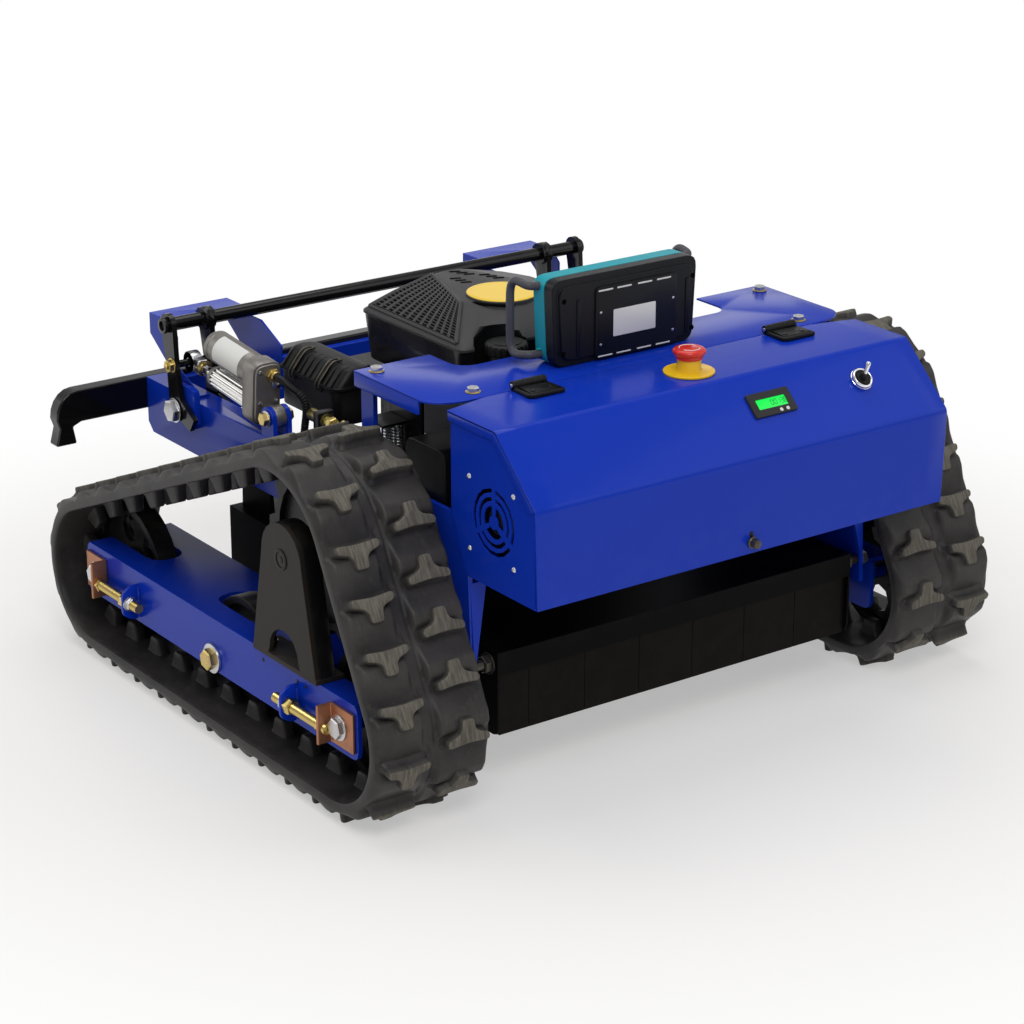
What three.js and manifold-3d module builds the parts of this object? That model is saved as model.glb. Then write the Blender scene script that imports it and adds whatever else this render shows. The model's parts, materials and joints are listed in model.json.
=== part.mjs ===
// Remote control slope mower, millimetres.
// X runs across the machine, Z up from the ground. While the pieces are laid out, Y runs back from
// the front face of the hood; the last lines move the whole machine so that its box is centred on the origin.
import * as THREE from 'three';
import { mergeVertices } from 'three/addons/utils/BufferGeometryUtils.js';
import Module from 'manifold-3d';

const wasm = await Module();
wasm.setup();

// Driving dimensions
const touch = 0.3;          // gap left between two pieces that rest on each other
const run = 0.5;            // running clearance between moving pieces
const wheelGap = 1;         // how far the wheels' rims stand inside the belt
const cutOver = 4;          // how far a cutter reaches past the wall that it cuts

const hood = {
  width: 600, top: 458, topDepth: 104, slopeRun: 75, slopeDrop: 71, frontBottom: 273,
  sheet: 2, flange: 12, cornerCut: 14, cornerRun: 60,
};
const sidePanel = { inset: 0.5, sheet: 2, front: 4, rear: 162, rearFoot: 134, footRise: 72, lip: 20, lipSheet: 2.4 };
const grille = { y: 74.5, z: 353.6, rings: [14, 24, 34], slot: 5, hub: 8, spoke: 6, screwSpan: 84.5, screw: 3 };
const topPlate = {
  width: 610, rear: 347, sheet: 2.5, flange: 19, notchHalf: 200, notchFront: 284, notchCorner: 22,
  cornerBite: 34, seam: 2, joggle: 30, boltHead: 7, boltHigh: 6,
};
const sideFrame = {
  outer: 295.2, plate: 6, legFront: 126, postFront: 322, foot: 98, railMeet: 520, legFlange: 25, flangeFoot: 165,
};
const rail = { outer: 305, inner: 271, bottom: 248, top: 320, front: 362, rear: 847, corner: 12 };
const pivotPad = { thick: 8, front: 709, rear: 768, bottom: 285, top: 338, corner: 8 };
const rearCross = { thick: 12, drop: 7 };
const bumper = { half: 447, bottom: 277, top: 320, deep: 22, endDrop: 36, footHalf: 14, footDrop: 28, flare: 5 };
const belt = {
  centre: 384, width: 152, carcass: 13, lugHigh: 15, pitch: 60, links: 31,
  guideHigh: 20, guideWide: 15, guideFoot: 30, guideTip: 19, guideInset: 18, rowOffset: 39,
};
const frontIdler = { y: 172, radius: 84 };
const sprocket = { y: 285, z: 277, teeth: 12, width: 24, toothDeep: 13, web: 8, shaft: 12 };
const wheel = { width: 28, rim: 10, web: 8, hub: 22, spokes: 5, bore: 8.5, windowGap: 14 };
const roller = { z: 95, hub: 20 };
const axle = { radius: 8, headWide: 13, headThick: 7, washer: 17, washerThick: 2 };
const trackFrame = {
  outward: 56, inward: 62, sheet: 6, bottom: 79, top: 146, front: 140, rear: 774, slotSpare: 8, slotHalf: 23,
  tabFront: 262, tabRear: 430,
};
const bearingPlate = { thick: 6, capRadius: 43, footHalf: 69, footDeep: 32, archHalf: 39, archRise: 52 };
const tensioner = {
  rod: 6, rodOut: 12, nut: 10, nutLong: 12, lugHigh: 40, lugThick: 5, lugReach: 96, rodSpare: 28,
  angleHigh: 46, angleLong: 44, angleThick: 4,
};
const driveMotor = { radius: 40, long: 118, flange: 48, flangeThick: 10, boss: 30, gearRadius: 44, gearLong: 46 };
const tray = { front: 5, rear: 181, z: 276, sheet: 3 };
const controller = { width: 210, deep: 96, high: 52, fins: 9, finHigh: 14, y: 70, x: -120 };
const batteryCase = { side: 1.7, front: 190, rear: 268, bottom: 328, top: 398, corner: 14, ledge: 26 };
const hinge = { x: [-180, 190], z: 465, knuckle: 6.5, long: 46, leafWide: 54, leafLong: 40, leaf: 5.5, pin: 2.5 };
const stop = { x: 2, y: 117, plate: 30, plateThick: 3, collar: 15, collarHigh: 16, head: 20, headHigh: 17, stem: 7 };
const meter = { x: 63.5, along: 21, width: 62, high: 31, thick: 4, lcdWide: 46, lcdHigh: 11, lcdDeep: 1 };
const key = { x: 201, along: 41, ring: 14, ringHigh: 7, lever: 4, leverLong: 26, bush: 8 };
const latch = { x: 7, z: 286, plate: 13, thick: 4, knob: 9, proud: 12 };
const lift = {
  pivotY: 742.6, pivotZ: 306, barY: 758, barZ: 414, bar: 9, outer: 318, inner: 264, plate: 7, ring: 15,
  neckHalf: 11, pivotHalf: 15, pivotPin: 7, toe: [-34, -14], arm: [-70.6, -16], armPin: 6, armPinLong: 24,
};
const actuator = {
  x: -291, eye: [4.4, 58], tilt: 5.4, rearReach: 202, tube: 13, tubeLong: 96, tubeGap: 50, can: 20, canLift: 42,
  canLong: 96, gearLong: 30, gearHalf: 23, pin: 5, eyeOuter: 14, eyeThick: 14, eyeSlack: 2.3, rod: 8, lugThick: 6,
  cableOut: 22, cable: 5,
};
const rearCover = {
  outer: 302, inner: 187, sheet: 2.5, top: 408.5, topFront: 786, rear: 838, rearFoot: 381, chamferY: 752, toeY: 700, toeRise: 57, stepY: 749, stepRear: 781, stepDrop: 8.5,
  leverRoomRear: 768, tabFront: 730, tabTop: 336, footDeep: 24,
};
const deck = {
  half: 266, sheet: 3, front: 118, rear: 712, top: 175, skirtFoot: 72, lipFoot: 146, spindleHole: 20,
  hangerX: 249, hangerThick: 6, hangerHigh: 306, hangerHalf: 26, slotShift: 3.2, slotSlack: 5.2, slotSide: 1.3,
};
const rod = { y: 135, z: 158, radius: 6, head: 11, headThick: 7, washer: 14 };
const flap = { starts: [-260, -218, -138, -58, 22, 102, 182, 262], gap: 3, thick: 4, foot: 70, tube: 11, bore: 6.6 };
const engine = {
  x: -20, y: 446, flange: 124, flangeThick: 12, case: 104, caseTop: 330, fanHalfX: 128, fanHalfY: 100,
  fanTop: 394.7, headOut: 208, headHalf: 52, headBottom: 205, headTop: 318, fins: 6, finGap: 8,
};
const muffler = { x: 70, y: 596, halfX: 78, halfY: 44, bottom: 214, top: 322, corner: 20, pipe: 16, pipeLong: 46 };
const tank = { x: -106, y: 325, halfX: 62, front: 299, top: 430, bottom: 340, neck: 20, neckTop: 448 };
const fuelCap = { radius: 26, high: 15, grips: 12, gripDeep: 2 };
const cowl = {
  halfX: 146, halfY: 112, bottom: 395, rim: 452, top: 481, crownHalfX: 66, crownHalfY: 62, corner: 34,
  badge: 44, badgeHigh: 3, archRadius: 39, grilleDeep: 3,
};
const airFilter = { outer: 262, inner: 172, front: 548, rear: 668, bottom: 358, top: 425, corner: 14, lid: 28, clip: 9 };
const blade = { z: 84, thick: 5, long: 470, wide: 52, tipLift: 10, hub: 24, hubHigh: 22, shaft: 14 };
const handset = {
  x: -16, back: 210, backDeep: 20, shellDeep: 24, halfFoot: 101, halfTop: 106, high: 104, corner: 15,
  bowOut: 6, bow: 5, bowReach: 42, bowRise: 9, bowDrop: 10, bowBend: 13, panelInset: 4, stickX: 56, stickUp: 58,
};
const stick = { boot: 13, bootHigh: 8, socket: 14, stem: 4, long: 26, grip: 8 };
const coarse = 12;          // facets round a small cylinder
const fine = 24;            // facets round a large cylinder
const wheelFacets = 28;
const rodFacets = 8;
const hexFacets = 6;

// Worked out from the driving dimensions
const halfHood = hood.width / 2;
const creaseZ = hood.top - hood.slopeDrop;
const seamY = hood.slopeRun + hood.topDepth;
const frameOuter = belt.centre + trackFrame.outward;
const frameInner = belt.centre - trackFrame.inward;
const trayHalf = sideFrame.outer - sideFrame.plate - run;
const batteryHalf = trayHalf - batteryCase.side;
const idlerZ = belt.lugHigh + belt.carcass + frontIdler.radius;
const sprocketPitchRadius = (belt.pitch * sprocket.teeth) / (2 * Math.PI);
const sprocketSeat = sprocketPitchRadius - belt.carcass / 2;
const slopeAngle = Math.atan2(hood.slopeDrop, hood.slopeRun);

// Solids

function toSolid(geometry) {
  const bare = geometry.clone();
  bare.deleteAttribute('normal');
  bare.deleteAttribute('uv');
  const merged = mergeVertices(bare, 1e-4);
  const vertProperties = new Float32Array(merged.attributes.position.array);
  const triVerts = new Uint32Array(merged.index.array);
  return new wasm.Manifold(new wasm.Mesh({ numProp: 3, vertProperties, triVerts }));
}

function join(first, ...rest) {
  return rest.reduce((sum, solid) => sum.add(solid), first);
}

function cut(body, ...tools) {
  return tools.reduce((left, tool) => left.subtract(tool), body);
}

function box(x, y, z) {
  const geometry = new THREE.BoxGeometry(x[1] - x[0], y[1] - y[0], z[1] - z[0]);
  geometry.translate((x[0] + x[1]) / 2, (y[0] + y[1]) / 2, (z[0] + z[1]) / 2);
  return toSolid(geometry);
}

// A closed outline pushed along Z from `from` to `to`.
function prism(points, from, to) {
  const shape = new THREE.Shape(points.map((p) => new THREE.Vector2(p[0], p[1])));
  const geometry = new THREE.ExtrudeGeometry(shape, { depth: to - from, bevelEnabled: false, curveSegments: 8 });
  geometry.translate(0, 0, from);
  return toSolid(geometry);
}

// Outline given as (y, z), pushed along X.
function prismX(points, from, to) {
  const turn = new THREE.Matrix4().set(0, 0, 1, 0, 1, 0, 0, 0, 0, 1, 0, 0, 0, 0, 0, 1);
  return prism(points, from, to).transform(turn.elements);
}

// Outline given as (x, z), pushed along Y.
function prismY(points, from, to) {
  const turn = new THREE.Matrix4().set(1, 0, 0, 0, 0, 0, -1, 0, 0, 1, 0, 0, 0, 0, 0, 1);
  return prism(points, -to, -from).transform(turn.elements);
}

function cylinder(radius, length, facets, radiusTop = radius) {
  const geometry = new THREE.CylinderGeometry(radiusTop, radius, length, facets);
  geometry.rotateX(Math.PI / 2);
  geometry.translate(0, 0, length / 2);
  return toSolid(geometry);
}

function cylinderX(y, z, radius, from, to, facets = coarse) {
  return cylinder(radius, to - from, facets).rotate([0, 90, 0]).translate([from, y, z]);
}

function cylinderY(x, z, radius, from, to, facets = coarse) {
  return cylinder(radius, to - from, facets).rotate([-90, 0, 0]).translate([x, from, z]);
}

function cylinderZ(x, y, radius, from, to, facets = coarse, radiusTop = radius) {
  return cylinder(radius, to - from, facets, radiusTop).translate([x, y, from]);
}

// Points of an arc about a centre, both ends included.
function arc(cx, cy, radius, start, end, steps) {
  return Array.from({ length: steps + 1 }, (_, i) => {
    const angle = start + ((end - start) * i) / steps;
    return [cx + radius * Math.cos(angle), cy + radius * Math.sin(angle)];
  });
}

// Replaces each corner of an outline by a short arc, drawn as a curve with `steps` pieces.
function rounded(points, radius, steps = 3) {
  return points.flatMap((corner, i) => {
    const before = new THREE.Vector2(...points[(i + points.length - 1) % points.length]);
    const after = new THREE.Vector2(...points[(i + 1) % points.length]);
    const at = new THREE.Vector2(corner[0], corner[1]);
    const size = Math.min(radius, at.distanceTo(before) / 2, at.distanceTo(after) / 2);
    const from = at.clone().add(before.sub(at).setLength(size));
    const to = at.clone().add(after.sub(at).setLength(size));
    return new THREE.QuadraticBezierCurve(from, at, to).getPoints(steps).map((p) => [p.x, p.y]);
  });
}

function rectangle(x, y) {
  return [[x[0], y[0]], [x[1], y[0]], [x[1], y[1]], [x[0], y[1]]];
}

// A body whose level outlines, all with the same number of points, are joined from bottom to top.
function loft(levels) {
  const count = levels[0].points.length;
  const position = levels.flatMap((level) => level.points.flatMap((p) => [p[0], p[1], level.z]));
  const index = [];
  for (let k = 0; k + 1 < levels.length; k += 1) {
    for (let i = 0; i < count; i += 1) {
      const a = k * count + i;
      const b = k * count + ((i + 1) % count);
      index.push(a, b, b + count, a, b + count, a + count);
    }
  }
  const last = (levels.length - 1) * count;
  for (let i = 1; i + 1 < count; i += 1) {
    index.push(0, i + 1, i, last, last + i, last + i + 1);
  }
  const geometry = new THREE.BufferGeometry();
  geometry.setAttribute('position', new THREE.Float32BufferAttribute(position, 3));
  geometry.setIndex(index);
  return toSolid(geometry);
}

// A round bar along a route of points.
function bar(points, radius, facets = 6) {
  const path = new THREE.CatmullRomCurve3(points.map((p) => new THREE.Vector3(...p)), false, 'centripetal');
  const section = new THREE.Shape().absarc(0, 0, radius, 0, 2 * Math.PI);
  const ring = new THREE.Shape(section.getPoints(facets).slice(0, facets));
  const geometry = new THREE.ExtrudeGeometry(ring, { steps: 2 * points.length, extrudePath: path, bevelEnabled: false });
  const solid = toSolid(geometry);
  return solid.volume() < 0 ? toSolid(flipped(geometry)) : solid;
}

function flipped(geometry) {
  const array = geometry.attributes.position.array;
  for (let i = 0; i < array.length; i += 9) {
    for (let k = 0; k < 3; k += 1) {
      const held = array[i + 3 + k];
      array[i + 3 + k] = array[i + 6 + k];
      array[i + 6 + k] = held;
    }
  }
  return geometry;
}

function mirrored(solid) {
  return solid.mirror([1, 0, 0]);
}

// The finished machine

const machine = new THREE.Group();

function finish(name, solid, look) {
  const { vertProperties, triVerts } = solid.getMesh();
  const geometry = new THREE.BufferGeometry();
  geometry.setAttribute('position', new THREE.BufferAttribute(new Float32Array(vertProperties), 3));
  geometry.setIndex(new THREE.BufferAttribute(new Uint32Array(triVerts), 1));
  geometry.computeVertexNormals();
  const mesh = new THREE.Mesh(geometry, look);
  mesh.name = name;
  machine.add(mesh);
}

function finishPair(name, leftSolid, look) {
  finish(`${name}_left`, leftSolid, look);
  finish(`${name}_right`, mirrored(leftSolid), look);
}

function colour(hex, roughness, metalness) {
  return new THREE.MeshStandardMaterial({ color: hex, roughness, metalness });
}

const looks = {
  blue: colour(0x1f3fb4, 0.25, 0.1),
  black: colour(0x121214, 0.35, 0.2),
  rubber: colour(0x2c2a2b, 0.85, 0),
  plate: colour(0x4a3f38, 0.55, 0.4),
  steel: colour(0x8f9296, 0.35, 0.9),
  chrome: colour(0xd8d9dc, 0.12, 1),
  motor: colour(0x9b9894, 0.45, 0.4),
  cowl: colour(0x34363a, 0.6, 0),
  cast: colour(0x5a5c60, 0.55, 0.6),
  yellow: colour(0xf0b91c, 0.4, 0),
  red: colour(0xd52b25, 0.35, 0),
  teal: colour(0x16a9b2, 0.4, 0),
  grey: colour(0x6d7176, 0.4, 0.5),
  flap: colour(0x2a2321, 0.6, 0.1),
};

// Belt loop: three pulleys, and the straight runs that touch them

function pulleys(rearY) {
  return [
    { y: frontIdler.y, z: idlerZ, seat: frontIdler.radius },
    { y: rearY, z: idlerZ, seat: frontIdler.radius },
    { y: sprocket.y, z: sprocket.z, seat: sprocketSeat },
  ];
}

// Angle of the outward normal of the run that leaves each pulley for the next one.
function runNormals(wheels) {
  return wheels.map((from, i) => {
    const to = wheels[(i + 1) % wheels.length];
    const way = Math.atan2(to.z - from.z, to.y - from.y);
    const apart = Math.hypot(to.y - from.y, to.z - from.z);
    return way - Math.acos((from.seat - to.seat) / apart);
  });
}

// The loop's stretches in order: an arc on each pulley, then the run to the next.
function loopStretches(wheels, rise) {
  const normals = runNormals(wheels);
  return wheels.flatMap((pulley, i) => {
    const next = (i + 1) % wheels.length;
    const start = normals[(i + wheels.length - 1) % wheels.length];
    const turn = (normals[i] - start + 4 * Math.PI) % (2 * Math.PI);
    const radius = pulley.seat + rise;
    const at = (wheelAt, angle) => [
      wheelAt.y + (wheelAt.seat + rise) * Math.cos(angle),
      wheelAt.z + (wheelAt.seat + rise) * Math.sin(angle),
    ];
    const from = at(pulley, normals[i]);
    const to = at(wheels[next], normals[i]);
    return [
      { length: radius * turn, pulley, start, turn, radius },
      { length: Math.hypot(to[0] - from[0], to[1] - from[1]), from, to, normal: normals[i] },
    ];
  });
}

function loopLength(rearY) {
  return loopStretches(pulleys(rearY), belt.carcass / 2).reduce((sum, part) => sum + part.length, 0);
}

// The rear idler stands where the belt of `links` pitches is just taut.
function tautRearY() {
  const wanted = belt.pitch * belt.links;
  let near = frontIdler.y + 2 * frontIdler.radius;
  let far = frontIdler.y + wanted / 2;
  for (let i = 0; i < 60; i += 1) {
    const middle = (near + far) / 2;
    if (loopLength(middle) > wanted) {
      far = middle;
    } else {
      near = middle;
    }
  }
  return (near + far) / 2;
}

const rearIdlerY = tautRearY();
const wheels = pulleys(rearIdlerY);
const rollerY = (frontIdler.y + rearIdlerY) / 2;
const beltFloor = belt.lugHigh + belt.carcass;
const rollerRadius = roller.z - beltFloor - wheelGap / 2;

// Point, outward angle on the belt's pitch line at a distance along it.
function alongLoop(distance) {
  const total = belt.pitch * belt.links;
  let left = ((distance % total) + total) % total;
  for (const part of loopStretches(wheels, belt.carcass / 2)) {
    if (left <= part.length) {
      const share = left / part.length;
      if (part.pulley) {
        const angle = part.start + part.turn * share;
        const { y, z } = part.pulley;
        return { y: y + part.radius * Math.cos(angle), z: z + part.radius * Math.sin(angle), angle };
      }
      const y = part.from[0] + (part.to[0] - part.from[0]) * share;
      const z = part.from[1] + (part.to[1] - part.from[1]) * share;
      return { y, z, angle: part.normal };
    }
    left -= part.length;
  }
  return alongLoop(0);
}

function loopOutline(rise, stepsPerTurn) {
  return loopStretches(wheels, rise).filter((part) => part.pulley).flatMap((part) => {
    const steps = Math.ceil((stepsPerTurn * part.turn) / (2 * Math.PI));
    return arc(part.pulley.y, part.pulley.z, part.radius, part.start, part.start + part.turn, steps);
  });
}

// Seen from outside the tread: a cross bar with a stem, with sloping sides down to the belt.
const lugShares = {
  half: 0.5, foot: 1.18, bar: 0.46, stemHalf: 0.15, waist: 0.66, sink: 0.35,
};
const lug = { wide: 54, long: 29 };

function treadLug() {
  const halfWide = lug.wide * lugShares.half;
  const halfLong = lug.long * lugShares.half;
  const barEnd = -halfLong + lug.long * lugShares.bar;
  const stem = lug.wide * lugShares.stemHalf;
  const land = [
    [-halfWide, -halfLong], [halfWide, -halfLong], [halfWide, barEnd - halfLong * lugShares.sink],
    [stem, halfLong], [-stem, halfLong], [-halfWide, barEnd - halfLong * lugShares.sink],
  ];
  const foot = land.map((p) => [p[0] * lugShares.foot, p[1] * lugShares.foot]);
  const sink = belt.carcass * lugShares.sink;
  return loft([{ z: -sink, points: foot }, { z: belt.lugHigh, points: land }]);
}

function guideLug() {
  const halfWide = belt.guideWide / 2;
  const foot = rectangle([-halfWide, halfWide], [-belt.guideFoot / 2, belt.guideFoot / 2]);
  const tip = rectangle([-halfWide, halfWide], [-belt.guideTip / 2, belt.guideTip / 2]);
  const sink = belt.carcass * lugShares.sink;
  const loose = loft([{ z: -belt.guideHigh, points: tip }, { z: sink, points: foot }]);
  return loose;
}

// Sets a lug that is drawn on the plane z = 0, with its length along y, on the loop.
function setOnLoop(solid, distance, rise, across) {
  const spot = alongLoop(distance);
  const away = rise - belt.carcass / 2;
  const turnDegrees = (spot.angle * 180) / Math.PI - 90;
  const y = spot.y + away * Math.cos(spot.angle);
  const z = spot.z + away * Math.sin(spot.angle);
  return solid.rotate([turnDegrees, 0, 0]).translate([across, y, z]);
}

function trackBelt() {
  const half = belt.width / 2;
  const stepsPerTurn = 28;
  const outside = prismX(loopOutline(belt.carcass, stepsPerTurn), -half, half);
  const inside = prismX(loopOutline(0, stepsPerTurn), -half - cutOver, half + cutOver);
  const band = cut(outside, inside);
  const stemBack = treadLug();
  const stemFront = stemBack.rotate([0, 0, 180]);
  const guide = guideLug();
  const firstRow = loopStretches(wheels, belt.carcass / 2)[0].length;
  const lugs = [];
  for (let i = 0; i < belt.links; i += 1) {
    const at = firstRow + i * belt.pitch;
    lugs.push(setOnLoop(stemFront, at, belt.carcass, -belt.rowOffset));
    lugs.push(setOnLoop(stemBack, at + belt.pitch / 2, belt.carcass, belt.rowOffset));
    const guideAcross = belt.guideInset + belt.guideWide / 2;
    lugs.push(setOnLoop(guide, at, 0, -guideAcross));
    lugs.push(setOnLoop(guide, at, 0, guideAcross));
  }
  return wasm.Manifold.union([band, ...lugs]).translate([-belt.centre, 0, 0]);
}

finishPair('track_belt', trackBelt(), looks.rubber);

// Wheels inside the belt

function spokedWheel(y, z, radius, hubRadius, spokes = wheel.spokes) {
  const half = wheel.width / 2;
  const webHalf = wheel.web / 2;
  const rimInner = radius - wheel.rim;
  const disc = cylinderX(y, z, radius, -half, half, wheelFacets);
  const dish = cylinderX(y, z, rimInner, webHalf, half + cutOver, fine);
  const dished = cut(disc, dish, mirrored(dish));
  const hub = cylinderX(y, z, hubRadius, -half, half, coarse);
  const middle = (rimInner + hubRadius) / 2;
  const windowRadius = (rimInner - hubRadius) / 2 - wheel.windowGap / 2;
  const windows = Array.from({ length: spokes }, (_, i) => {
    const angle = (2 * Math.PI * i) / spokes;
    const wy = y + middle * Math.cos(angle);
    const wz = z + middle * Math.sin(angle);
    return cylinderX(wy, wz, windowRadius, -half, half, 8);
  });
  const bore = cylinderX(y, z, wheel.bore, -half - cutOver, half + cutOver, coarse);
  return cut(join(dished, hub), ...windows, bore).translate([-belt.centre, 0, 0]);
}

finishPair('idler_front', spokedWheel(frontIdler.y, idlerZ, frontIdler.radius - wheelGap, wheel.hub), looks.black);
finishPair('idler_rear', spokedWheel(rearIdlerY, idlerZ, frontIdler.radius - wheelGap, wheel.hub), looks.black);
finishPair('bottom_roller', spokedWheel(rollerY, roller.z, rollerRadius, roller.hub, 0), looks.black);

function sprocketOutline(tipRadius, rootRadius) {
  const tooth = (2 * Math.PI) / sprocket.teeth;
  const shapeShares = [[0.0, 1], [0.2, 1], [0.36, 0], [0.84, 0]];
  return Array.from({ length: sprocket.teeth }, (_, i) => shapeShares.map(([share, tip]) => {
    const angle = tooth * (i + share);
    const radius = rootRadius + (tipRadius - rootRadius) * tip;
    return [sprocket.y + radius * Math.cos(angle), sprocket.z + radius * Math.sin(angle)];
  })).flat();
}

const shaftOuter = frameOuter + bearingPlate.thick + touch;
const shaftInner = sideFrame.outer + driveMotor.flangeThick + touch;

function driveSprocket() {
  const half = sprocket.width / 2;
  const tip = sprocketSeat - wheelGap;
  const ring = prismX(sprocketOutline(tip, tip - sprocket.toothDeep), -half, half);
  const dishRadius = tip - sprocket.toothDeep - sprocket.web;
  const dish = cylinderX(sprocket.y, sprocket.z, dishRadius, sprocket.web / 2, half + cutOver, fine);
  const dished = cut(ring, dish, mirrored(dish)).translate([-belt.centre, 0, 0]);
  const shaft = cylinderX(sprocket.y, sprocket.z, sprocket.shaft, -shaftOuter, -shaftInner);
  const hubHalf = half + sprocket.web;
  const hub = cylinderX(sprocket.y, sprocket.z, driveMotor.boss, -belt.centre - hubHalf, -belt.centre + hubHalf);
  return join(dished, hub, shaft);
}

finishPair('drive_sprocket', driveSprocket(), looks.cast);

function driveMotorBody() {
  const inner = sideFrame.outer - sideFrame.plate - touch;
  const { y, z } = sprocket;
  const flange = cylinderX(y, z, driveMotor.flange, -inner, -inner + driveMotor.flangeThick, fine);
  const boss = cylinderX(y, z, driveMotor.boss, -shaftInner + touch, -inner + driveMotor.flangeThick);
  const gearEnd = -inner + driveMotor.flangeThick + driveMotor.gearLong;
  const gearbox = cylinderX(y, z, driveMotor.gearRadius, -inner, gearEnd, fine);
  const can = cylinderX(y, z, driveMotor.radius, -inner, -inner + driveMotor.long, fine);
  return join(flange, boss, gearbox, can);
}

finishPair('drive_motor', driveMotorBody(), looks.black);

// Track frame: a channel over the lower run, with its axles and the belt tensioners

function slotAbove(y, z, radius) {
  const drop = trackFrame.top - trackFrame.sheet - z;
  return Math.sqrt(radius * radius - drop * drop) + trackFrame.slotSpare;
}

function roundedSlot(yFrom, yTo) {
  const x = [-belt.centre - trackFrame.slotHalf, -belt.centre + trackFrame.slotHalf];
  const outline = rounded(rectangle(x, [yFrom, yTo]), trackFrame.slotHalf, 4);
  return prism(outline, trackFrame.top - trackFrame.sheet - cutOver, trackFrame.top + cutOver);
}

function frameAxle(y, z) {
  const head = frameOuter + axle.washerThick + tensioner.angleThick;
  return join(
    cylinderX(y, z, axle.radius, -head, -frameInner),
    cylinderX(y, z, axle.washer, -head, -frameOuter),
    cylinderX(y, z, axle.headWide, -head - axle.headThick, -head, 6),
  );
}

// Screw, lug and angle bracket that pull an idler's axle outwards; `way` is -1 at the front, 1 at the rear.
function tensionScrew(axleY, way) {
  const out = frameOuter;
  const rodX = -out - tensioner.rodOut;
  const z = idlerZ - tensioner.rod;
  const flangeY = axleY - way * axle.washer;
  const lugY = axleY - way * tensioner.lugReach;
  const y = (a, b) => [Math.min(a, b), Math.max(a, b)];
  const zBand = [z - tensioner.lugHigh / 2, z + tensioner.lugHigh / 2];
  const reach = [rodX - tensioner.nut, -out + tensioner.angleThick / 2];
  const rodY = y(flangeY, lugY - way * tensioner.rodSpare);
  return join(
    box([-out - tensioner.angleThick, -out + tensioner.angleThick / 2], y(flangeY, flangeY + way * tensioner.angleLong),
      [idlerZ - tensioner.angleHigh / 2, idlerZ + tensioner.angleHigh / 2]),
    box(reach, y(flangeY - way * tensioner.angleThick, flangeY), zBand),
    box(reach, y(lugY - way * tensioner.lugThick, lugY), zBand),
    cylinderY(rodX, z, tensioner.rod, rodY[0], rodY[1], rodFacets),
    cylinderY(rodX, z, tensioner.nut, ...y(lugY, lugY + way * tensioner.nutLong), hexFacets),
  );
}

function trackFrameBody() {
  const f = trackFrame;
  const profile = rounded([[f.front, f.bottom], [f.rear, f.bottom], [f.rear, f.top], [f.front, f.top]], f.sheet * 2);
  const outerWall = prismX(profile, -frameOuter, -frameOuter + f.sheet);
  const innerWall = prismX(profile, -frameInner - f.sheet, -frameInner);
  const topWall = box([-frameOuter, -frameInner], [f.front + f.sheet, f.rear - f.sheet], [f.top - f.sheet, f.top]);
  const tab = box([-frameInner - f.sheet, -sideFrame.outer - touch], [f.tabFront, f.tabRear], [f.top - f.sheet, f.top]);
  const idlerReach = slotAbove(frontIdler.y, idlerZ, frontIdler.radius);
  const rollerReach = slotAbove(rollerY, roller.z, rollerRadius);
  const slots = [
    roundedSlot(f.front - f.slotHalf * 3, frontIdler.y + idlerReach),
    roundedSlot(rearIdlerY - idlerReach, f.rear + f.slotHalf * 3),
    roundedSlot(rollerY - rollerReach, rollerY + rollerReach),
  ];
  const welded = cut(join(outerWall, innerWall, topWall, tab), ...slots);
  return join(
    welded,
    frameAxle(frontIdler.y, idlerZ), frameAxle(rearIdlerY, idlerZ), frameAxle(rollerY, roller.z),
    tensionScrew(frontIdler.y, -1), tensionScrew(rearIdlerY, 1),
  );
}

finishPair('track_frame', trackFrameBody(), looks.blue);

// Bearing plate: tapers from a wide foot on the frame to a round cap about the sprocket shaft

function bearingPlateBody() {
  const b = bearingPlate;
  const foot = trackFrame.top + touch;
  const cap = arc(sprocket.y, sprocket.z, b.capRadius, 0, Math.PI, 12);
  const outline = [[sprocket.y - b.footHalf, foot], [sprocket.y + b.footHalf, foot], ...cap];
  const arch = [
    [sprocket.y - b.archHalf, foot - cutOver], [sprocket.y + b.archHalf, foot - cutOver],
    ...arc(sprocket.y, foot + b.archRise - b.archHalf, b.archHalf * 0.8, 0, Math.PI, 8),
  ];
  const plate = prismX(outline, -frameOuter - b.thick, -frameOuter);
  const archCut = prismX(arch, -frameOuter - b.thick - cutOver, -frameOuter + cutOver);
  const bore = cylinderX(sprocket.y, sprocket.z, sprocket.shaft + run, -shaftOuter - cutOver, -frameOuter + cutOver);
  const footPlate = box([-frameOuter - b.thick, -frameOuter + b.footDeep],
    [sprocket.y - b.footHalf, sprocket.y + b.footHalf], [foot, foot + b.thick]);
  return join(cut(plate, archCut, bore), footPlate);
}

finishPair('bearing_plate', bearingPlateBody(), looks.plate);

// Side frame: the plate with its front leg and post, and the tail rail that carries the lift

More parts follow.
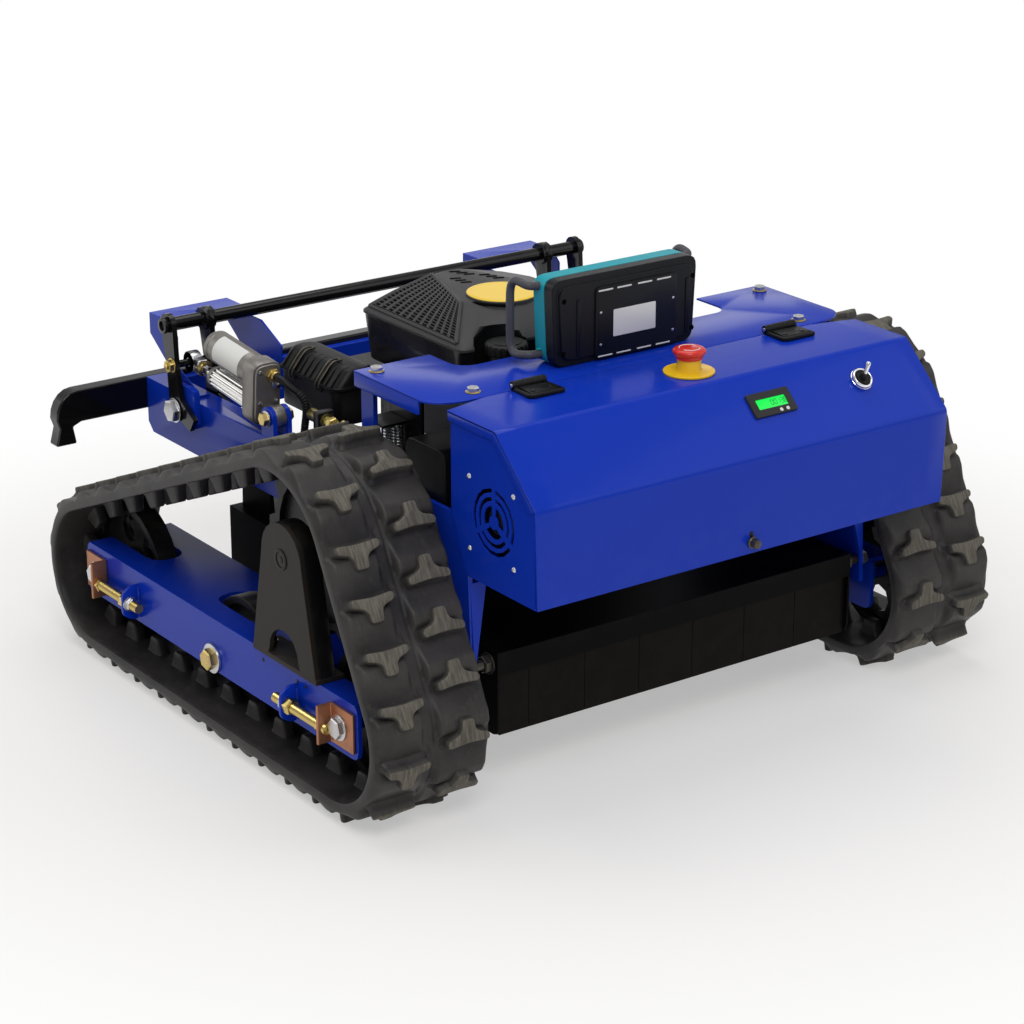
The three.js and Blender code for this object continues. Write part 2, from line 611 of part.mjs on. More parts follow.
function sideFrameBody() {
  const s = sideFrame;
  const out = -s.outer;
  const inn = -s.outer + s.plate;
  const legFoot = rod.z - 2 * rod.washer;
  const sweep = new THREE.QuadraticBezierCurve(
    new THREE.Vector2(trackFrame.tabRear, s.foot), new THREE.Vector2(trackFrame.tabRear, rail.bottom),
    new THREE.Vector2(s.railMeet, rail.bottom + touch),
  ).getPoints(6).map((p) => [p.x, p.y]);
  const outline = [
    [s.legFront, legFoot], [rod.y + rod.washer, legFoot], [trackFrame.tabFront, s.foot],
    ...sweep,
    [s.railMeet, rail.top - touch],
    [topPlate.rear, rail.top + s.plate], [topPlate.rear, hood.top - topPlate.sheet - touch],
    [s.postFront, hood.top - topPlate.sheet - touch], [s.postFront, rail.top + s.plate * 3],
    [sidePanel.rear, rail.top + s.plate * 3], [sidePanel.rearFoot, hood.frontBottom],
  ];
  const plate = prismX(outline, out, inn);
  const r = rail;
  const railOutline = [
    [r.front, r.bottom], [r.rear - r.corner, r.bottom], [r.rear, r.bottom + r.corner], [r.rear, r.top], [r.front, r.top],
  ];
  const tube = prismX(railOutline, -r.outer, -r.inner);
  const motorHole = cylinderX(sprocket.y, sprocket.z, driveMotor.boss + touch, out - cutOver, inn + cutOver, fine);
  const rodHole = cylinderX(rod.y, rod.z, rod.radius + touch, out - cutOver, inn + cutOver);
  const pivotHole = cylinderX(lift.pivotY, lift.pivotZ, lift.pivotPin + run, -lift.outer, -r.inner + cutOver);
  const lean = (s.legFront - sidePanel.rearFoot) / (s.flangeFoot - hood.frontBottom);
  const flangeTop = hood.frontBottom - s.plate * 2;
  const flangeFront = s.legFront + lean * (flangeTop - s.flangeFoot);
  const flangeWedge = [
    [out + s.plate / 2, s.flangeFoot], [inn, s.flangeFoot], [inn + s.legFlange - s.plate, flangeTop],
    [out + s.plate / 2, flangeTop],
  ];
  const flangeBand = [
    [s.legFront, s.flangeFoot - touch], [flangeFront, flangeTop + touch], [flangeFront + s.plate, flangeTop + touch],
    [s.legFront + s.plate, s.flangeFoot - touch],
  ];
  const flange = prismY(flangeWedge, s.legFront - s.plate, s.legFront + 4 * s.plate)
    .intersect(prismX(flangeBand, out, inn + s.legFlange));
  const padOutline = rounded(rectangle([pivotPad.front, pivotPad.rear], [pivotPad.bottom, pivotPad.top]), pivotPad.corner, 2);
  const pad = prismX(padOutline, -r.outer - pivotPad.thick, -r.outer + touch);
  return join(cut(join(plate, tube, pad, flange), motorHole, rodHole, pivotHole), actuatorLugs());
}

// Actuator geometry: the eye sits on the lever, the rear pin on two lugs of the tail rail
const tiltAngle = (actuator.tilt * Math.PI) / 180;
const eyeY = lift.pivotY + actuator.eye[0];
const eyeZ = lift.pivotZ + actuator.eye[1];
const rearPinY = eyeY - actuator.rearReach * Math.cos(tiltAngle);
const rearPinZ = eyeZ - actuator.rearReach * Math.sin(tiltAngle);

function actuatorLugs() {
  const half = actuator.eyeThick / 2 + touch;
  const lugEnd = half + actuator.lugThick;
  const tab = [
    [rearPinY - actuator.eyeOuter, rail.top - touch], [rearPinY + actuator.eyeOuter, rail.top - touch],
    ...arc(rearPinY, rearPinZ, actuator.eyeOuter, 0, Math.PI, 8),
  ];
  const outerTab = prismX(tab, actuator.x - lugEnd, actuator.x - half);
  const innerTab = prismX(tab, actuator.x + half, actuator.x + lugEnd);
  const pin = cylinderX(rearPinY, rearPinZ, actuator.pin, actuator.x - lugEnd - actuator.lugThick,
    actuator.x + lugEnd + actuator.lugThick, 8);
  return join(outerTab, innerTab, pin);
}

const leftSideFrame = sideFrameBody();
finish('side_frame_left', leftSideFrame, looks.blue);
finish('side_frame_right', mirrored(leftSideFrame), looks.blue);

// Rear cross member and bumper

function rearCrossBody() {
  const half = rail.inner - touch;
  return box([-half, half], [rail.rear - rearCross.thick, rail.rear], [rail.bottom + rearCross.drop, rail.top - rearCross.drop]);
}

finish('rear_cross_member', rearCrossBody(), looks.blue);

function bumperBody() {
  const b = bumper;
  const front = rail.rear + touch;
  const footInner = b.half - 2 * b.footHalf;
  const curve = arc(b.half - b.endDrop, b.top - b.endDrop, b.endDrop, Math.PI / 2, 0, 5);
  const halfOutline = [
    [0, b.top], ...curve, [b.half - b.flare, b.bottom - b.flare], [b.half + b.flare / 2, b.bottom - b.footDrop],
    [footInner - b.flare, b.bottom - b.footDrop], [footInner, b.bottom - b.flare],
    [footInner - b.footHalf, b.bottom], [0, b.bottom],
  ];
  const right = prismY(halfOutline.map((p) => [p[0], p[1]]), front, front + b.deep);
  return join(right, mirrored(right));
}

finish('rear_bumper', bumperBody(), looks.black);

// Rear covers: folded sheets, open towards the front

function rearCoverBody() {
  const c = rearCover;
  const foot = rail.top + touch;
  const side = [
    [c.topFront, c.top], [c.stepRear, c.top - c.stepDrop], [c.stepY, c.top - c.stepDrop],
    [c.toeY, foot + c.toeRise], [c.toeY, foot], [c.chamferY, foot], [c.rear, c.rearFoot], [c.rear, c.top],
  ];
  const reach = 4 * cutOver;
  const inside = [
    [c.topFront, c.top - c.sheet], [c.topFront, c.top + reach], [c.toeY - reach, c.top + reach],
    [c.toeY - reach, foot - reach], [c.chamferY + reach, foot - reach],
    [c.rear - c.sheet, c.rearFoot - 2 * cutOver], [c.rear - c.sheet, c.top - c.sheet],
  ];
  const whole = prismX(side, -c.outer, -c.inner);
  const hollow = prismX(inside, -c.outer + c.sheet, -c.inner - c.sheet);
  const leverRoom = prismX([
    [c.toeY - reach, foot - reach], [c.tabFront, foot - reach], [c.tabFront, c.tabTop], [c.leverRoomRear, c.tabTop + reach],
    [c.leverRoomRear, c.top - reach],
    [c.topFront, c.top + touch], [c.toeY - reach, c.top + touch],
  ], -c.outer - cutOver, -c.outer + c.sheet + touch);
  const footSheet = box([-c.outer, -c.outer + c.footDeep], [c.tabFront, c.chamferY], [foot, foot + c.sheet]);
  return join(cut(whole, hollow, leverRoom), footSheet);
}

finishPair('rear_cover', rearCoverBody(), looks.blue);

// Top plate, fixed behind the hood lid

function topPlateBody() {
  const t = topPlate;
  const half = t.width / 2;
  const front = seamY + t.seam;
  const bite = arc(half, front, t.cornerBite, Math.PI, Math.PI / 2, 5);
  const notch = arc(t.notchHalf - t.notchCorner, t.notchFront + t.notchCorner, t.notchCorner, 0, -Math.PI / 2, 4);
  const rightSide = [...bite, [half, t.rear], [t.notchHalf, t.rear], ...notch];
  const leftSide = rightSide.map((p) => [-p[0], p[1]]).reverse();
  const sheet = prism([...rightSide, ...leftSide], hood.top - t.sheet, hood.top);
  const flange = box([half - t.sheet, half], [front + t.cornerBite, t.rear], [hood.top - t.flange, hood.top]);
  const lipHalf = halfHood - sidePanel.lip;
  const lip = box([-lipHalf, lipHalf], [front - t.joggle, front + t.sheet * 3],
    [hood.top - 2 * t.sheet - touch, hood.top - t.sheet + touch / 3]);
  const under = hood.top - hood.sheet - touch;
  const clear = box([-halfHood, halfHood], [front - t.joggle - cutOver, front - touch], [under, hood.top + cutOver]);
  const boltX = half - t.flange;
  const bolts = [-boltX, boltX].map((x) => cylinderZ(x, t.rear - t.flange, t.boltHead, hood.top - touch, hood.top + t.boltHigh, 6));
  const frontBolts = [-1, 1].map((side) => cylinderZ(side * (halfHood - 2 * sidePanel.lip - t.flange), front + t.flange,
    t.boltHead, hood.top - touch, hood.top + t.boltHigh, 6));
  const knuckles = hinge.x.map((x) => fixedKnuckle(x));
  return join(cut(join(sheet, flange, mirrored(flange), lip), clear), ...bolts, ...frontBolts, ...knuckles);
}

// The fixed middle knuckle and the pin that the lid's two knuckles turn on.
function fixedKnuckle(x) {
  const third = hinge.long / 6;
  const barrel = cylinderX(seamY, hinge.z, hinge.knuckle, x - third, x + third, 12);
  const foot = box([x - third, x + third], [seamY + topPlate.seam, seamY + topPlate.seam + hinge.knuckle],
    [hood.top - topPlate.sheet / 2, hinge.z]);
  const pin = cylinderX(seamY, hinge.z, hinge.pin, x - hinge.long / 2, x + hinge.long / 2, 8);
  return join(barrel, foot, pin);
}

finish('top_plate', topPlateBody(), looks.blue);

// Hood lid: top, slope and front folded from one sheet, with side flanges along top and slope

function hoodProfile(inset) {
  const lean = Math.tan(slopeAngle / 2) * inset;
  const steep = Math.tan((Math.PI / 2 - slopeAngle) / 2) * inset;
  return [
    [inset, hood.frontBottom], [inset, creaseZ - steep], [hood.slopeRun + lean, hood.top - inset], [seamY, hood.top - inset],
  ];
}

function slopeFrame(across, along, out) {
  const y = hood.slopeRun - along * Math.cos(slopeAngle) - out * Math.sin(slopeAngle);
  const z = hood.top - along * Math.sin(slopeAngle) + out * Math.cos(slopeAngle);
  return [across, y, z];
}

// Places a solid that is drawn on z = 0, with y pointing down the slope, on the hood's slope.
function onSlope(solid, across, along) {
  const degrees = (slopeAngle * 180) / Math.PI;
  return solid.rotate([degrees, 0, 0]).translate(slopeFrame(across, along, 0));
}

function hoodLidBody() {
  const outer = hoodProfile(0);
  const inner = hoodProfile(hood.sheet);
  const sheet = prismX([...outer, ...inner.reverse()], -halfHood, halfHood);
  const deep = hoodProfile(hood.flange);
  const flange = prismX([outer[1], outer[2], outer[3], deep[3], deep[2], deep[1]], -halfHood, -halfHood + hood.sheet);
  const corner = prism([
    [-halfHood - cutOver, seamY + cutOver], [-halfHood - cutOver, seamY - hood.cornerCut],
    [-halfHood, seamY - hood.cornerCut], [-halfHood + hood.cornerRun, seamY], [-halfHood + hood.cornerRun, seamY + cutOver],
  ], hood.top - 2 * hood.flange, hood.top + cutOver);
  const stopHole = cylinderZ(stop.x, stop.y, stop.stem + 2 * run, hood.top - cutOver, hood.top + cutOver);
  const body = join(sheet, flange, mirrored(flange));
  return cut(body, corner, mirrored(corner), stopHole);
}

finish('hood_lid', hoodLidBody(), looks.blue);

// Hinge leaf on the lid, with its two knuckles
function hingeLeaf(x) {
  const sixth = hinge.long / 6;
  const half = hinge.leafWide / 2;
  const bottom = hood.top + touch;
  const outline = rounded([
    [x - half, seamY - hinge.leafLong], [x + half, seamY - hinge.leafLong], [x + hinge.long / 2, seamY - hinge.knuckle / 2],
    [x - hinge.long / 2, seamY - hinge.knuckle / 2],
  ], hinge.leaf / 2, 1);
  const leaf = prism(outline, bottom, bottom + hinge.leaf);
  const relief = box([x - sixth - run, x + sixth + run], [seamY - hinge.knuckle - 2 * run, seamY + cutOver],
    [bottom - cutOver, hinge.z + hinge.knuckle + cutOver]);
  const barrels = [-1, 1].map((side) => {
    const from = x + side * (sixth + run);
    const to = x + (side * hinge.long) / 2;
    return cylinderX(seamY, hinge.z, hinge.knuckle - touch, Math.min(from, to), Math.max(from, to), 12);
  });
  const bore = cylinderX(seamY, hinge.z, hinge.pin + touch, x - hinge.long, x + hinge.long, 8);
  return cut(join(cut(leaf, relief), ...barrels), bore);
}

finish('hinge_leaf_left', hingeLeaf(hinge.x[0]), looks.black);
finish('hinge_leaf_right', hingeLeaf(hinge.x[1]), looks.black);

// Hood side panel with the slotted fan grille

function grilleSlots() {
  const g = grille;
  const from = -halfHood - cutOver;
  const to = -halfHood + sidePanel.lip;
  const spokes = [0, 1, 2].map((i) => box([from, to], [-g.spoke / 2, g.spoke / 2], [0, 2 * g.rings[2]])
    .rotate([i * 120, 0, 0]));
  return g.rings.map((radius) => {
    const ring = cut(cylinderX(0, 0, radius + g.slot / 2, from, to, 18), cylinderX(0, 0, radius - g.slot / 2, from, to, 18));
    return cut(ring, ...spokes).translate([0, g.y, g.z]);
  });
}

function sidePanelBody() {
  const p = sidePanel;
  const out = -halfHood + hood.sheet + p.inset;
  const under = hoodProfile(hood.sheet + p.inset);
  const top = hood.top - 2 * topPlate.sheet - 2 * touch - p.lipSheet;
  const outline = [
    [p.front, hood.frontBottom], [p.front, under[1][1]], [under[2][0], under[2][1]],
    [p.rear - topPlate.joggle, under[2][1]], [p.rear - topPlate.joggle, top], [p.rear, top],
    [p.rear, hood.frontBottom + p.footRise], [p.rearFoot, hood.frontBottom],
  ];
  const plate = prismX(outline, out, out + p.sheet);
  const lip = box([out, out + p.lip], [p.rear - topPlate.joggle + touch, p.rear], [top - p.lipSheet, top]);
  return join(cut(plate, ...grilleSlots()), lip);
}

finishPair('hood_side', sidePanelBody(), looks.blue);

// Tray, controller and batteries

function trayBody() {
  const t = tray;
  const floor = box([-trayHalf, trayHalf], [t.front, t.rear], [t.z, t.z + t.sheet]);
  const wall = box([-trayHalf, trayHalf], [t.rear - t.sheet, t.rear], [t.z, batteryCase.bottom - touch]);
  const ledge = box([-trayHalf, trayHalf], [t.rear - t.sheet, batteryCase.front + batteryCase.ledge],
    [batteryCase.bottom - touch - t.sheet, batteryCase.bottom - touch]);
  return join(floor, wall, ledge);
}

finish('hood_tray', trayBody(), looks.blue);

function controllerBody() {
  const c = controller;
  const bottom = tray.z + tray.sheet + touch;
  const body = box([c.x - c.width / 2, c.x + c.width / 2], [c.y - c.deep / 2, c.y + c.deep / 2], [bottom, bottom + c.high]);
  const pitch = c.width / c.fins;
  const slots = Array.from({ length: c.fins - 1 }, (_, i) => {
    const x = c.x - c.width / 2 + pitch * (i + 1);
    return box([x - pitch / 4, x + pitch / 4], [c.y - c.deep, c.y + c.deep],
      [bottom + c.high - c.finHigh, bottom + c.high + cutOver]);
  });
  return cut(body, ...slots);
}

finish('motor_controller', controllerBody(), looks.steel);

function batteryBody() {
  const b = batteryCase;
  const outline = rounded(rectangle([b.front, b.rear], [b.bottom, b.top]), b.corner);
  return prismX(outline, -batteryHalf, batteryHalf);
}

finish('battery_case', batteryBody(), looks.black);

// Controls on the lid

function stopBaseBody() {
  const foot = hood.top + touch;
  const plate = cylinderZ(stop.x, stop.y, stop.plate, foot, foot + stop.plateThick, fine);
  const collar = cylinderZ(stop.x, stop.y, stop.collar + stop.plateThick, foot, foot + stop.collarHigh, fine, stop.collar);
  const bore = cylinderZ(stop.x, stop.y, stop.stem + run, foot - cutOver, foot + stop.collarHigh + cutOver);
  return cut(join(plate, collar), bore);
}

finish('stop_base', stopBaseBody(), looks.yellow);

const stopTravel = 5;

function stopButtonBody() {
  const h = stop.headHigh;
  const r = stop.head;
  const profileShares = [[0, 0], [0.72, 0], [0.94, 0.22], [1, 0.55], [0.96, 0.82], [0.8, 0.96], [0, 1]];
  const profile = profileShares.map(([rs, hs]) => new THREE.Vector2(r * rs, h * hs));
  const geometry = new THREE.LatheGeometry(profile, fine);
  geometry.rotateX(Math.PI / 2);
  const bottom = hood.top + touch + stop.collarHigh + stopTravel + run;
  const head = toSolid(geometry).translate([stop.x, stop.y, bottom]);
  const stem = cylinderZ(stop.x, stop.y, stop.stem, hood.top - stop.headHigh, bottom + h / 2);
  return join(head, stem);
}

finish('stop_button', stopButtonBody(), looks.red);

function meterBody() {
  const m = meter;
  const outline = rounded(rectangle([-m.width / 2, m.width / 2], [-m.high / 2, m.high / 2]), 2 * m.thick);
  const bezel = prism(outline, touch, touch + m.thick);
  const window = box([-m.lcdWide / 2, m.lcdWide / 2], [-m.lcdHigh / 2, m.lcdHigh / 2],
    [touch + m.thick - m.lcdDeep, touch + m.thick + cutOver]);
  const along = meter.along + m.high / 2;
  return onSlope(cut(bezel, window), m.x, along);
}

finish('hour_meter', meterBody(), looks.black);

function keySwitchBody() {
  const ring = cylinderZ(0, 0, key.ring, touch, touch + key.ringHigh / 2, fine, key.ring - key.ringHigh / 4);
  const bush = cylinderZ(0, 0, key.bush, touch, touch + key.ringHigh, coarse);
  return onSlope(join(ring, bush), key.x, key.along);
}

finish('key_switch', keySwitchBody(), looks.chrome);

function keyLeverBody() {
  const from = 2 * touch + key.ringHigh;
  const stem = cylinderZ(0, 0, key.lever, from, from + key.leverLong / 2, coarse);
  const tip = cylinder(key.lever * 0.8, key.leverLong / 2, coarse, key.lever).rotate([0, 30, 0])
    .translate([0, 0, from + key.leverLong / 3]);
  return onSlope(join(stem, tip), key.x, key.along);
}

finish('key_lever', keyLeverBody(), looks.chrome);

function latchBody() {
  const plate = cylinderY(latch.x, latch.z, latch.plate, -touch - latch.thick, -touch, fine);
  const knob = box([latch.x - latch.knob, latch.x + latch.knob], [-latch.proud, -touch - latch.thick / 2],
    [latch.z - latch.thick, latch.z + latch.thick]);
  return join(plate, knob);
}

finish('lid_latch', latchBody(), looks.black);

// Lift: bell-crank plates on both sides of each rail, and the bar that joins them

function leverOutline(extra) {
  const { pivotY, pivotZ, barY, barZ, ring, neckHalf, pivotHalf } = lift;
  const way = Math.atan2(barZ - pivotZ, barY - pivotY);
  const cap = arc(barY, barZ, ring, way - Math.PI / 2, way + Math.PI / 2, 8);
  const side = (along, half) => [
    pivotY + (barY - pivotY) * along + half * Math.cos(way + Math.PI / 2),
    pivotZ + (barZ - pivotZ) * along + half * Math.sin(way + Math.PI / 2),
  ];
  const necks = [side(0.5, neckHalf), side(0.12, pivotHalf)];
  const back = [side(0, -pivotHalf), side(0.5, -neckHalf)];
  return [...cap, ...necks, ...extra, ...back];
}

function outerLever() {
  const toe = [
    [lift.pivotY + lift.toe[0] - lift.neckHalf, lift.pivotZ + lift.toe[1] + lift.neckHalf],
    [lift.pivotY + lift.toe[0], lift.pivotZ + lift.toe[1] - lift.neckHalf / 2],
  ];
  const half = lift.plate / 2;
  const plate = prismX(leverOutline(toe), -lift.outer - half, -lift.outer + half);
  const barHole = cylinderX(lift.barY, lift.barZ, lift.bar + touch, -lift.outer - lift.plate, -lift.outer + lift.plate);
  const pinHole = cylinderX(lift.pivotY, lift.pivotZ, lift.pivotPin + touch, -lift.outer - lift.plate, -lift.outer + lift.plate);
  const eyeHole = cylinderX(eyeY, eyeZ, actuator.pin + touch, -lift.outer - lift.plate, -lift.outer + lift.plate, 8);
  return cut(plate, barHole, pinHole, eyeHole);
}

finishPair('lift_lever_outer', outerLever(), looks.black);

function innerLever() {
  const armY = lift.pivotY + lift.arm[0];
  const armZ = lift.pivotZ + lift.arm[1];
  const half = lift.plate / 2;
  const toe = arc(armY, armZ, lift.pivotHalf, Math.PI * 0.5, Math.PI * 1.6, 6);
  const plate = prismX(leverOutline(toe), -lift.inner - half, -lift.inner + half);
  const armPin = cylinderX(armY, armZ, lift.armPin, -lift.inner, -lift.inner + lift.armPinLong);
  const pivotEnd = -lift.outer - half - axle.washerThick;
  const pivotPin = cylinderX(lift.pivotY, lift.pivotZ, lift.pivotPin, pivotEnd, -lift.inner);
  const pivotHead = cylinderX(lift.pivotY, lift.pivotZ, axle.headWide, pivotEnd - axle.headThick, pivotEnd, 6);
  const eyePin = cylinderX(eyeY, eyeZ, actuator.pin, -lift.outer - half - axle.headThick, -lift.inner, 8);
  return join(plate, armPin, pivotPin, pivotHead, eyePin);
}

function liftBarBody() {
  const end = lift.outer + lift.plate;
  const across = cylinderX(lift.barY, lift.barZ, lift.bar, -end, end);
  const collarHalf = lift.plate;
  const collar = cylinderX(lift.barY, lift.barZ, lift.ring, -lift.inner - collarHalf, -lift.inner + collarHalf);
  const left = innerLever();
  return join(across, collar, mirrored(collar), left, mirrored(left));
}

finish('lift_bar', liftBarBody(), looks.black);

// Linear actuator between the two left lever plates

// Turns a solid drawn along +Y from the rear pin into the actuator's tilted place.
function onActuator(solid) {
  return solid.rotate([actuator.tilt, 0, 0]).translate([actuator.x, rearPinY, rearPinZ]);
}

function actuatorBody() {
  const a = actuator;
  const half = a.eyeThick / 2;
  const eye = cylinderX(0, 0, a.eyeOuter - touch, -half, half);
  const gearFrom = a.eyeOuter + a.lugThick;
  const neck = box([-half, half], [0, gearFrom + touch], [-a.eyeOuter / 2, a.eyeOuter / 2]);
  const gearTo = gearFrom + a.gearLong;
  const gearbox = prismX(rounded(rectangle([gearFrom, gearTo], [-a.tube - a.lugThick, a.canLift + a.can]), a.can / 2),
    -a.can, a.can);
  const tube = cylinderY(0, 0, a.tube, gearFrom, gearTo + a.tubeLong, coarse);
  const can = cylinderY(0, a.canLift, a.can, gearFrom, gearTo + a.canLong, fine);
  const bore = cylinderY(0, 0, a.rod + run, gearTo, gearTo + a.tubeLong + cutOver);
  const pinHole = cylinderX(0, 0, a.pin + touch, -half - cutOver, half + cutOver, 8);
  const glandZ = a.canLift + a.cable;
  const cableX = a.can + a.cable + run;
  const cable = bar([
    [a.cable, gearFrom + a.cable, glandZ], [a.cable, gearFrom - a.eyeOuter, glandZ],
    [2 * a.cable, gearFrom - a.cableOut - a.cable, glandZ - a.cable],
    [cableX, gearFrom - 2 * a.cableOut, a.canLift / 2],
    [cableX, gearFrom - 2 * a.cableOut, -a.canLift / 2], [cableX, gearFrom - 2 * a.cableOut, -2 * a.canLift],
  ], a.cable);
  return onActuator(join(cut(join(eye, neck, gearbox, tube, can), bore, pinHole), cable));
}

finish('actuator_body', actuatorBody(), looks.motor);

function actuatorRodBody() {
  const a = actuator;
  const half = a.eyeThick / 2;
  const from = a.eyeOuter + a.gearLong + a.tubeLong - a.tubeGap;
  const shank = cylinderY(0, 0, a.rod, from, a.rearReach, coarse);
  const eye = cylinderX(a.rearReach, 0, a.eyeOuter, -half, half, coarse);
  const hole = cylinderX(a.rearReach, 0, a.pin + a.eyeSlack, -half - cutOver, half + cutOver, coarse);
  return onActuator(cut(join(shank, eye), hole));
}

finish('actuator_rod', actuatorRodBody(), looks.chrome);

// Deck: an open shell with a front lip, side skirts and the two hangers that the lift arms carry

function deckHanger() {
  const armY = lift.pivotY + lift.arm[0];
  const armZ = lift.pivotZ + lift.arm[1];
  const half = deck.hangerHalf;
  const outline = [
    [armY - half * 1.6, deck.top - deck.sheet], [armY + half * 1.2, deck.top - deck.sheet],
    [armY + half, deck.hangerHigh], [armY - half, deck.hangerHigh],
  ];
  const slotY = armY + deck.slotShift;
  const slotReach = deck.slotSlack;
  const slotRadius = lift.armPin + deck.slotSide;
  const slot = [
    ...arc(slotY + slotReach, armZ, slotRadius, -Math.PI / 2, Math.PI / 2, 6),
    ...arc(slotY - slotReach, armZ, slotRadius, Math.PI / 2, (3 * Math.PI) / 2, 6),
  ];
  const x = [-deck.hangerX - deck.hangerThick / 2, -deck.hangerX + deck.hangerThick / 2];
  return cut(prismX(outline, x[0], x[1]), prismX(slot, x[0] - cutOver, x[1] + cutOver));
}

function deckBody() {
  const d = deck;
  const top = box([-d.half, d.half], [d.front, d.rear], [d.top - d.sheet, d.top]);
  const lip = box([-d.half, d.half], [d.front, d.front + d.sheet], [d.lipFoot, d.top]);
  const skirtOutline = rounded([
    [d.front, d.skirtFoot], [d.rear, d.skirtFoot], [d.rear, d.top], [d.front, d.top],
  ], d.sheet * 3, 2);
  const skirt = prismX(skirtOutline, -d.half, -d.half + d.sheet);
  const rear = box([-d.half, d.half], [d.rear - d.sheet, d.rear], [d.skirtFoot + 2 * d.sheet, d.top - d.sheet]);
  const hanger = deckHanger();
  const shell = join(top, lip, skirt, mirrored(skirt), rear, hanger, mirrored(hanger));
  const spindleHole = cylinderZ(engine.x, engine.y, d.spindleHole, d.top - 2 * d.sheet, d.top + cutOver);
  const rodHole = cylinderX(rod.y, rod.z, rod.radius + run, -d.half - cutOver, d.half + cutOver);
  return cut(shell, spindleHole, rodHole);
}

finish('deck_shell', deckBody(), looks.black);

// Front rod with its bolt heads, and the flaps that hang from it

function frontRodBody() {
  const end = sideFrame.outer + touch;
  const shank = cylinderX(rod.y, rod.z, rod.radius, -end, end, coarse);
  const head = cylinderX(rod.y, rod.z, rod.head, -end - rod.headThick, -end, 6);
  return join(shank, head, mirrored(head));
}

finish('front_rod', frontRodBody(), looks.steel);

function flapBody(from, to) {
  const x = [from + flap.gap / 2, to - flap.gap / 2];
  const face = rod.y - flap.tube;
  const tube = cylinderX(rod.y, rod.z, flap.tube, x[0], x[1], coarse);
  const sheet = box(x, [face, face + flap.thick], [flap.foot, rod.z]);
  const bore = cylinderX(rod.y, rod.z, flap.bore, x[0] - cutOver, x[1] + cutOver, coarse);
  return cut(join(tube, sheet), bore);
}

for (let i = 0; i + 1 < flap.starts.length; i += 1) {
  finish(`front_flap_${i + 1}`, flapBody(flap.starts[i], flap.starts[i + 1]), looks.flap);
}

// Engine, built up from its flange on the deck

function engineBody() {
  const e = engine;
  const foot = deck.top + touch;
  const flange = cylinderZ(e.x, e.y, e.flange, foot, foot + e.flangeThick, fine);
  const crankcase = cylinderZ(e.x, e.y, e.case, foot, e.caseTop, fine);
  const fanX = [e.x - e.fanHalfX, e.x + e.fanHalfX];
  const fanY = [e.y - e.fanHalfY, e.y + e.fanHalfY];
  const fan = prism(rounded(rectangle(fanX, fanY), cowl.corner), e.caseTop - cutOver, e.fanTop);
  const head = box([e.x, e.x + e.headOut], [e.y - e.headHalf, e.y + e.headHalf], [e.headBottom, e.headTop]);
  const pitch = (e.headOut - e.case) / e.fins;
  const finCuts = Array.from({ length: e.fins }, (_, i) => {
    const x = e.x + e.case + pitch * (i + 0.5);
    const whole = box([x - e.finGap / 2, x + e.finGap / 2], [e.y - 2 * e.headHalf, e.y + 2 * e.headHalf],
      [e.headBottom - cutOver, e.headTop + cutOver]);
    const core = box([x - e.finGap, x + e.finGap], [e.y - e.headHalf * 0.7, e.y + e.headHalf * 0.7],
      [e.headBottom + e.finGap, e.headTop - e.finGap]);
    return cut(whole, core);
  });
  const m = muffler;
  const pot = prism(rounded(rectangle([m.x - m.halfX, m.x + m.halfX], [m.y - m.halfY, m.y + m.halfY]), m.corner),
    m.bottom, m.top);
  const pipe = cylinderY(m.x, (m.bottom + m.top) / 2, m.pipe, e.y, m.y, coarse);
  const outlet = cylinderX(m.y, m.bottom + 2 * m.pipe, m.pipe, m.x + m.halfX - cutOver, m.x + m.halfX + m.pipeLong, coarse);
  const t = tank;
  const fuelTank = prism(rounded(rectangle([t.x - t.halfX, t.x + t.halfX], [t.front, e.y]), m.corner), t.bottom, e.fanTop);
  const neckBase = prism(rounded(rectangle([t.x - t.halfX / 2, t.x + t.halfX / 2], [t.front, cowlFront() - touch]), t.neck / 2),
    e.fanTop - cutOver, t.top);
  const neck = cylinderZ(t.x, t.y, t.neck, t.top - cutOver, t.neckTop, coarse);
  const f = airFilter;
  const duct = [f.bottom + f.corner, e.fanTop - f.corner];
  const ductRear = f.front + 4 * f.corner;
  const intake = box([-f.inner + touch, e.x - e.fanHalfX / 2], [f.front + f.corner, ductRear], duct);
  const elbow = box([e.x - e.fanHalfX, e.x - e.fanHalfX / 2], [e.y, ductRear], duct);
  return join(cut(join(flange, crankcase, fan, head), ...finCuts), pot, pipe, outlet, fuelTank, neckBase, neck, intake, elbow);
}

function cowlFront() {
  return engine.y - cowl.halfY;
}

finish('engine_block', engineBody(), looks.cast);

function cowlLevel(z, halfX, halfY, corner) {
  const x = [engine.x - halfX, engine.x + halfX];
  const y = [engine.y - halfY, engine.y + halfY];
  return { z, points: rounded(rectangle(x, y), corner, 4) };
}

function cowlBody() {
  const c = cowl;
  const shoulder = (c.rim + c.top) / 2;
  const levels = [
    cowlLevel(c.bottom, c.halfX * 0.94, c.halfY * 0.95, c.corner),
    cowlLevel(c.rim - c.grilleDeep, c.halfX, c.halfY, c.corner),
    cowlLevel(c.rim, c.halfX * 0.97, c.halfY * 0.97, c.corner),
    cowlLevel(shoulder, c.halfX * 0.78, c.halfY * 0.84, c.corner),
    cowlLevel(c.top, c.crownHalfX, c.crownHalfY, c.corner),
  ];
  const badge = cylinderZ(engine.x, engine.y, c.badge, c.top - c.badgeHigh, c.top + c.badgeHigh, fine);
  const arch = cylinderZ(tank.x, tank.y, c.archRadius, c.bottom - cutOver, c.top + cutOver, fine);
  return cut(join(loft(levels), badge), arch);
}

finish('engine_cowl', cowlBody(), looks.cowl);

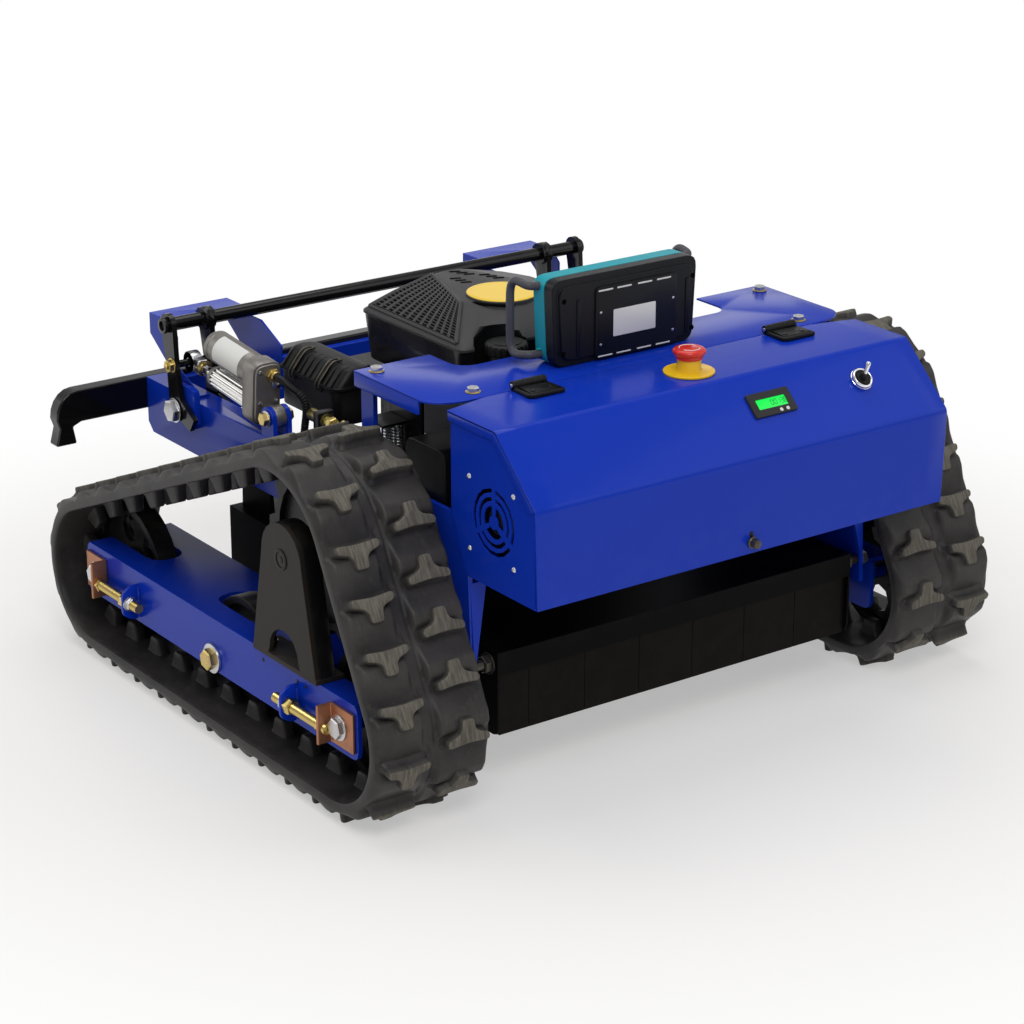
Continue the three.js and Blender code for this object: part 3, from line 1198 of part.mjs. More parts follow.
function fuelCapBody() {
  const foot = tank.neckTop + touch;
  const body = cylinderZ(tank.x, tank.y, fuelCap.radius, foot, foot + fuelCap.high, fine, fuelCap.radius - fuelCap.gripDeep);
  const grips = Array.from({ length: fuelCap.grips }, (_, i) => {
    const angle = (2 * Math.PI * i) / fuelCap.grips;
    const reach = fuelCap.radius + fuelCap.gripDeep / 2;
    return cylinderZ(tank.x + reach * Math.cos(angle), tank.y + reach * Math.sin(angle), 2 * fuelCap.gripDeep,
      foot - cutOver, foot + fuelCap.high + cutOver, 6);
  });
  return cut(body, ...grips);
}

finish('fuel_cap', fuelCapBody(), looks.black);

function airFilterBody() {
  const f = airFilter;
  const x = [-f.outer, -f.inner];
  const body = prism(rounded(rectangle(x, [f.front, f.rear]), f.corner), f.bottom, f.top - f.lid);
  const lidX = [-f.outer - f.corner / 4, -f.inner];
  const lidY = [f.front - f.corner / 4, f.rear + f.corner / 4];
  const lidFoot = rounded(rectangle(lidX, lidY), f.corner, 3);
  const lidTop = rounded(rectangle([lidX[0] + f.corner / 2, lidX[1] - f.corner / 2],
    [lidY[0] + f.corner / 2, lidY[1] - f.corner / 2]), f.corner, 3);
  const lid = loft([{ z: f.top - f.lid - touch, points: lidFoot }, { z: f.top - f.corner / 2, points: lidFoot }, { z: f.top, points: lidTop }]);
  const clips = [0.3, 0.75].map((share) => box([-f.outer - f.corner / 2, -f.outer + f.corner],
    [f.front + (f.rear - f.front) * share - f.clip, f.front + (f.rear - f.front) * share + f.clip],
    [f.top - 2 * f.lid, f.top - f.lid / 2]));
  return join(body, lid, ...clips);
}

finish('air_filter_box', airFilterBody(), looks.cowl);

// Blade on the crank end, under the deck

function bladeBody() {
  const b = blade;
  const half = b.long / 2;
  const tip = b.wide;
  const profile = [
    [-half, b.z], [-half + tip, b.z], [half - tip, b.z], [half, b.z], [half, b.z + b.thick],
    [-half, b.z + b.thick],
  ];
  const flat = prismY(profile, -b.wide / 2, b.wide / 2);
  const sail = prismX([
    [b.wide / 2 - b.thick, b.z], [b.wide / 2, b.z + b.tipLift], [b.wide / 2, b.z + b.tipLift + b.thick],
    [b.wide / 2 - 2 * b.thick, b.z + b.thick],
  ], half - 2 * tip, half);
  const otherSail = sail.rotate([0, 0, 180]);
  const hub = cylinderZ(0, 0, b.hub, b.z, b.z + b.hubHigh, fine);
  const shaft = cylinderZ(0, 0, b.shaft, b.z, deck.top);
  return join(flat, sail, otherSail, hub, shaft).translate([engine.x, engine.y, 0]);
}

finish('cutting_blade', bladeBody(), looks.steel);

// Handset standing on the top plate, its sticks turned away from the hood

const handsetFoot = hood.top + touch;

function handsetOutline(inset) {
  const h = handset;
  return rounded([
    [h.x - h.halfFoot + inset, handsetFoot + inset], [h.x + h.halfFoot - inset, handsetFoot + inset],
    [h.x + h.halfTop - inset, handsetFoot + h.high - inset], [h.x - h.halfTop + inset, handsetFoot + h.high - inset],
  ], h.corner, 4);
}

function handsetBackBody() {
  const h = handset;
  const sheet = prismY(handsetOutline(0), h.back + h.panelInset, h.back + h.backDeep);
  const panel = prismY(handsetOutline(h.panelInset * 2), h.back, h.back + h.backDeep);
  return join(sheet, panel);
}

finish('handset_back', handsetBackBody(), looks.black);

function handsetBow(side) {
  const h = handset;
  const x = h.x + side * (h.halfTop + h.bowOut);
  const inner = h.x + side * (h.halfFoot - h.bow);
  const near = h.back + h.backDeep + h.shellDeep / 2;
  const far = h.back + h.backDeep + h.shellDeep + h.bowReach;
  const low = handsetFoot + h.bow;
  const high = handsetFoot + h.high - h.bowDrop;
  return bar([
    [inner, near, high], [x - side * h.bow, near, high], [x, near + h.bow, high], [x, far - h.bowBend, high + h.bowRise / 2],
    [x, far, high - h.bowBend], [x, far, low + h.bowBend + h.bowRise], [x, far - h.bowBend, low],
    [x, near + h.bow, low + h.bowRise], [x - side * h.bow, near, low + h.bowRise], [inner, near, low + h.bowRise],
  ], h.bow);
}

function handsetShellBody() {
  const h = handset;
  const from = h.back + h.backDeep + touch;
  const to = h.back + h.backDeep + h.shellDeep;
  const shell = prismY(handsetOutline(0), from, to - h.panelInset);
  const face = prismY(handsetOutline(h.panelInset), from, to);
  const sockets = [-1, 1].map((side) => cylinderY(h.x + side * h.stickX, handsetFoot + h.stickUp, stick.boot + 2 * run,
    to - stick.socket, to + cutOver, coarse));
  return join(cut(join(shell, face), ...sockets), handsetBow(-1), handsetBow(1));
}

finish('handset_shell', handsetShellBody(), looks.teal);

function joystickBody(side) {
  const h = handset;
  const x = h.x + side * h.stickX;
  const z = handsetFoot + h.stickUp;
  const face = h.back + h.backDeep + h.shellDeep;
  const foot = face - stick.bootHigh + run;
  const ball = new THREE.SphereGeometry(stick.boot, 12, 8);
  const boot = toSolid(ball).translate([x, face, z]).trimByPlane([0, 1, 0], foot);
  const stem = cylinderY(x, z, stick.stem, face, face + stick.long, 8);
  const grip = cylinderY(x, z, stick.grip, face + stick.long * 0.75, face + stick.long, coarse);
  return join(boot, stem, grip);
}

finish('joystick_left', joystickBody(-1), looks.black);
finish('joystick_right', joystickBody(1), looks.black);

// Centre the machine's box on the origin, standing on z = 0
machine.updateMatrixWorld(true);
const bounds = new THREE.Box3().setFromObject(machine);
const middle = bounds.getCenter(new THREE.Vector3());
machine.position.set(0, -middle.y, 0);

export default machine;
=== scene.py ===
import json
import math
import bmesh
import bpy
import numpy as np
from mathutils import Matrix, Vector

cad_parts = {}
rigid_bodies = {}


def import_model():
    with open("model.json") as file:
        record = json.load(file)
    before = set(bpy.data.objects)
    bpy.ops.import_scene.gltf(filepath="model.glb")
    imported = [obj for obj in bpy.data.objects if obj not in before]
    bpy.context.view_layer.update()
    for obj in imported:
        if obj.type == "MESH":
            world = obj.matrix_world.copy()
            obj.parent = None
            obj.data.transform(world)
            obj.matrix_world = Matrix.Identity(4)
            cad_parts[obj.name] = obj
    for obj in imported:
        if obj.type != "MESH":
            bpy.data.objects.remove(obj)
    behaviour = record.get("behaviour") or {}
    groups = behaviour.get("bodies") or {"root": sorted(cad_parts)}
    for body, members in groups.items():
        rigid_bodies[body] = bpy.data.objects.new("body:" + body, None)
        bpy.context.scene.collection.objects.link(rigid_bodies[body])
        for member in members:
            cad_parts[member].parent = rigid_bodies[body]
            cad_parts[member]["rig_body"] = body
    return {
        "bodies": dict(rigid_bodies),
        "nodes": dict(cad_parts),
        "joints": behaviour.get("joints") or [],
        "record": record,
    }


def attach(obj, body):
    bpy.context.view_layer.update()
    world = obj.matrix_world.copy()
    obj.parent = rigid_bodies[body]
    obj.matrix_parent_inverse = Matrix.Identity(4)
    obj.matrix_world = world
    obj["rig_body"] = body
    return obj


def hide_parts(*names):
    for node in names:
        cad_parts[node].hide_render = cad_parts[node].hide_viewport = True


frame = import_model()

scene = bpy.context.scene
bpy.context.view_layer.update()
nodes = frame["nodes"]
print("frame loaded:", len(nodes), "CAD nodes")

# Lengths below are millimetres in the layout frame: x across, y back from the hood's front, z up.
layoutMiddle = 428.65


def toFrame(points):
    # layout millimetres to the part's own metres
    return (np.asarray(points, float) - np.array([0.0, layoutMiddle, 0.0])) / 1000.0


def fromFrame(points):
    # the part's own metres back to layout millimetres
    return np.asarray(points, float) * 1000.0 + np.array([0.0, layoutMiddle, 0.0])


# The photograph's view, solved from corners of the machine
cameraSettings = {
    "azimuth": -35.66, "elevation": 20.49, "focalPixels": 2873.0, "imagePixels": 1024.0,
    "place": (-1987.3, -2308.8, 1457.5),
}


def makeCamera(s):
    data = bpy.data.cameras.new("camera")
    camera = bpy.data.objects.new("camera", data)
    scene.collection.objects.link(camera)
    data.sensor_width = 36.0
    data.lens = s["focalPixels"] * 36.0 / s["imagePixels"]
    a, e = math.radians(s["azimuth"]), math.radians(s["elevation"])
    back = Vector((math.sin(a) * math.cos(e), -math.cos(a) * math.cos(e), math.sin(e)))
    camera.location = Vector(toFrame(s["place"]))
    camera.rotation_euler = (-back).to_track_quat("-Z", "Y").to_euler()
    data.clip_start, data.clip_end = 0.1, 60.0
    scene.camera = camera


makeCamera(cameraSettings)
print("camera placed")

# Surfaces: each part is (points, [face arrays]) in layout millimetres

def gridFaces(rows, columns, closeRows=False, closeColumns=False):
    # corner numbers of every cell of a rows x columns grid, wrapped round where it is closed
    i = np.arange(rows if closeRows else rows - 1)[:, None]
    j = np.arange(columns if closeColumns else columns - 1)[None, :]
    nextI, nextJ = (i + 1) % rows, (j + 1) % columns
    cells = np.stack([i * columns + j, i * columns + nextJ, nextI * columns + nextJ, nextI * columns + j], -1)
    return cells.reshape(-1, 4)


def looped(rings, closeRows=False):
    # rings of points joined one to the next; open rows get a flat face at both ends
    rows, columns = rings.shape[:2]
    faces = [gridFaces(rows, columns, closeRows, True)]
    if not closeRows:
        first = np.arange(columns)[::-1][None]
        last = (rows - 1) * columns + np.arange(columns)[None]
        faces += [first, last]
    return rings.reshape(-1, 3), faces


def axisFrame(axis):
    # two directions across the axis, and the axis itself
    along = np.asarray(axis, float) / np.linalg.norm(axis)
    helper = np.array([0.0, 0.0, 1.0]) if abs(along[2]) < 0.9 else np.array([1.0, 0.0, 0.0])
    across = np.cross(helper, along)
    across /= np.linalg.norm(across)
    return across, np.cross(along, across), along


def turned(profile, centre, axis=(0, 0, 1), sides=32, start=0.0):
    # centre + height * axis + radius * (cos turn * across + sin turn * up), for every (radius, height) of the profile
    profile = np.asarray(profile, float)
    u, v, w = axisFrame(axis)
    turn = start + np.linspace(0, 2 * np.pi, sides, endpoint=False)
    ringDirection = np.cos(turn)[:, None] * u + np.sin(turn)[:, None] * v
    rings = np.asarray(centre, float) + profile[:, 1, None, None] * w + profile[:, 0, None, None] * ringDirection
    return looped(rings)


def disc(radius, low, high, centre, axis=(0, 0, 1), sides=32, edge=0.6, bore=0.0, start=0.0):
    # a turned disc or ring between two heights, with its outer corners rounded by edge
    e = min(edge, (high - low) / 2.01, radius / 2.01)
    k = e * 0.3
    outer = [(radius - e, low), (radius - k, low + k), (radius, low + e), (radius, high - e), (radius - k, high - k), (radius - e, high)]
    if bore:
        profile = outer + [(bore, high), (bore, low), (radius - e, low)]
        return turned(profile, centre, axis, sides, start)
    return turned([(0, low)] + outer + [(0, high)], centre, axis, sides, start)


def throughPoints(points, count):
    # Catmull-Rom curve through the points, at evenly spaced parameters
    p = np.asarray(points, float)
    p = np.vstack([2 * p[0] - p[1], p, 2 * p[-1] - p[-2]])
    t = np.linspace(0, len(p) - 3, count)
    i = np.minimum(t.astype(int), len(p) - 4)
    f = (t - i)[:, None]
    a, b, c, d = p[i], p[i + 1], p[i + 2], p[i + 3]
    return 0.5 * (2 * b + (c - a) * f + (2 * a - 5 * b + 4 * c - d) * f ** 2 + (3 * b - 3 * c + d - a) * f ** 3)


def tube(path, radius, sides=14):
    # path + radius * (cos turn * normal + sin turn * binormal), the normal square to the path and to its least-used direction
    path = np.asarray(path, float)
    tangent = np.gradient(path, axis=0)
    tangent /= np.linalg.norm(tangent, axis=1)[:, None]
    spread = np.linalg.eigh(tangent.T @ tangent)[1][:, 0]
    normal = np.cross(spread, tangent)
    normal /= np.linalg.norm(normal, axis=1)[:, None]
    binormal = np.cross(tangent, normal)
    turn = np.linspace(0, 2 * np.pi, sides, endpoint=False)
    size = np.broadcast_to(np.asarray(radius, float), (len(path),))[:, None, None]
    rings = path[:, None] + size * (np.cos(turn)[None, :, None] * normal[:, None] + np.sin(turn)[None, :, None] * binormal[:, None])
    return looped(rings)


def roundedBlock(low, high, radius, steps=3):
    # box whose corners are eighths of a sphere: centre + sign * (half - radius) + radius * direction
    low, high = np.asarray(low, float), np.asarray(high, float)
    centre, half = (low + high) / 2, (high - low) / 2
    r = np.minimum(radius, half.min())
    quarter = np.linspace(0, np.pi / 2, steps + 1)
    lon = (np.arange(4)[:, None] * np.pi / 2 + quarter[None]).ravel()
    lonMid = np.repeat(np.arange(4) * np.pi / 2 + np.pi / 4, steps + 1)
    lat = np.concatenate([quarter - np.pi / 2, quarter])
    latSign = np.repeat([-1.0, 1.0], steps + 1)
    direction = np.stack([np.cos(lat)[:, None] * np.cos(lon), np.cos(lat)[:, None] * np.sin(lon), np.repeat(np.sin(lat)[:, None], len(lon), 1)], -1)
    sign = np.stack([np.broadcast_to(np.sign(np.cos(lonMid)), direction.shape[:2]), np.broadcast_to(np.sign(np.sin(lonMid)), direction.shape[:2]),
                     np.repeat(latSign[:, None], len(lon), 1)], -1)
    return looped(centre + sign * (half - r) + r * direction)


def roundCorners(points, radius, steps=4):
    # each corner becomes a quadratic curve that starts and ends at most `radius` from it
    p = np.asarray(points, float)
    before, after = np.roll(p, 1, 0), np.roll(p, -1, 0)
    toBefore, toAfter = before - p, after - p
    lenBefore = np.linalg.norm(toBefore, axis=1)
    lenAfter = np.linalg.norm(toAfter, axis=1)
    size = np.minimum(radius, np.minimum(lenBefore, lenAfter) / 2.02)
    a = p + toBefore / lenBefore[:, None] * size[:, None]
    b = p + toAfter / lenAfter[:, None] * size[:, None]
    f = np.linspace(0, 1, steps + 1)[None, :, None]
    return ((1 - f) ** 2 * a[:, None] + 2 * f * (1 - f) * p[:, None] + f ** 2 * b[:, None]).reshape(-1, p.shape[1])


def inset(outline, distance):
    # every corner moves inwards along the mean of its two edge normals
    p = np.asarray(outline, float)
    edge = np.roll(p, -1, 0) - p
    edge /= np.maximum(np.linalg.norm(edge, axis=1), 1e-9)[:, None]
    area = np.sum(p[:, 0] * np.roll(p[:, 1], -1) - np.roll(p[:, 0], -1) * p[:, 1])
    normal = np.stack([-edge[:, 1], edge[:, 0]], 1) * np.sign(area)
    previous = np.roll(normal, 1, 0)
    mean = normal + previous
    return p + mean * (distance / np.maximum(1 + np.sum(normal * previous, 1), 0.35))[:, None]


def lifted(outline, level, axis):
    # a flat outline set at a level along the x, y or z axis
    p = np.asarray(outline, float)
    flat = np.full(len(p), float(level))
    order = {"x": (flat, p[:, 0], p[:, 1]), "y": (p[:, 0], flat, p[:, 1]), "z": (p[:, 0], p[:, 1], flat)}
    return np.stack(order[axis], 1)


def slab(outline, low, high, axis, edge=0.8):
    # outline pushed from low to high, its rims rounded by edge
    e = min(edge, (high - low) / 2.01)
    levels = [low, low + 0.3 * e, low + e, high - e, high - 0.3 * e, high]
    insets = [e, 0.3 * e, 0.0, 0.0, 0.3 * e, e]
    return looped(np.stack([lifted(inset(outline, i), z, axis) for z, i in zip(levels, insets)]))


def rectangle(a, b, c, d):
    return np.array([[a, c], [b, c], [b, d], [a, d]], float)


def mirrorX(parts):
    return [(points * np.array([-1.0, 1.0, 1.0]), faces) for points, faces in parts]


def hexHead(centre, axis, across, height, start=0.0):
    # bolt head or nut: a six-sided disc with its outer corners turned down
    r = across / math.sqrt(3)
    return turned([(0, 0), (r, 0), (r, height * 0.82), (r * 0.88, height), (0, height)], centre, axis, 6, start)


def washer(centre, axis, radius, height, bore=0.0):
    return disc(radius, 0, height, centre, axis, 28, 0.4, bore)


def screwThread(centre, axis, radius, length, pitch=1.5, sides=16):
    # radius rises and falls once per pitch along the shank
    steps = max(int(length / pitch) * 4, 8)
    h = np.linspace(0, length, steps + 1)
    r = radius - 0.35 + 0.35 * np.cos(2 * np.pi * h / pitch)
    profile = np.concatenate([[[0, 0]], np.stack([r, h], 1), [[0, length]]])
    return turned(profile, centre, axis, sides)


def finishMesh(mesh, sharp):
    bm = bmesh.new()
    bm.from_mesh(mesh)
    bmesh.ops.remove_doubles(bm, verts=bm.verts, dist=2e-6)
    bmesh.ops.recalc_face_normals(bm, faces=bm.faces)
    bm.to_mesh(mesh)
    bm.free()
    mesh.shade_smooth()
    mesh.set_sharp_from_angle(angle=math.radians(sharp))


def makePiece(name, body, material, parts, stands=(), sharp=38.0, masks=None):
    # joins the parts into one mesh object that rides on the body
    points = np.concatenate([p[0] for p in parts])
    starts = np.cumsum([0] + [len(p[0]) for p in parts[:-1]])
    faces = [row for part, start in zip(parts, starts) for group in part[1] for row in (group + start).tolist()]
    mesh = bpy.data.meshes.new(name)
    mesh.from_pydata(toFrame(points).tolist(), [], faces)
    if masks is not None:
        mesh.attributes.new("worn", "FLOAT", "POINT").data.foreach_set("value", np.concatenate(masks).astype(np.float32))
    finishMesh(mesh, sharp)
    piece = bpy.data.objects.new(name, mesh)
    scene.collection.objects.link(piece)
    mesh.materials.append(material)
    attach(piece, body)
    if stands:
        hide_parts(*stands)
    return piece


def bodyOf(node):
    return nodes[node]["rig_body"]


def paintFaces(piece, material, chosen):
    # a second finish on the faces whose middles `chosen` picks, in layout millimetres
    mesh = piece.data
    mesh.materials.append(material)
    middles = np.empty(len(mesh.polygons) * 3, np.float32)
    mesh.polygons.foreach_get("center", middles)
    kinds = np.empty(len(mesh.polygons), np.int32)
    mesh.polygons.foreach_get("material_index", kinds)
    kinds[chosen(fromFrame(middles.reshape(-1, 3)))] = len(mesh.materials) - 1
    mesh.polygons.foreach_set("material_index", kinds)


def makePair(name, node, material, parts, sharp=38.0, stands=False):
    # parts are made for the right-hand side; the left-hand side gets their mirror image
    for side, own in (("right", parts), ("left", mirrorX(parts))):
        makePiece(name + "_" + side, bodyOf(node + "_" + side), material, own, (node + "_" + side,) if stands else (), sharp=sharp)


def softened(node, material, edge=0.9, segments=2, clip=None, name=None, sharp=38.0, dropped=None, reshaped=None):
    # a welded copy of the CAD node with its flat faces joined and its edges rounded; faces that `dropped` picks by their corners' places
    # are left off, and `reshaped` moves the corners, both in layout millimetres
    mesh = nodes[node].data.copy()
    mesh.name = name or node + "_finished"
    bm = bmesh.new()
    bm.from_mesh(mesh)
    bmesh.ops.remove_doubles(bm, verts=bm.verts, dist=2e-6)
    if clip is not None:
        place, normal = clip
        cutEdges = bmesh.ops.bisect_plane(bm, geom=bm.verts[:] + bm.edges[:] + bm.faces[:], plane_co=Vector(toFrame(place)),
                                          plane_no=Vector(normal), clear_outer=True)["geom_cut"]
        bmesh.ops.contextual_create(bm, geom=[g for g in cutEdges if isinstance(g, bmesh.types.BMEdge)])
    if dropped is not None:
        past = [face for face in bm.faces if dropped(fromFrame([corner.co for corner in face.verts]))]
        bmesh.ops.delete(bm, geom=past, context="FACES")
    bmesh.ops.dissolve_limit(bm, angle_limit=math.radians(0.6), verts=bm.verts, edges=bm.edges)
    bmesh.ops.recalc_face_normals(bm, faces=bm.faces)
    bm.to_mesh(mesh)
    bm.free()
    if reshaped is not None:
        places = np.empty(len(mesh.vertices) * 3, np.float32)
        mesh.vertices.foreach_get("co", places)
        mesh.vertices.foreach_set("co", toFrame(reshaped(fromFrame(places.reshape(-1, 3)))).astype(np.float32).ravel())
        mesh.update()
    mesh.materials.clear()
    mesh.materials.append(material)
    piece = bpy.data.objects.new(mesh.name, mesh)
    scene.collection.objects.link(piece)
    mesh.shade_smooth()
    mesh.set_sharp_from_angle(angle=math.radians(sharp))
    if edge:
        bevel = piece.modifiers.new("edges", "BEVEL")
        bevel.width = edge / 1000
        bevel.segments = segments
        bevel.limit_method = "ANGLE"
        bevel.angle_limit = math.radians(sharp)
        bevel.use_clamp_overlap = True
        bevel.harden_normals = True
    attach(piece, bodyOf(node))
    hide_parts(node)
    return piece
# Light, floor and backdrop

lightSettings = {
    "floorColour": (0.86, 0.835, 0.81), "fadeStart": 0.55, "fadeEnd": 1.2, "nearWhite": 0.44, "worldStrength": 0.31, "mirroredStrength": 0.4,
    "lamps": [("keyLamp", (-1.6, -2.6, 3.4), 2.2, 62.0), ("fillLamp", (2.8, -2.2, 2.2), 3.0, 18.0),
              ("topLamp", (0.2, 0.6, 3.6), 3.2, 52.0), ("backLamp", (-2.4, 2.6, 2.2), 2.2, 16.0)],
}


def linkNodes(tree, start, startSocket, end, endSocket):
    tree.links.new(start.outputs[startSocket], end.inputs[endSocket])


def mathNode(tree, operation, first, second=None, third=None, clamp=False):
    node = tree.nodes.new("ShaderNodeMath")
    node.operation = operation
    node.use_clamp = clamp
    for index, value in enumerate((first, second, third)):
        if value is None:
            continue
        if isinstance(value, (int, float)):
            node.inputs[index].default_value = value
        else:
            tree.links.new(value, node.inputs[index])
    return node.outputs[0]


def mixColours(tree, factor, first, second, blend="MIX"):
    node = tree.nodes.new("ShaderNodeMix")
    node.data_type = "RGBA"
    node.blend_type = blend
    for socket, value in ((node.inputs[0], factor), (node.inputs[6], first), (node.inputs[7], second)):
        if isinstance(value, (int, float)):
            socket.default_value = value
        elif isinstance(value, (tuple, list)):
            socket.default_value = (*value[:3], 1.0)
        else:
            tree.links.new(value, socket)
    return node.outputs[2]


def ramp(tree, value, low, high, outLow=0.0, outHigh=1.0, smooth=True):
    node = tree.nodes.new("ShaderNodeMapRange")
    node.interpolation_type = "SMOOTHSTEP" if smooth else "LINEAR"
    node.inputs["From Min"].default_value = low
    node.inputs["From Max"].default_value = high
    node.inputs["To Min"].default_value = outLow
    node.inputs["To Max"].default_value = outHigh
    tree.links.new(value, node.inputs["Value"])
    return node.outputs["Result"]


def noiseAt(tree, vector, scale, detail=3.0, roughness=0.55, distortion=0.0):
    node = tree.nodes.new("ShaderNodeTexNoise")
    node.inputs["Scale"].default_value = scale
    node.inputs["Detail"].default_value = detail
    node.inputs["Roughness"].default_value = roughness
    node.inputs["Distortion"].default_value = distortion
    tree.links.new(vector, node.inputs["Vector"])
    return node.outputs["Fac"]


def makeStage(s):
    world = bpy.data.worlds.new("studio")
    scene.world = world
    world.use_nodes = True
    tree = world.node_tree
    tree.nodes.clear()
    path = tree.nodes.new("ShaderNodeLightPath")
    seen = mathNode(tree, "MAXIMUM", path.outputs["Is Camera Ray"], path.outputs["Is Transmission Ray"])
    strength = mathNode(tree, "MULTIPLY_ADD", seen, 1.0 - s["worldStrength"], s["worldStrength"])
    glossy = mathNode(tree, "MULTIPLY_ADD", path.outputs["Is Glossy Ray"], s["mirroredStrength"] - s["worldStrength"], strength, clamp=True)
    back = tree.nodes.new("ShaderNodeBackground")
    back.inputs["Color"].default_value = (1.0, 1.0, 1.0, 1.0)
    tree.links.new(glossy, back.inputs["Strength"])
    out = tree.nodes.new("ShaderNodeOutputWorld")
    tree.links.new(back.outputs[0], out.inputs[0])

    size, rise, bend = 14.0, 6.0, 2.5
    # a sheet that runs flat under the machine, then bends up behind it
    run = np.concatenate([[[-size, 0.0]], [[size - bend, 0.0]],
                          np.stack([size - bend + bend * np.sin(np.linspace(0, np.pi / 2, 13))[1:],
                                    bend - bend * np.cos(np.linspace(0, np.pi / 2, 13))[1:]], 1), [[size, rise]]])
    across = np.array([-size, size])
    points = np.stack([np.broadcast_to(across[:, None], (2, len(run))), np.broadcast_to(run[None, :, 0], (2, len(run))),
                       np.broadcast_to(run[None, :, 1], (2, len(run)))], -1).reshape(-1, 3)
    mesh = bpy.data.meshes.new("studio_floor")
    mesh.from_pydata(points.tolist(), [], gridFaces(2, len(run)).tolist())
    mesh.flip_normals()
    mesh.shade_smooth()
    floor = bpy.data.objects.new("studio_floor", mesh)
    scene.collection.objects.link(floor)
    material = bpy.data.materials.new("pale_floor")
    material.use_nodes = True
    tree = material.node_tree
    tree.nodes.clear()
    place = tree.nodes.new("ShaderNodeTexCoord")
    diffuse = tree.nodes.new("ShaderNodeBsdfPrincipled")
    diffuse.inputs["Roughness"].default_value = 0.9
    diffuse.inputs["Specular IOR Level"].default_value = 0.15
    diffuse.inputs["Base Color"].default_value = (*s["floorColour"], 1.0)
    white = tree.nodes.new("ShaderNodeEmission")
    white.inputs["Color"].default_value = (1.0, 1.0, 1.0, 1.0)
    white.inputs["Strength"].default_value = 1.0
    # far from the machine the floor fades into the white background
    shift = tree.nodes.new("ShaderNodeMapping")
    shift.inputs["Scale"].default_value = (1.0, 1.0, 0.0)
    tree.links.new(place.outputs["Object"], shift.inputs["Vector"])
    length = tree.nodes.new("ShaderNodeVectorMath")
    length.operation = "LENGTH"
    tree.links.new(shift.outputs["Vector"], length.inputs[0])
    far = ramp(tree, length.outputs["Value"], s["fadeStart"], s["fadeEnd"], s["nearWhite"])
    path = tree.nodes.new("ShaderNodeLightPath")
    seen = mathNode(tree, "MAXIMUM", path.outputs["Is Camera Ray"],
                    mathNode(tree, "MAXIMUM", path.outputs["Is Glossy Ray"], path.outputs["Is Transmission Ray"]))
    fade = mathNode(tree, "MULTIPLY", far, seen)
    mix = tree.nodes.new("ShaderNodeMixShader")
    tree.links.new(fade, mix.inputs[0])
    tree.links.new(diffuse.outputs[0], mix.inputs[1])
    tree.links.new(white.outputs[0], mix.inputs[2])
    out = tree.nodes.new("ShaderNodeOutputMaterial")
    tree.links.new(mix.outputs[0], out.inputs[0])
    mesh.materials.append(material)

    for name, place, size, power in s["lamps"]:
        data = bpy.data.lights.new(name, "AREA")
        data.shape = "DISK"
        data.size = size
        data.energy = power
        lamp = bpy.data.objects.new(name, data)
        lamp.location = place
        lamp.rotation_euler = (Vector((0.0, 0.0, 0.25)) - Vector(place)).to_track_quat("-Z", "Y").to_euler()
        scene.collection.objects.link(lamp)
    scene.view_settings.view_transform = "Standard"


makeStage(lightSettings)
print("stage and lamps made")

# Shared effects: each group gives only colours, masks, values and normals


def newGroup(name, inputs, outputs):
    group = bpy.data.node_groups.new(name, "ShaderNodeTree")
    kinds = {"value": "NodeSocketFloat", "colour": "NodeSocketColor", "vector": "NodeSocketVector"}
    for label, kind, value in inputs:
        socket = group.interface.new_socket(label, in_out="INPUT", socket_type=kinds[kind])
        if value is not None:
            socket.default_value = value
    for label, kind in outputs:
        group.interface.new_socket(label, in_out="OUTPUT", socket_type=kinds[kind])
    return group, group.nodes.new("NodeGroupInput"), group.nodes.new("NodeGroupOutput")


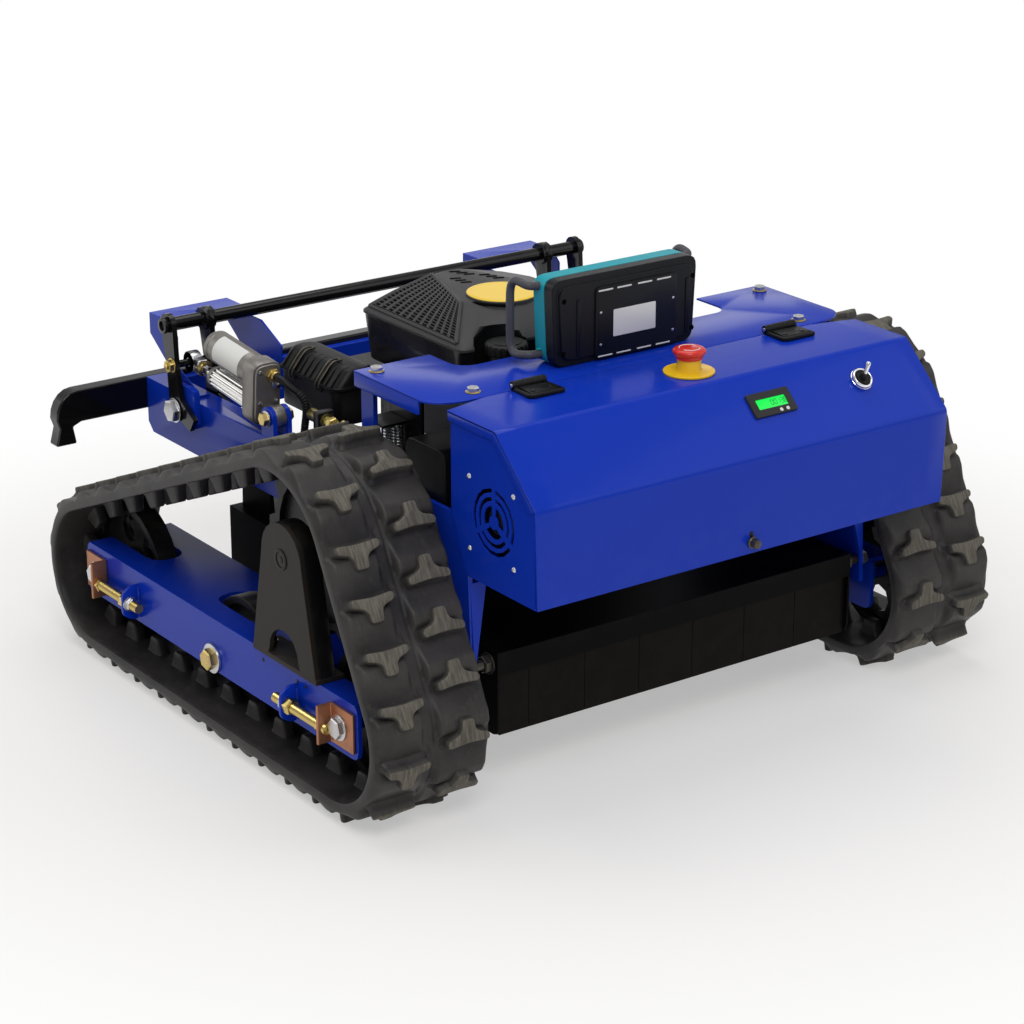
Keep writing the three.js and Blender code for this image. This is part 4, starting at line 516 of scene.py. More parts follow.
def makeCoatGroup():
    # paint: slow drift of tone, fine orange peel, dust that settles on faces that look up
    group, given, result = newGroup("coatFinish", [
        ("Colour", "colour", (0.5, 0.5, 0.5, 1)), ("Dust colour", "colour", (0.42, 0.37, 0.3, 1)), ("Dust", "value", 0.1),
        ("Roughness", "value", 0.3), ("Peel", "value", 0.1), ("Peel scale", "value", 700.0), ("Drift", "value", 0.1),
        ("Wear colour", "colour", (0.3, 0.3, 0.3, 1)), ("Wear", "value", 0.0)],
        [("Colour", "colour"), ("Roughness", "value"), ("Normal", "vector")])
    place = group.nodes.new("ShaderNodeTexCoord").outputs["Object"]
    geometry = group.nodes.new("ShaderNodeNewGeometry")
    slow = noiseAt(group, place, 6.0, 4.0)
    patch = noiseAt(group, place, 38.0, 6.0, 0.65)
    tone = mathNode(group, "MULTIPLY_ADD", mathNode(group, "SUBTRACT", slow, 0.5), given.outputs["Drift"], 1.0)
    scaled = group.nodes.new("ShaderNodeVectorMath")
    scaled.operation = "SCALE"
    group.links.new(given.outputs["Colour"], scaled.inputs[0])
    group.links.new(tone, scaled.inputs["Scale"])
    upward = group.nodes.new("ShaderNodeSeparateXYZ")
    group.links.new(geometry.outputs["Normal"], upward.inputs[0])
    settle = mathNode(group, "MULTIPLY", ramp(group, upward.outputs["Z"], 0.2, 0.95), ramp(group, patch, 0.35, 0.75))
    dust = mathNode(group, "MULTIPLY", settle, given.outputs["Dust"], clamp=True)
    dusty = mixColours(group, dust, scaled.outputs[0], given.outputs["Dust colour"])
    edges = ramp(group, geometry.outputs["Pointiness"], 0.53, 0.6)
    worn = mathNode(group, "MULTIPLY", mathNode(group, "MULTIPLY", edges, ramp(group, patch, 0.42, 0.6)), given.outputs["Wear"], clamp=True)
    group.links.new(mixColours(group, worn, dusty, given.outputs["Wear colour"]), result.inputs["Colour"])
    rough = mathNode(group, "MULTIPLY_ADD", mathNode(group, "SUBTRACT", patch, 0.5), 0.05, given.outputs["Roughness"])
    group.links.new(mathNode(group, "ADD", rough, mathNode(group, "MULTIPLY", dust, 0.5), clamp=True), result.inputs["Roughness"])
    peel = group.nodes.new("ShaderNodeTexNoise")
    group.links.new(place, peel.inputs["Vector"])
    group.links.new(given.outputs["Peel scale"], peel.inputs["Scale"])
    peel.inputs["Detail"].default_value = 2.0
    bump = group.nodes.new("ShaderNodeBump")
    bump.inputs["Distance"].default_value = 0.0004
    group.links.new(given.outputs["Peel"], bump.inputs["Strength"])
    group.links.new(peel.outputs["Fac"], bump.inputs["Height"])
    group.links.new(bump.outputs["Normal"], result.inputs["Normal"])
    return group


def makeMetalGroup():
    # bare metal: fine brushed lines along one axis, stains, and a tone that wanders
    group, given, result = newGroup("metalFinish", [
        ("Colour", "colour", (0.6, 0.6, 0.6, 1)), ("Stain", "colour", (0.3, 0.27, 0.22, 1)), ("Stain amount", "value", 0.2),
        ("Roughness", "value", 0.3), ("Brushed", "value", 0.1), ("Stretch", "vector", (1.0, 1.0, 1.0))],
        [("Colour", "colour"), ("Roughness", "value"), ("Normal", "vector")])
    place = group.nodes.new("ShaderNodeTexCoord").outputs["Object"]
    stretch = group.nodes.new("ShaderNodeVectorMath")
    stretch.operation = "MULTIPLY"
    group.links.new(place, stretch.inputs[0])
    group.links.new(given.outputs["Stretch"], stretch.inputs[1])
    lines = noiseAt(group, stretch.outputs[0], 900.0, 2.0)
    patch = noiseAt(group, place, 55.0, 5.0, 0.65)
    stained = mathNode(group, "MULTIPLY", ramp(group, patch, 0.48, 0.72), given.outputs["Stain amount"], clamp=True)
    group.links.new(mixColours(group, stained, given.outputs["Colour"], given.outputs["Stain"]), result.inputs["Colour"])
    rough = mathNode(group, "MULTIPLY_ADD", mathNode(group, "SUBTRACT", patch, 0.5), 0.25, given.outputs["Roughness"])
    group.links.new(mathNode(group, "MULTIPLY_ADD", mathNode(group, "SUBTRACT", lines, 0.5), given.outputs["Brushed"], rough, clamp=True),
                    result.inputs["Roughness"])
    bump = group.nodes.new("ShaderNodeBump")
    bump.inputs["Distance"].default_value = 0.0003
    group.links.new(given.outputs["Brushed"], bump.inputs["Strength"])
    group.links.new(lines, bump.inputs["Height"])
    group.links.new(bump.outputs["Normal"], result.inputs["Normal"])
    return group


def makeMouldGroup():
    # moulded surface: spark-eroded grain and faint smudges
    group, given, result = newGroup("mouldFinish", [
        ("Colour", "colour", (0.1, 0.1, 0.1, 1)), ("Roughness", "value", 0.45), ("Grain", "value", 0.3), ("Grain scale", "value", 1400.0),
        ("Smudge", "value", 0.1)],
        [("Colour", "colour"), ("Roughness", "value"), ("Normal", "vector")])
    place = group.nodes.new("ShaderNodeTexCoord").outputs["Object"]
    slow = noiseAt(group, place, 22.0, 5.0, 0.6)
    tone = mathNode(group, "MULTIPLY_ADD", mathNode(group, "SUBTRACT", slow, 0.5), given.outputs["Smudge"], 1.0)
    scaled = group.nodes.new("ShaderNodeVectorMath")
    scaled.operation = "SCALE"
    group.links.new(given.outputs["Colour"], scaled.inputs[0])
    group.links.new(tone, scaled.inputs["Scale"])
    group.links.new(scaled.outputs[0], result.inputs["Colour"])
    group.links.new(mathNode(group, "MULTIPLY_ADD", mathNode(group, "SUBTRACT", slow, 0.5), given.outputs["Smudge"], given.outputs["Roughness"], clamp=True),
                    result.inputs["Roughness"])
    grain = group.nodes.new("ShaderNodeTexNoise")
    group.links.new(place, grain.inputs["Vector"])
    group.links.new(given.outputs["Grain scale"], grain.inputs["Scale"])
    grain.inputs["Detail"].default_value = 3.0
    bump = group.nodes.new("ShaderNodeBump")
    bump.inputs["Distance"].default_value = 0.0006
    group.links.new(given.outputs["Grain"], bump.inputs["Strength"])
    group.links.new(grain.outputs["Fac"], bump.inputs["Height"])
    group.links.new(bump.outputs["Normal"], result.inputs["Normal"])
    return group


groups = {"coat": makeCoatGroup(), "metal": makeMetalGroup(), "mould": makeMouldGroup()}


def finishOf(name, kind, given, metallic=0.0, coat=0.0, coatRoughness=0.05, specular=0.2):
    # one material: a shared effect with its own values, and plain constants on the shader
    material = bpy.data.materials.new(name)
    material.use_nodes = True
    tree = material.node_tree
    shader = tree.nodes["Principled BSDF"]
    effect = tree.nodes.new("ShaderNodeGroup")
    effect.node_tree = groups[kind]
    for label, value in given.items():
        effect.inputs[label].default_value = (*value, 1.0) if isinstance(value, tuple) and len(value) == 3 and label != "Stretch" else value
    tree.links.new(effect.outputs["Colour"], shader.inputs["Base Color"])
    tree.links.new(effect.outputs["Roughness"], shader.inputs["Roughness"])
    tree.links.new(effect.outputs["Normal"], shader.inputs["Normal"])
    shader.inputs["Metallic"].default_value = metallic
    shader.inputs["Coat Weight"].default_value = coat
    shader.inputs["Coat Roughness"].default_value = coatRoughness
    shader.inputs["Specular IOR Level"].default_value = specular
    return material


def makeRubber():
    # dark rubber; the attribute "worn" marks the lands that rub on the ground, streaked across the belt
    material = bpy.data.materials.new("track_rubber_finish")
    material.use_nodes = True
    tree = material.node_tree
    shader = tree.nodes["Principled BSDF"]
    place = tree.nodes.new("ShaderNodeTexCoord").outputs["Object"]
    worn = tree.nodes.new("ShaderNodeAttribute")
    worn.attribute_name = "worn"
    streak = tree.nodes.new("ShaderNodeMapping")
    streak.inputs["Scale"].default_value = (1.0, 0.1, 0.1)
    tree.links.new(place, streak.inputs["Vector"])
    fine = noiseAt(tree, streak.outputs["Vector"], 420.0, 4.0, 0.7)
    patch = noiseAt(tree, place, 70.0, 6.0, 0.7)
    slow = noiseAt(tree, place, 14.0, 4.0, 0.6)
    dark = mixColours(tree, ramp(tree, slow, 0.3, 0.7), (0.02, 0.0185, 0.0186), (0.042, 0.0385, 0.0375))
    dusty = mixColours(tree, mathNode(tree, "MULTIPLY", ramp(tree, patch, 0.5, 0.8), 0.5), dark, (0.075, 0.067, 0.06))
    land = mixColours(tree, ramp(tree, fine, 0.3, 0.72), (0.07, 0.064, 0.052), (0.165, 0.152, 0.124))
    edge = mathNode(tree, "MULTIPLY", worn.outputs["Fac"], ramp(tree, patch, 0.22, 0.42, 0.55, 1.0), clamp=True)
    tree.links.new(mixColours(tree, edge, dusty, land), shader.inputs["Base Color"])
    tree.links.new(mathNode(tree, "MULTIPLY_ADD", worn.outputs["Fac"], 0.2, mathNode(tree, "MULTIPLY_ADD", patch, 0.2, 0.38)), shader.inputs["Roughness"])
    bump = tree.nodes.new("ShaderNodeBump")
    bump.inputs["Strength"].default_value = 0.35
    bump.inputs["Distance"].default_value = 0.0006
    tree.links.new(mathNode(tree, "ADD", mathNode(tree, "MULTIPLY", fine, 0.5), patch), bump.inputs["Height"])
    tree.links.new(bump.outputs["Normal"], shader.inputs["Normal"])
    shader.inputs["Specular IOR Level"].default_value = 0.3
    return material


paint = {
    "blue": finishOf("blue_coat_finish", "coat", {"Colour": (0.0032, 0.033, 0.43), "Roughness": 0.22, "Peel": 0.14, "Peel scale": 420.0,
                     "Drift": 0.03, "Dust": 0.006, "Wear": 0.03, "Wear colour": (0.10, 0.16, 0.5)}, coat=0.07, coatRoughness=0.06, specular=0.14),
    "black": finishOf("black_coat_finish", "coat", {"Colour": (0.006, 0.006, 0.0065), "Roughness": 0.34, "Peel": 0.15, "Dust": 0.05, "Wear": 0.03,
                      "Wear colour": (0.12, 0.12, 0.12)}, coat=0.1, coatRoughness=0.12),
    "gloss": finishOf("black_gloss_finish", "coat", {"Colour": (0.004, 0.004, 0.0045), "Roughness": 0.18, "Peel": 0.15, "Dust": 0.03, "Wear": 0.03,
                      "Wear colour": (0.1, 0.1, 0.1)}, coat=0.3, coatRoughness=0.05),
    "deck": finishOf("deck_coat_finish", "coat", {"Colour": (0.0028, 0.0027, 0.0028), "Roughness": 0.4, "Peel": 0.25, "Dust": 0.01,
                     "Dust colour": (0.12, 0.1, 0.085), "Wear": 0.03, "Wear colour": (0.13, 0.12, 0.11)}, specular=0.05),
    "flap": finishOf("flap_steel_finish", "coat", {"Colour": (0.0065, 0.0052, 0.0042), "Roughness": 0.42, "Peel": 0.25, "Drift": 0.12, "Dust": 0.02,
                     "Dust colour": (0.14, 0.11, 0.09), "Wear": 0.03, "Wear colour": (0.16, 0.13, 0.11)}, specular=0.06),
    "brown": finishOf("brown_plate_finish", "coat", {"Colour": (0.024, 0.0195, 0.0165), "Roughness": 0.38, "Peel": 0.25, "Drift": 0.15, "Wear": 0.03,
                      "Wear colour": (0.15, 0.12, 0.1)}, specular=0.1),
    "cast": finishOf("cast_wheel_finish", "coat", {"Colour": (0.008, 0.008, 0.0085), "Roughness": 0.42, "Peel": 0.5, "Peel scale": 260.0,
                     "Wear": 0.03, "Wear colour": (0.3, 0.29, 0.28)}),
    "motorBlack": finishOf("motor_black_finish", "coat", {"Colour": (0.006, 0.006, 0.0065), "Roughness": 0.36, "Peel": 0.3}),
}
metal = {
    "zinc": finishOf("zinc_steel_finish", "metal", {"Colour": (0.62, 0.62, 0.63), "Roughness": 0.3, "Brushed": 0.12}, metallic=1.0),
    "chrome": finishOf("chrome_steel_finish", "metal", {"Colour": (0.78, 0.78, 0.8), "Roughness": 0.1, "Brushed": 0.03, "Stain amount": 0.05}, metallic=1.0),
    "gold": finishOf("yellow_zinc_finish", "metal", {"Colour": (0.62, 0.47, 0.16), "Stain": (0.5, 0.28, 0.3), "Stain amount": 0.45, "Roughness": 0.3,
                     "Brushed": 0.1}, metallic=1.0),
    "olive": finishOf("olive_zinc_finish", "metal", {"Colour": (0.42, 0.36, 0.12), "Stain": (0.3, 0.32, 0.2), "Stain amount": 0.6, "Roughness": 0.33,
                      "Brushed": 0.1}, metallic=1.0),
    "copper": finishOf("copper_bracket_finish", "metal", {"Colour": (0.44, 0.20, 0.11), "Stain": (0.25, 0.12, 0.07), "Stain amount": 0.6, "Roughness": 0.42,
                       "Brushed": 0.1}, metallic=0.8),
    "alloy": finishOf("cast_alloy_finish", "metal", {"Colour": (0.30, 0.30, 0.31), "Roughness": 0.42, "Brushed": 0.5, "Stain amount": 0.4}, metallic=0.85),
    "ribbed": finishOf("bright_tube_finish", "metal", {"Colour": (0.74, 0.73, 0.71), "Roughness": 0.26, "Brushed": 0.12, "Stretch": (1.0, 0.06, 1.0)},
                       metallic=1.0),
    "casing": finishOf("gear_case_finish", "metal", {"Colour": (0.24, 0.225, 0.21), "Roughness": 0.4, "Brushed": 0.4, "Stain amount": 0.2}, metallic=0.7),
    "engine": finishOf("engine_case_finish", "metal", {"Colour": (0.07, 0.07, 0.073), "Roughness": 0.46, "Brushed": 0.3, "Stain amount": 0.06}, metallic=0.5),
    "dark": finishOf("dark_knob_finish", "metal", {"Colour": (0.09, 0.08, 0.065), "Roughness": 0.38, "Brushed": 0.15}, metallic=0.8),
    "blade": finishOf("blade_steel_finish", "metal", {"Colour": (0.4, 0.39, 0.38), "Roughness": 0.36, "Brushed": 0.3, "Stretch": (0.1, 1.0, 1.0),
                      "Stain amount": 0.5}, metallic=1.0),
}
plastic = {
    "cowl": finishOf("cowl_plastic_finish", "mould", {"Colour": (0.042, 0.041, 0.043), "Roughness": 0.42, "Grain": 0.45, "Grain scale": 900.0, "Smudge": 0.2}),
    # near-black matt finish that paints the shade inside holes, slots and grooves and behind the grille
    "hollowShade": finishOf("painted_hollow_shade", "mould", {"Colour": (0.002, 0.002, 0.002), "Roughness": 0.85, "Grain": 0.2, "Smudge": 0.1}, specular=0.03),
    "skirt": finishOf("cowl_skirt_finish", "mould", {"Colour": (0.006, 0.006, 0.009), "Roughness": 0.2, "Grain": 0.12, "Smudge": 0.1}, coat=0.2),
    "case": finishOf("case_plastic_finish", "mould", {"Colour": (0.006, 0.006, 0.0065), "Roughness": 0.36, "Grain": 0.3}),
    "teal": finishOf("teal_plastic_finish", "mould", {"Colour": (0.012, 0.33, 0.40), "Roughness": 0.42, "Grain": 0.15, "Smudge": 0.08}),
    "panel": finishOf("panel_plastic_finish", "mould", {"Colour": (0.0055, 0.006, 0.0085), "Roughness": 0.36, "Grain": 0.25, "Smudge": 0.15}),
    "yellow": finishOf("yellow_plastic_finish", "mould", {"Colour": (0.86, 0.53, 0.012), "Roughness": 0.3, "Grain": 0.08, "Smudge": 0.05}, coat=0.3),
    "red": finishOf("red_plastic_finish", "mould", {"Colour": (0.66, 0.022, 0.014), "Roughness": 0.28, "Grain": 0.05, "Smudge": 0.05}, coat=0.5),
    "hinge": finishOf("hinge_cast_finish", "mould", {"Colour": (0.006, 0.006, 0.0065), "Roughness": 0.4, "Grain": 0.55, "Grain scale": 700.0}),
    "cable": finishOf("cable_sheath_finish", "mould", {"Colour": (0.006, 0.006, 0.0065), "Roughness": 0.4, "Grain": 0.1}),
    "meter": finishOf("meter_bezel_finish", "mould", {"Colour": (0.028, 0.028, 0.030), "Roughness": 0.4, "Grain": 0.2, "Smudge": 0.1}),
    "white": finishOf("white_print_finish", "mould", {"Colour": (0.72, 0.72, 0.70), "Roughness": 0.4, "Grain": 0.05, "Smudge": 0.05}),
    "digit": finishOf("lcd_digit_finish", "mould", {"Colour": (0.004, 0.13, 0.02), "Roughness": 0.5, "Grain": 0.0, "Smudge": 0.0}),
    "bow": finishOf("bow_rod_finish", "mould", {"Colour": (0.075, 0.075, 0.085), "Roughness": 0.34, "Grain": 0.2, "Smudge": 0.1}),
    "badge": finishOf("bare_badge_finish", "mould", {"Colour": (0.90, 0.60, 0.035), "Roughness": 0.34, "Grain": 0.1, "Smudge": 0.08}, coat=0.3),
    "mesh": finishOf("mesh_black_finish", "mould", {"Colour": (0.02, 0.02, 0.022), "Roughness": 0.5, "Grain": 0.1}),
}
rubber = makeRubber()


def makeGlow(name, colour, strength):
    # display window whose brightness is painted light: mostly its own emission, with a tone that wanders with noise
    material = bpy.data.materials.new(name)
    material.use_nodes = True
    tree = material.node_tree
    shader = tree.nodes["Principled BSDF"]
    place = tree.nodes.new("ShaderNodeTexCoord").outputs["Object"]
    tone = mathNode(tree, "MULTIPLY_ADD", noiseAt(tree, place, 60.0, 2.0), 0.2, 0.9)
    scaled = tree.nodes.new("ShaderNodeVectorMath")
    scaled.operation = "SCALE"
    scaled.inputs[0].default_value = colour
    tree.links.new(tone, scaled.inputs["Scale"])
    tree.links.new(scaled.outputs[0], shader.inputs["Emission Color"])
    shader.inputs["Base Color"].default_value = (*colour, 1.0)
    shader.inputs["Emission Strength"].default_value = strength
    shader.inputs["Roughness"].default_value = 0.25
    return material


lcdPaintedGlow = makeGlow("lcd_window_painted_glow", (0.0, 0.62, 0.06), 0.7)
print("materials made:", len(bpy.data.materials))
# CAD nodes whose shape is right: rounded edges and their own finish
plainNodes = {
    "side_frame_left": (paint["blue"], 0.9), "side_frame_right": (paint["blue"], 0.9), "rear_cross_member": (paint["blue"], 1.2),
    "rear_bumper": (paint["gloss"], 1.6), "top_plate": (paint["blue"], 0.7), "hood_side_left": (paint["blue"], 0.5),
    "hood_side_right": (paint["blue"], 0.5), "hood_tray": (paint["blue"], 0.6), "battery_case": (plastic["case"], 1.5),
    "motor_controller": (metal["alloy"], 0.8), "track_frame_left": (paint["blue"], 0.8), "track_frame_right": (paint["blue"], 0.8),
    "bearing_plate_left": (paint["brown"], 1.2), "bearing_plate_right": (paint["brown"], 1.2), "drive_motor_left": (paint["motorBlack"], 1.5),
    "drive_motor_right": (paint["motorBlack"], 1.5), "rear_cover_left": (paint["blue"], 0.7), "rear_cover_right": (paint["blue"], 0.7),
    "front_rod": (metal["zinc"], 0.6), "actuator_body": (metal["casing"], 1.2), "hood_lid": (paint["blue"], 0.7),
    "hinge_leaf_left": (plastic["hinge"], 1.0), "hinge_leaf_right": (plastic["hinge"], 1.0), "stop_base": (plastic["yellow"], 0.8),
    "hour_meter": (plastic["panel"], 0.8), "key_switch": (metal["chrome"], 0.8), "stop_button": (plastic["red"], 1.2),
    "key_lever": (metal["chrome"], 0.6), "lid_latch": (plastic["case"], 0.8), "lift_bar": (paint["gloss"], 1.0),
    "lift_lever_outer_left": (paint["gloss"], 1.0), "lift_lever_outer_right": (paint["gloss"], 1.0), "actuator_rod": (metal["chrome"], 0.5),
    "deck_shell": (paint["deck"], 1.2), "engine_block": (metal["alloy"], 1.5), "engine_cowl": (plastic["cowl"], 3.0),
    "air_filter_box": (plastic["case"], 2.0), "cutting_blade": (metal["blade"], 0.8), "fuel_cap": (plastic["case"], 1.2),
    "handset_shell": (plastic["teal"], 1.5), "handset_back": (plastic["panel"], 1.5), "joystick_left": (plastic["panel"], 0.6),
    "joystick_right": (plastic["panel"], 0.6), "track_belt_left": (rubber, 0.8), "track_belt_right": (rubber, 0.8),
}
for wheelName in ("drive_sprocket", "idler_front", "idler_rear", "bottom_roller"):
    for sideName in ("left", "right"):
        plainNodes[wheelName + "_" + sideName] = (paint["cast"], 1.2)
for flapNumber in range(1, 8):
    plainNodes["front_flap_" + str(flapNumber)] = (paint["flap"], 0.5)


flapSeam = 0.5  # open seam between two flaps, the CAD's is wider


def widerFlap(points):
    # x moved out from the flap's middle by one share, so that the seam narrows
    low, high = points[:, 0].min(), points[:, 0].max()
    points[:, 0] = (low + high) / 2 + (points[:, 0] - (low + high) / 2) * (high - low + 3.0 - flapSeam) / (high - low)
    return points


def dressPlainNodes(replaced):
    for nodeName, (look, edge) in plainNodes.items():
        if nodeName not in replaced:
            softened(nodeName, look, edge, reshaped=widerFlap if nodeName.startswith("front_flap") else None)


handled = []

# Track belts: one endless rubber band each, with T lugs outside and guide lugs inside

beltSettings = {
    "centre": 384.0, "width": 152.0, "carcass": 13.0, "pitch": 60.0, "links": 31, "lugHigh": 15.0, "rowOffset": 39.0,
    "guideHigh": 20.0, "guideWide": 15.0, "guideFoot": 30.0, "guideTip": 19.0, "guideInset": 18.0,
    "wheels": [(172.0, 112.0, 84.0), (742.904, 112.0, 84.0), (285.0, 277.0, 108.0915)],
    "stepsPerLink": 20, "pillow": 8.0, "seam": 2.0,
}


def beltStretches(s):
    # arcs round the wheels and straights between them, anticlockwise in the y-z plane, at the pitch line
    wheelPlaces = np.array(s["wheels"])
    following = np.roll(wheelPlaces, -1, 0)
    gap = following[:, :2] - wheelPlaces[:, :2]
    reach = np.hypot(gap[:, 0], gap[:, 1])
    normal = np.arctan2(gap[:, 1], gap[:, 0]) - np.arccos((wheelPlaces[:, 2] - following[:, 2]) / reach)
    return wheelPlaces, normal


def beltLine(s, distance):
    # place on the pitch line and outward angle, for an array of distances along the loop
    wheelPlaces, normal = beltStretches(s)
    order = [0, 1, 2]
    previous = np.roll(normal, 1)
    half = s["carcass"] / 2
    turn = np.mod(normal - previous, 2 * np.pi)
    arcLength = (wheelPlaces[:, 2] + half) * turn
    direction = np.stack([np.cos(normal), np.sin(normal)], 1)
    startPoint = wheelPlaces[:, :2] + (wheelPlaces[:, 2:] + half) * direction
    endPoint = np.roll(wheelPlaces, -1, 0)[:, :2] + (np.roll(wheelPlaces, -1, 0)[:, 2:] + half) * direction
    straight = np.linalg.norm(endPoint - startPoint, axis=1)
    lengths = np.stack([arcLength, straight], 1).ravel()
    starts = np.concatenate([[0], np.cumsum(lengths)])
    d = np.mod(np.asarray(distance, float), starts[-1])
    piece = np.clip(np.searchsorted(starts, d, side="right") - 1, 0, 5)
    wheelIndex, onStraight = piece // 2, piece % 2
    share = (d - starts[piece]) / lengths[piece]
    angle = np.where(onStraight == 1, normal[wheelIndex], previous[wheelIndex] + turn[wheelIndex] * share)
    onArc = wheelPlaces[wheelIndex, :2] + (wheelPlaces[wheelIndex, 2:] + half) * np.stack([np.cos(angle), np.sin(angle)], -1)
    onLine = startPoint[wheelIndex] + (endPoint - startPoint)[wheelIndex] * share[..., None]
    return np.where((onStraight == 1)[..., None], onLine, onArc), angle, arcLength[0], starts[-1]


def beltLength(s):
    return beltLine(s, np.array([0.0]))[3]


def onBelt(s, distance, along, across, rise):
    # point at `along` beside a station of the loop, `rise` out from the inner face, on the flat plane of that station
    place, angle = beltLine(s, distance)[:2]
    outward = np.stack([np.cos(angle), np.sin(angle)], -1)
    forward = np.stack([np.sin(angle), -np.cos(angle)], -1)
    yz = place + (rise - s["carcass"] / 2)[..., None] * outward + along[..., None] * forward
    return np.concatenate([np.broadcast_to(across, yz.shape[:-1])[..., None], yz], -1)


def closedCurve(points, perSpan=3):
    # closed Catmull-Rom curve through the points
    p = np.asarray(points, float)
    a, b, c, d = np.roll(p, 1, 0), p, np.roll(p, -1, 0), np.roll(p, -2, 0)
    f = np.linspace(0, 1, perSpan, endpoint=False)[None, :, None]
    a, b, c, d = a[:, None], b[:, None], c[:, None], d[:, None]
    return (0.5 * (2 * b + (c - a) * f + (2 * a - 5 * b + 4 * c - d) * f ** 2 + (3 * b - 3 * c + d - a) * f ** 3)).reshape(-1, 2)


lugShape = {
    "half": [(0, -12.9), (9, -13.2), (18, -14.0), (24.2, -14.4), (26.9, -12.6), (27.0, -9.0), (25.2, -6.2), (20.5, -4.6), (14.5, -2.6),
             (10.2, 0.8), (8.4, 5.2), (7.9, 10.2), (6.6, 13.7), (3.4, 14.5)],
    "rings": [(-4.0, 1.30), (0.4, 1.20), (2.2, 1.115), (6.0, 1.07), (13.4, 1.025), (14.6, 1.0), (15.0, 0.965)],
}


def lugOutline():
    half = np.array(lugShape["half"])
    other = half[1:][::-1] * np.array([-1.0, 1.0])
    return closedCurve(np.concatenate([half, other]), 2)


def ringScale(outline, share):
    # grows by a share of the lug's mean half size, so the wall stands off evenly all round
    grown = inset(outline, -(share - 1.0) * 20.0)
    return grown


def beltLugs(s, shift, across, flip):
    outline = lugOutline()
    rings = np.stack([np.concatenate([ringScale(outline, share), np.full((len(outline), 1), high)], 1) for high, share in lugShape["rings"]])
    count = rings.shape[1]
    stations = shift + s["pitch"] * np.arange(s["links"])
    sign = -1.0 if flip else 1.0
    local = rings[None]
    points = onBelt(s, stations[:, None, None] + np.zeros(rings.shape[:2])[None], sign * local[..., 1] + np.zeros((s["links"], 1, 1)),
                    across + sign * local[..., 0] + np.zeros((s["links"], 1, 1)), s["carcass"] + local[..., 2] + np.zeros((s["links"], 1, 1)))
    worn = np.broadcast_to(np.clip((rings[..., 2] - 12.6) / 2.0, 0, 1)[None], points.shape[:3])
    cell = gridFaces(rings.shape[0], count, False, True)
    perLug = rings.shape[0] * count
    offset = (np.arange(s["links"]) * perLug)[:, None, None]
    walls = (cell[None] + offset).reshape(-1, 4)
    lands = ((rings.shape[0] - 1) * count + np.arange(count))[None] + offset[:, 0]
    return (points.reshape(-1, 3), [walls, lands]), worn.reshape(-1)


def beltGuides(s, shift, across):
    # tapered block with rounded edges and a flared foot
    half, foot, tip, high = s["guideWide"] / 2, s["guideFoot"] / 2, s["guideTip"] / 2, s["guideHigh"]
    levels = [(3.0, foot + 2.5, half + 2.2), (-0.4, foot + 1.2, half + 1.2), (-3.0, foot - 0.6, half), (-high * 0.6, (foot + tip) / 2 - 0.6, half - 0.4),
              (-high + 2.4, tip + 0.3, half - 0.8), (-high + 0.6, tip - 0.9, half - 1.6), (-high, tip - 2.6, half - 3.0)]
    corner = roundCorners(rectangle(-1, 1, -1, 1), 0.36, 2)
    rings = np.stack([np.stack([corner[:, 0] * wide, corner[:, 1] * longHalf, np.full(len(corner), level)], 1) for level, longHalf, wide in levels])
    stations = shift + s["pitch"] * np.arange(s["links"])
    spread = np.zeros((s["links"], 1, 1))
    points = onBelt(s, stations[:, None, None] + np.zeros(rings.shape[:2])[None], rings[None, ..., 1] + spread,
                    across + rings[None, ..., 0] + spread, rings[None, ..., 2] + spread)
    count = rings.shape[1]
    offset = (np.arange(s["links"]) * rings.shape[0] * count)[:, None, None]
    walls = (gridFaces(rings.shape[0], count, False, True)[None] + offset).reshape(-1, 4)
    tips = ((rings.shape[0] - 1) * count + np.arange(count))[None] + offset[:, 0]
    return points.reshape(-1, 3), [walls, tips]


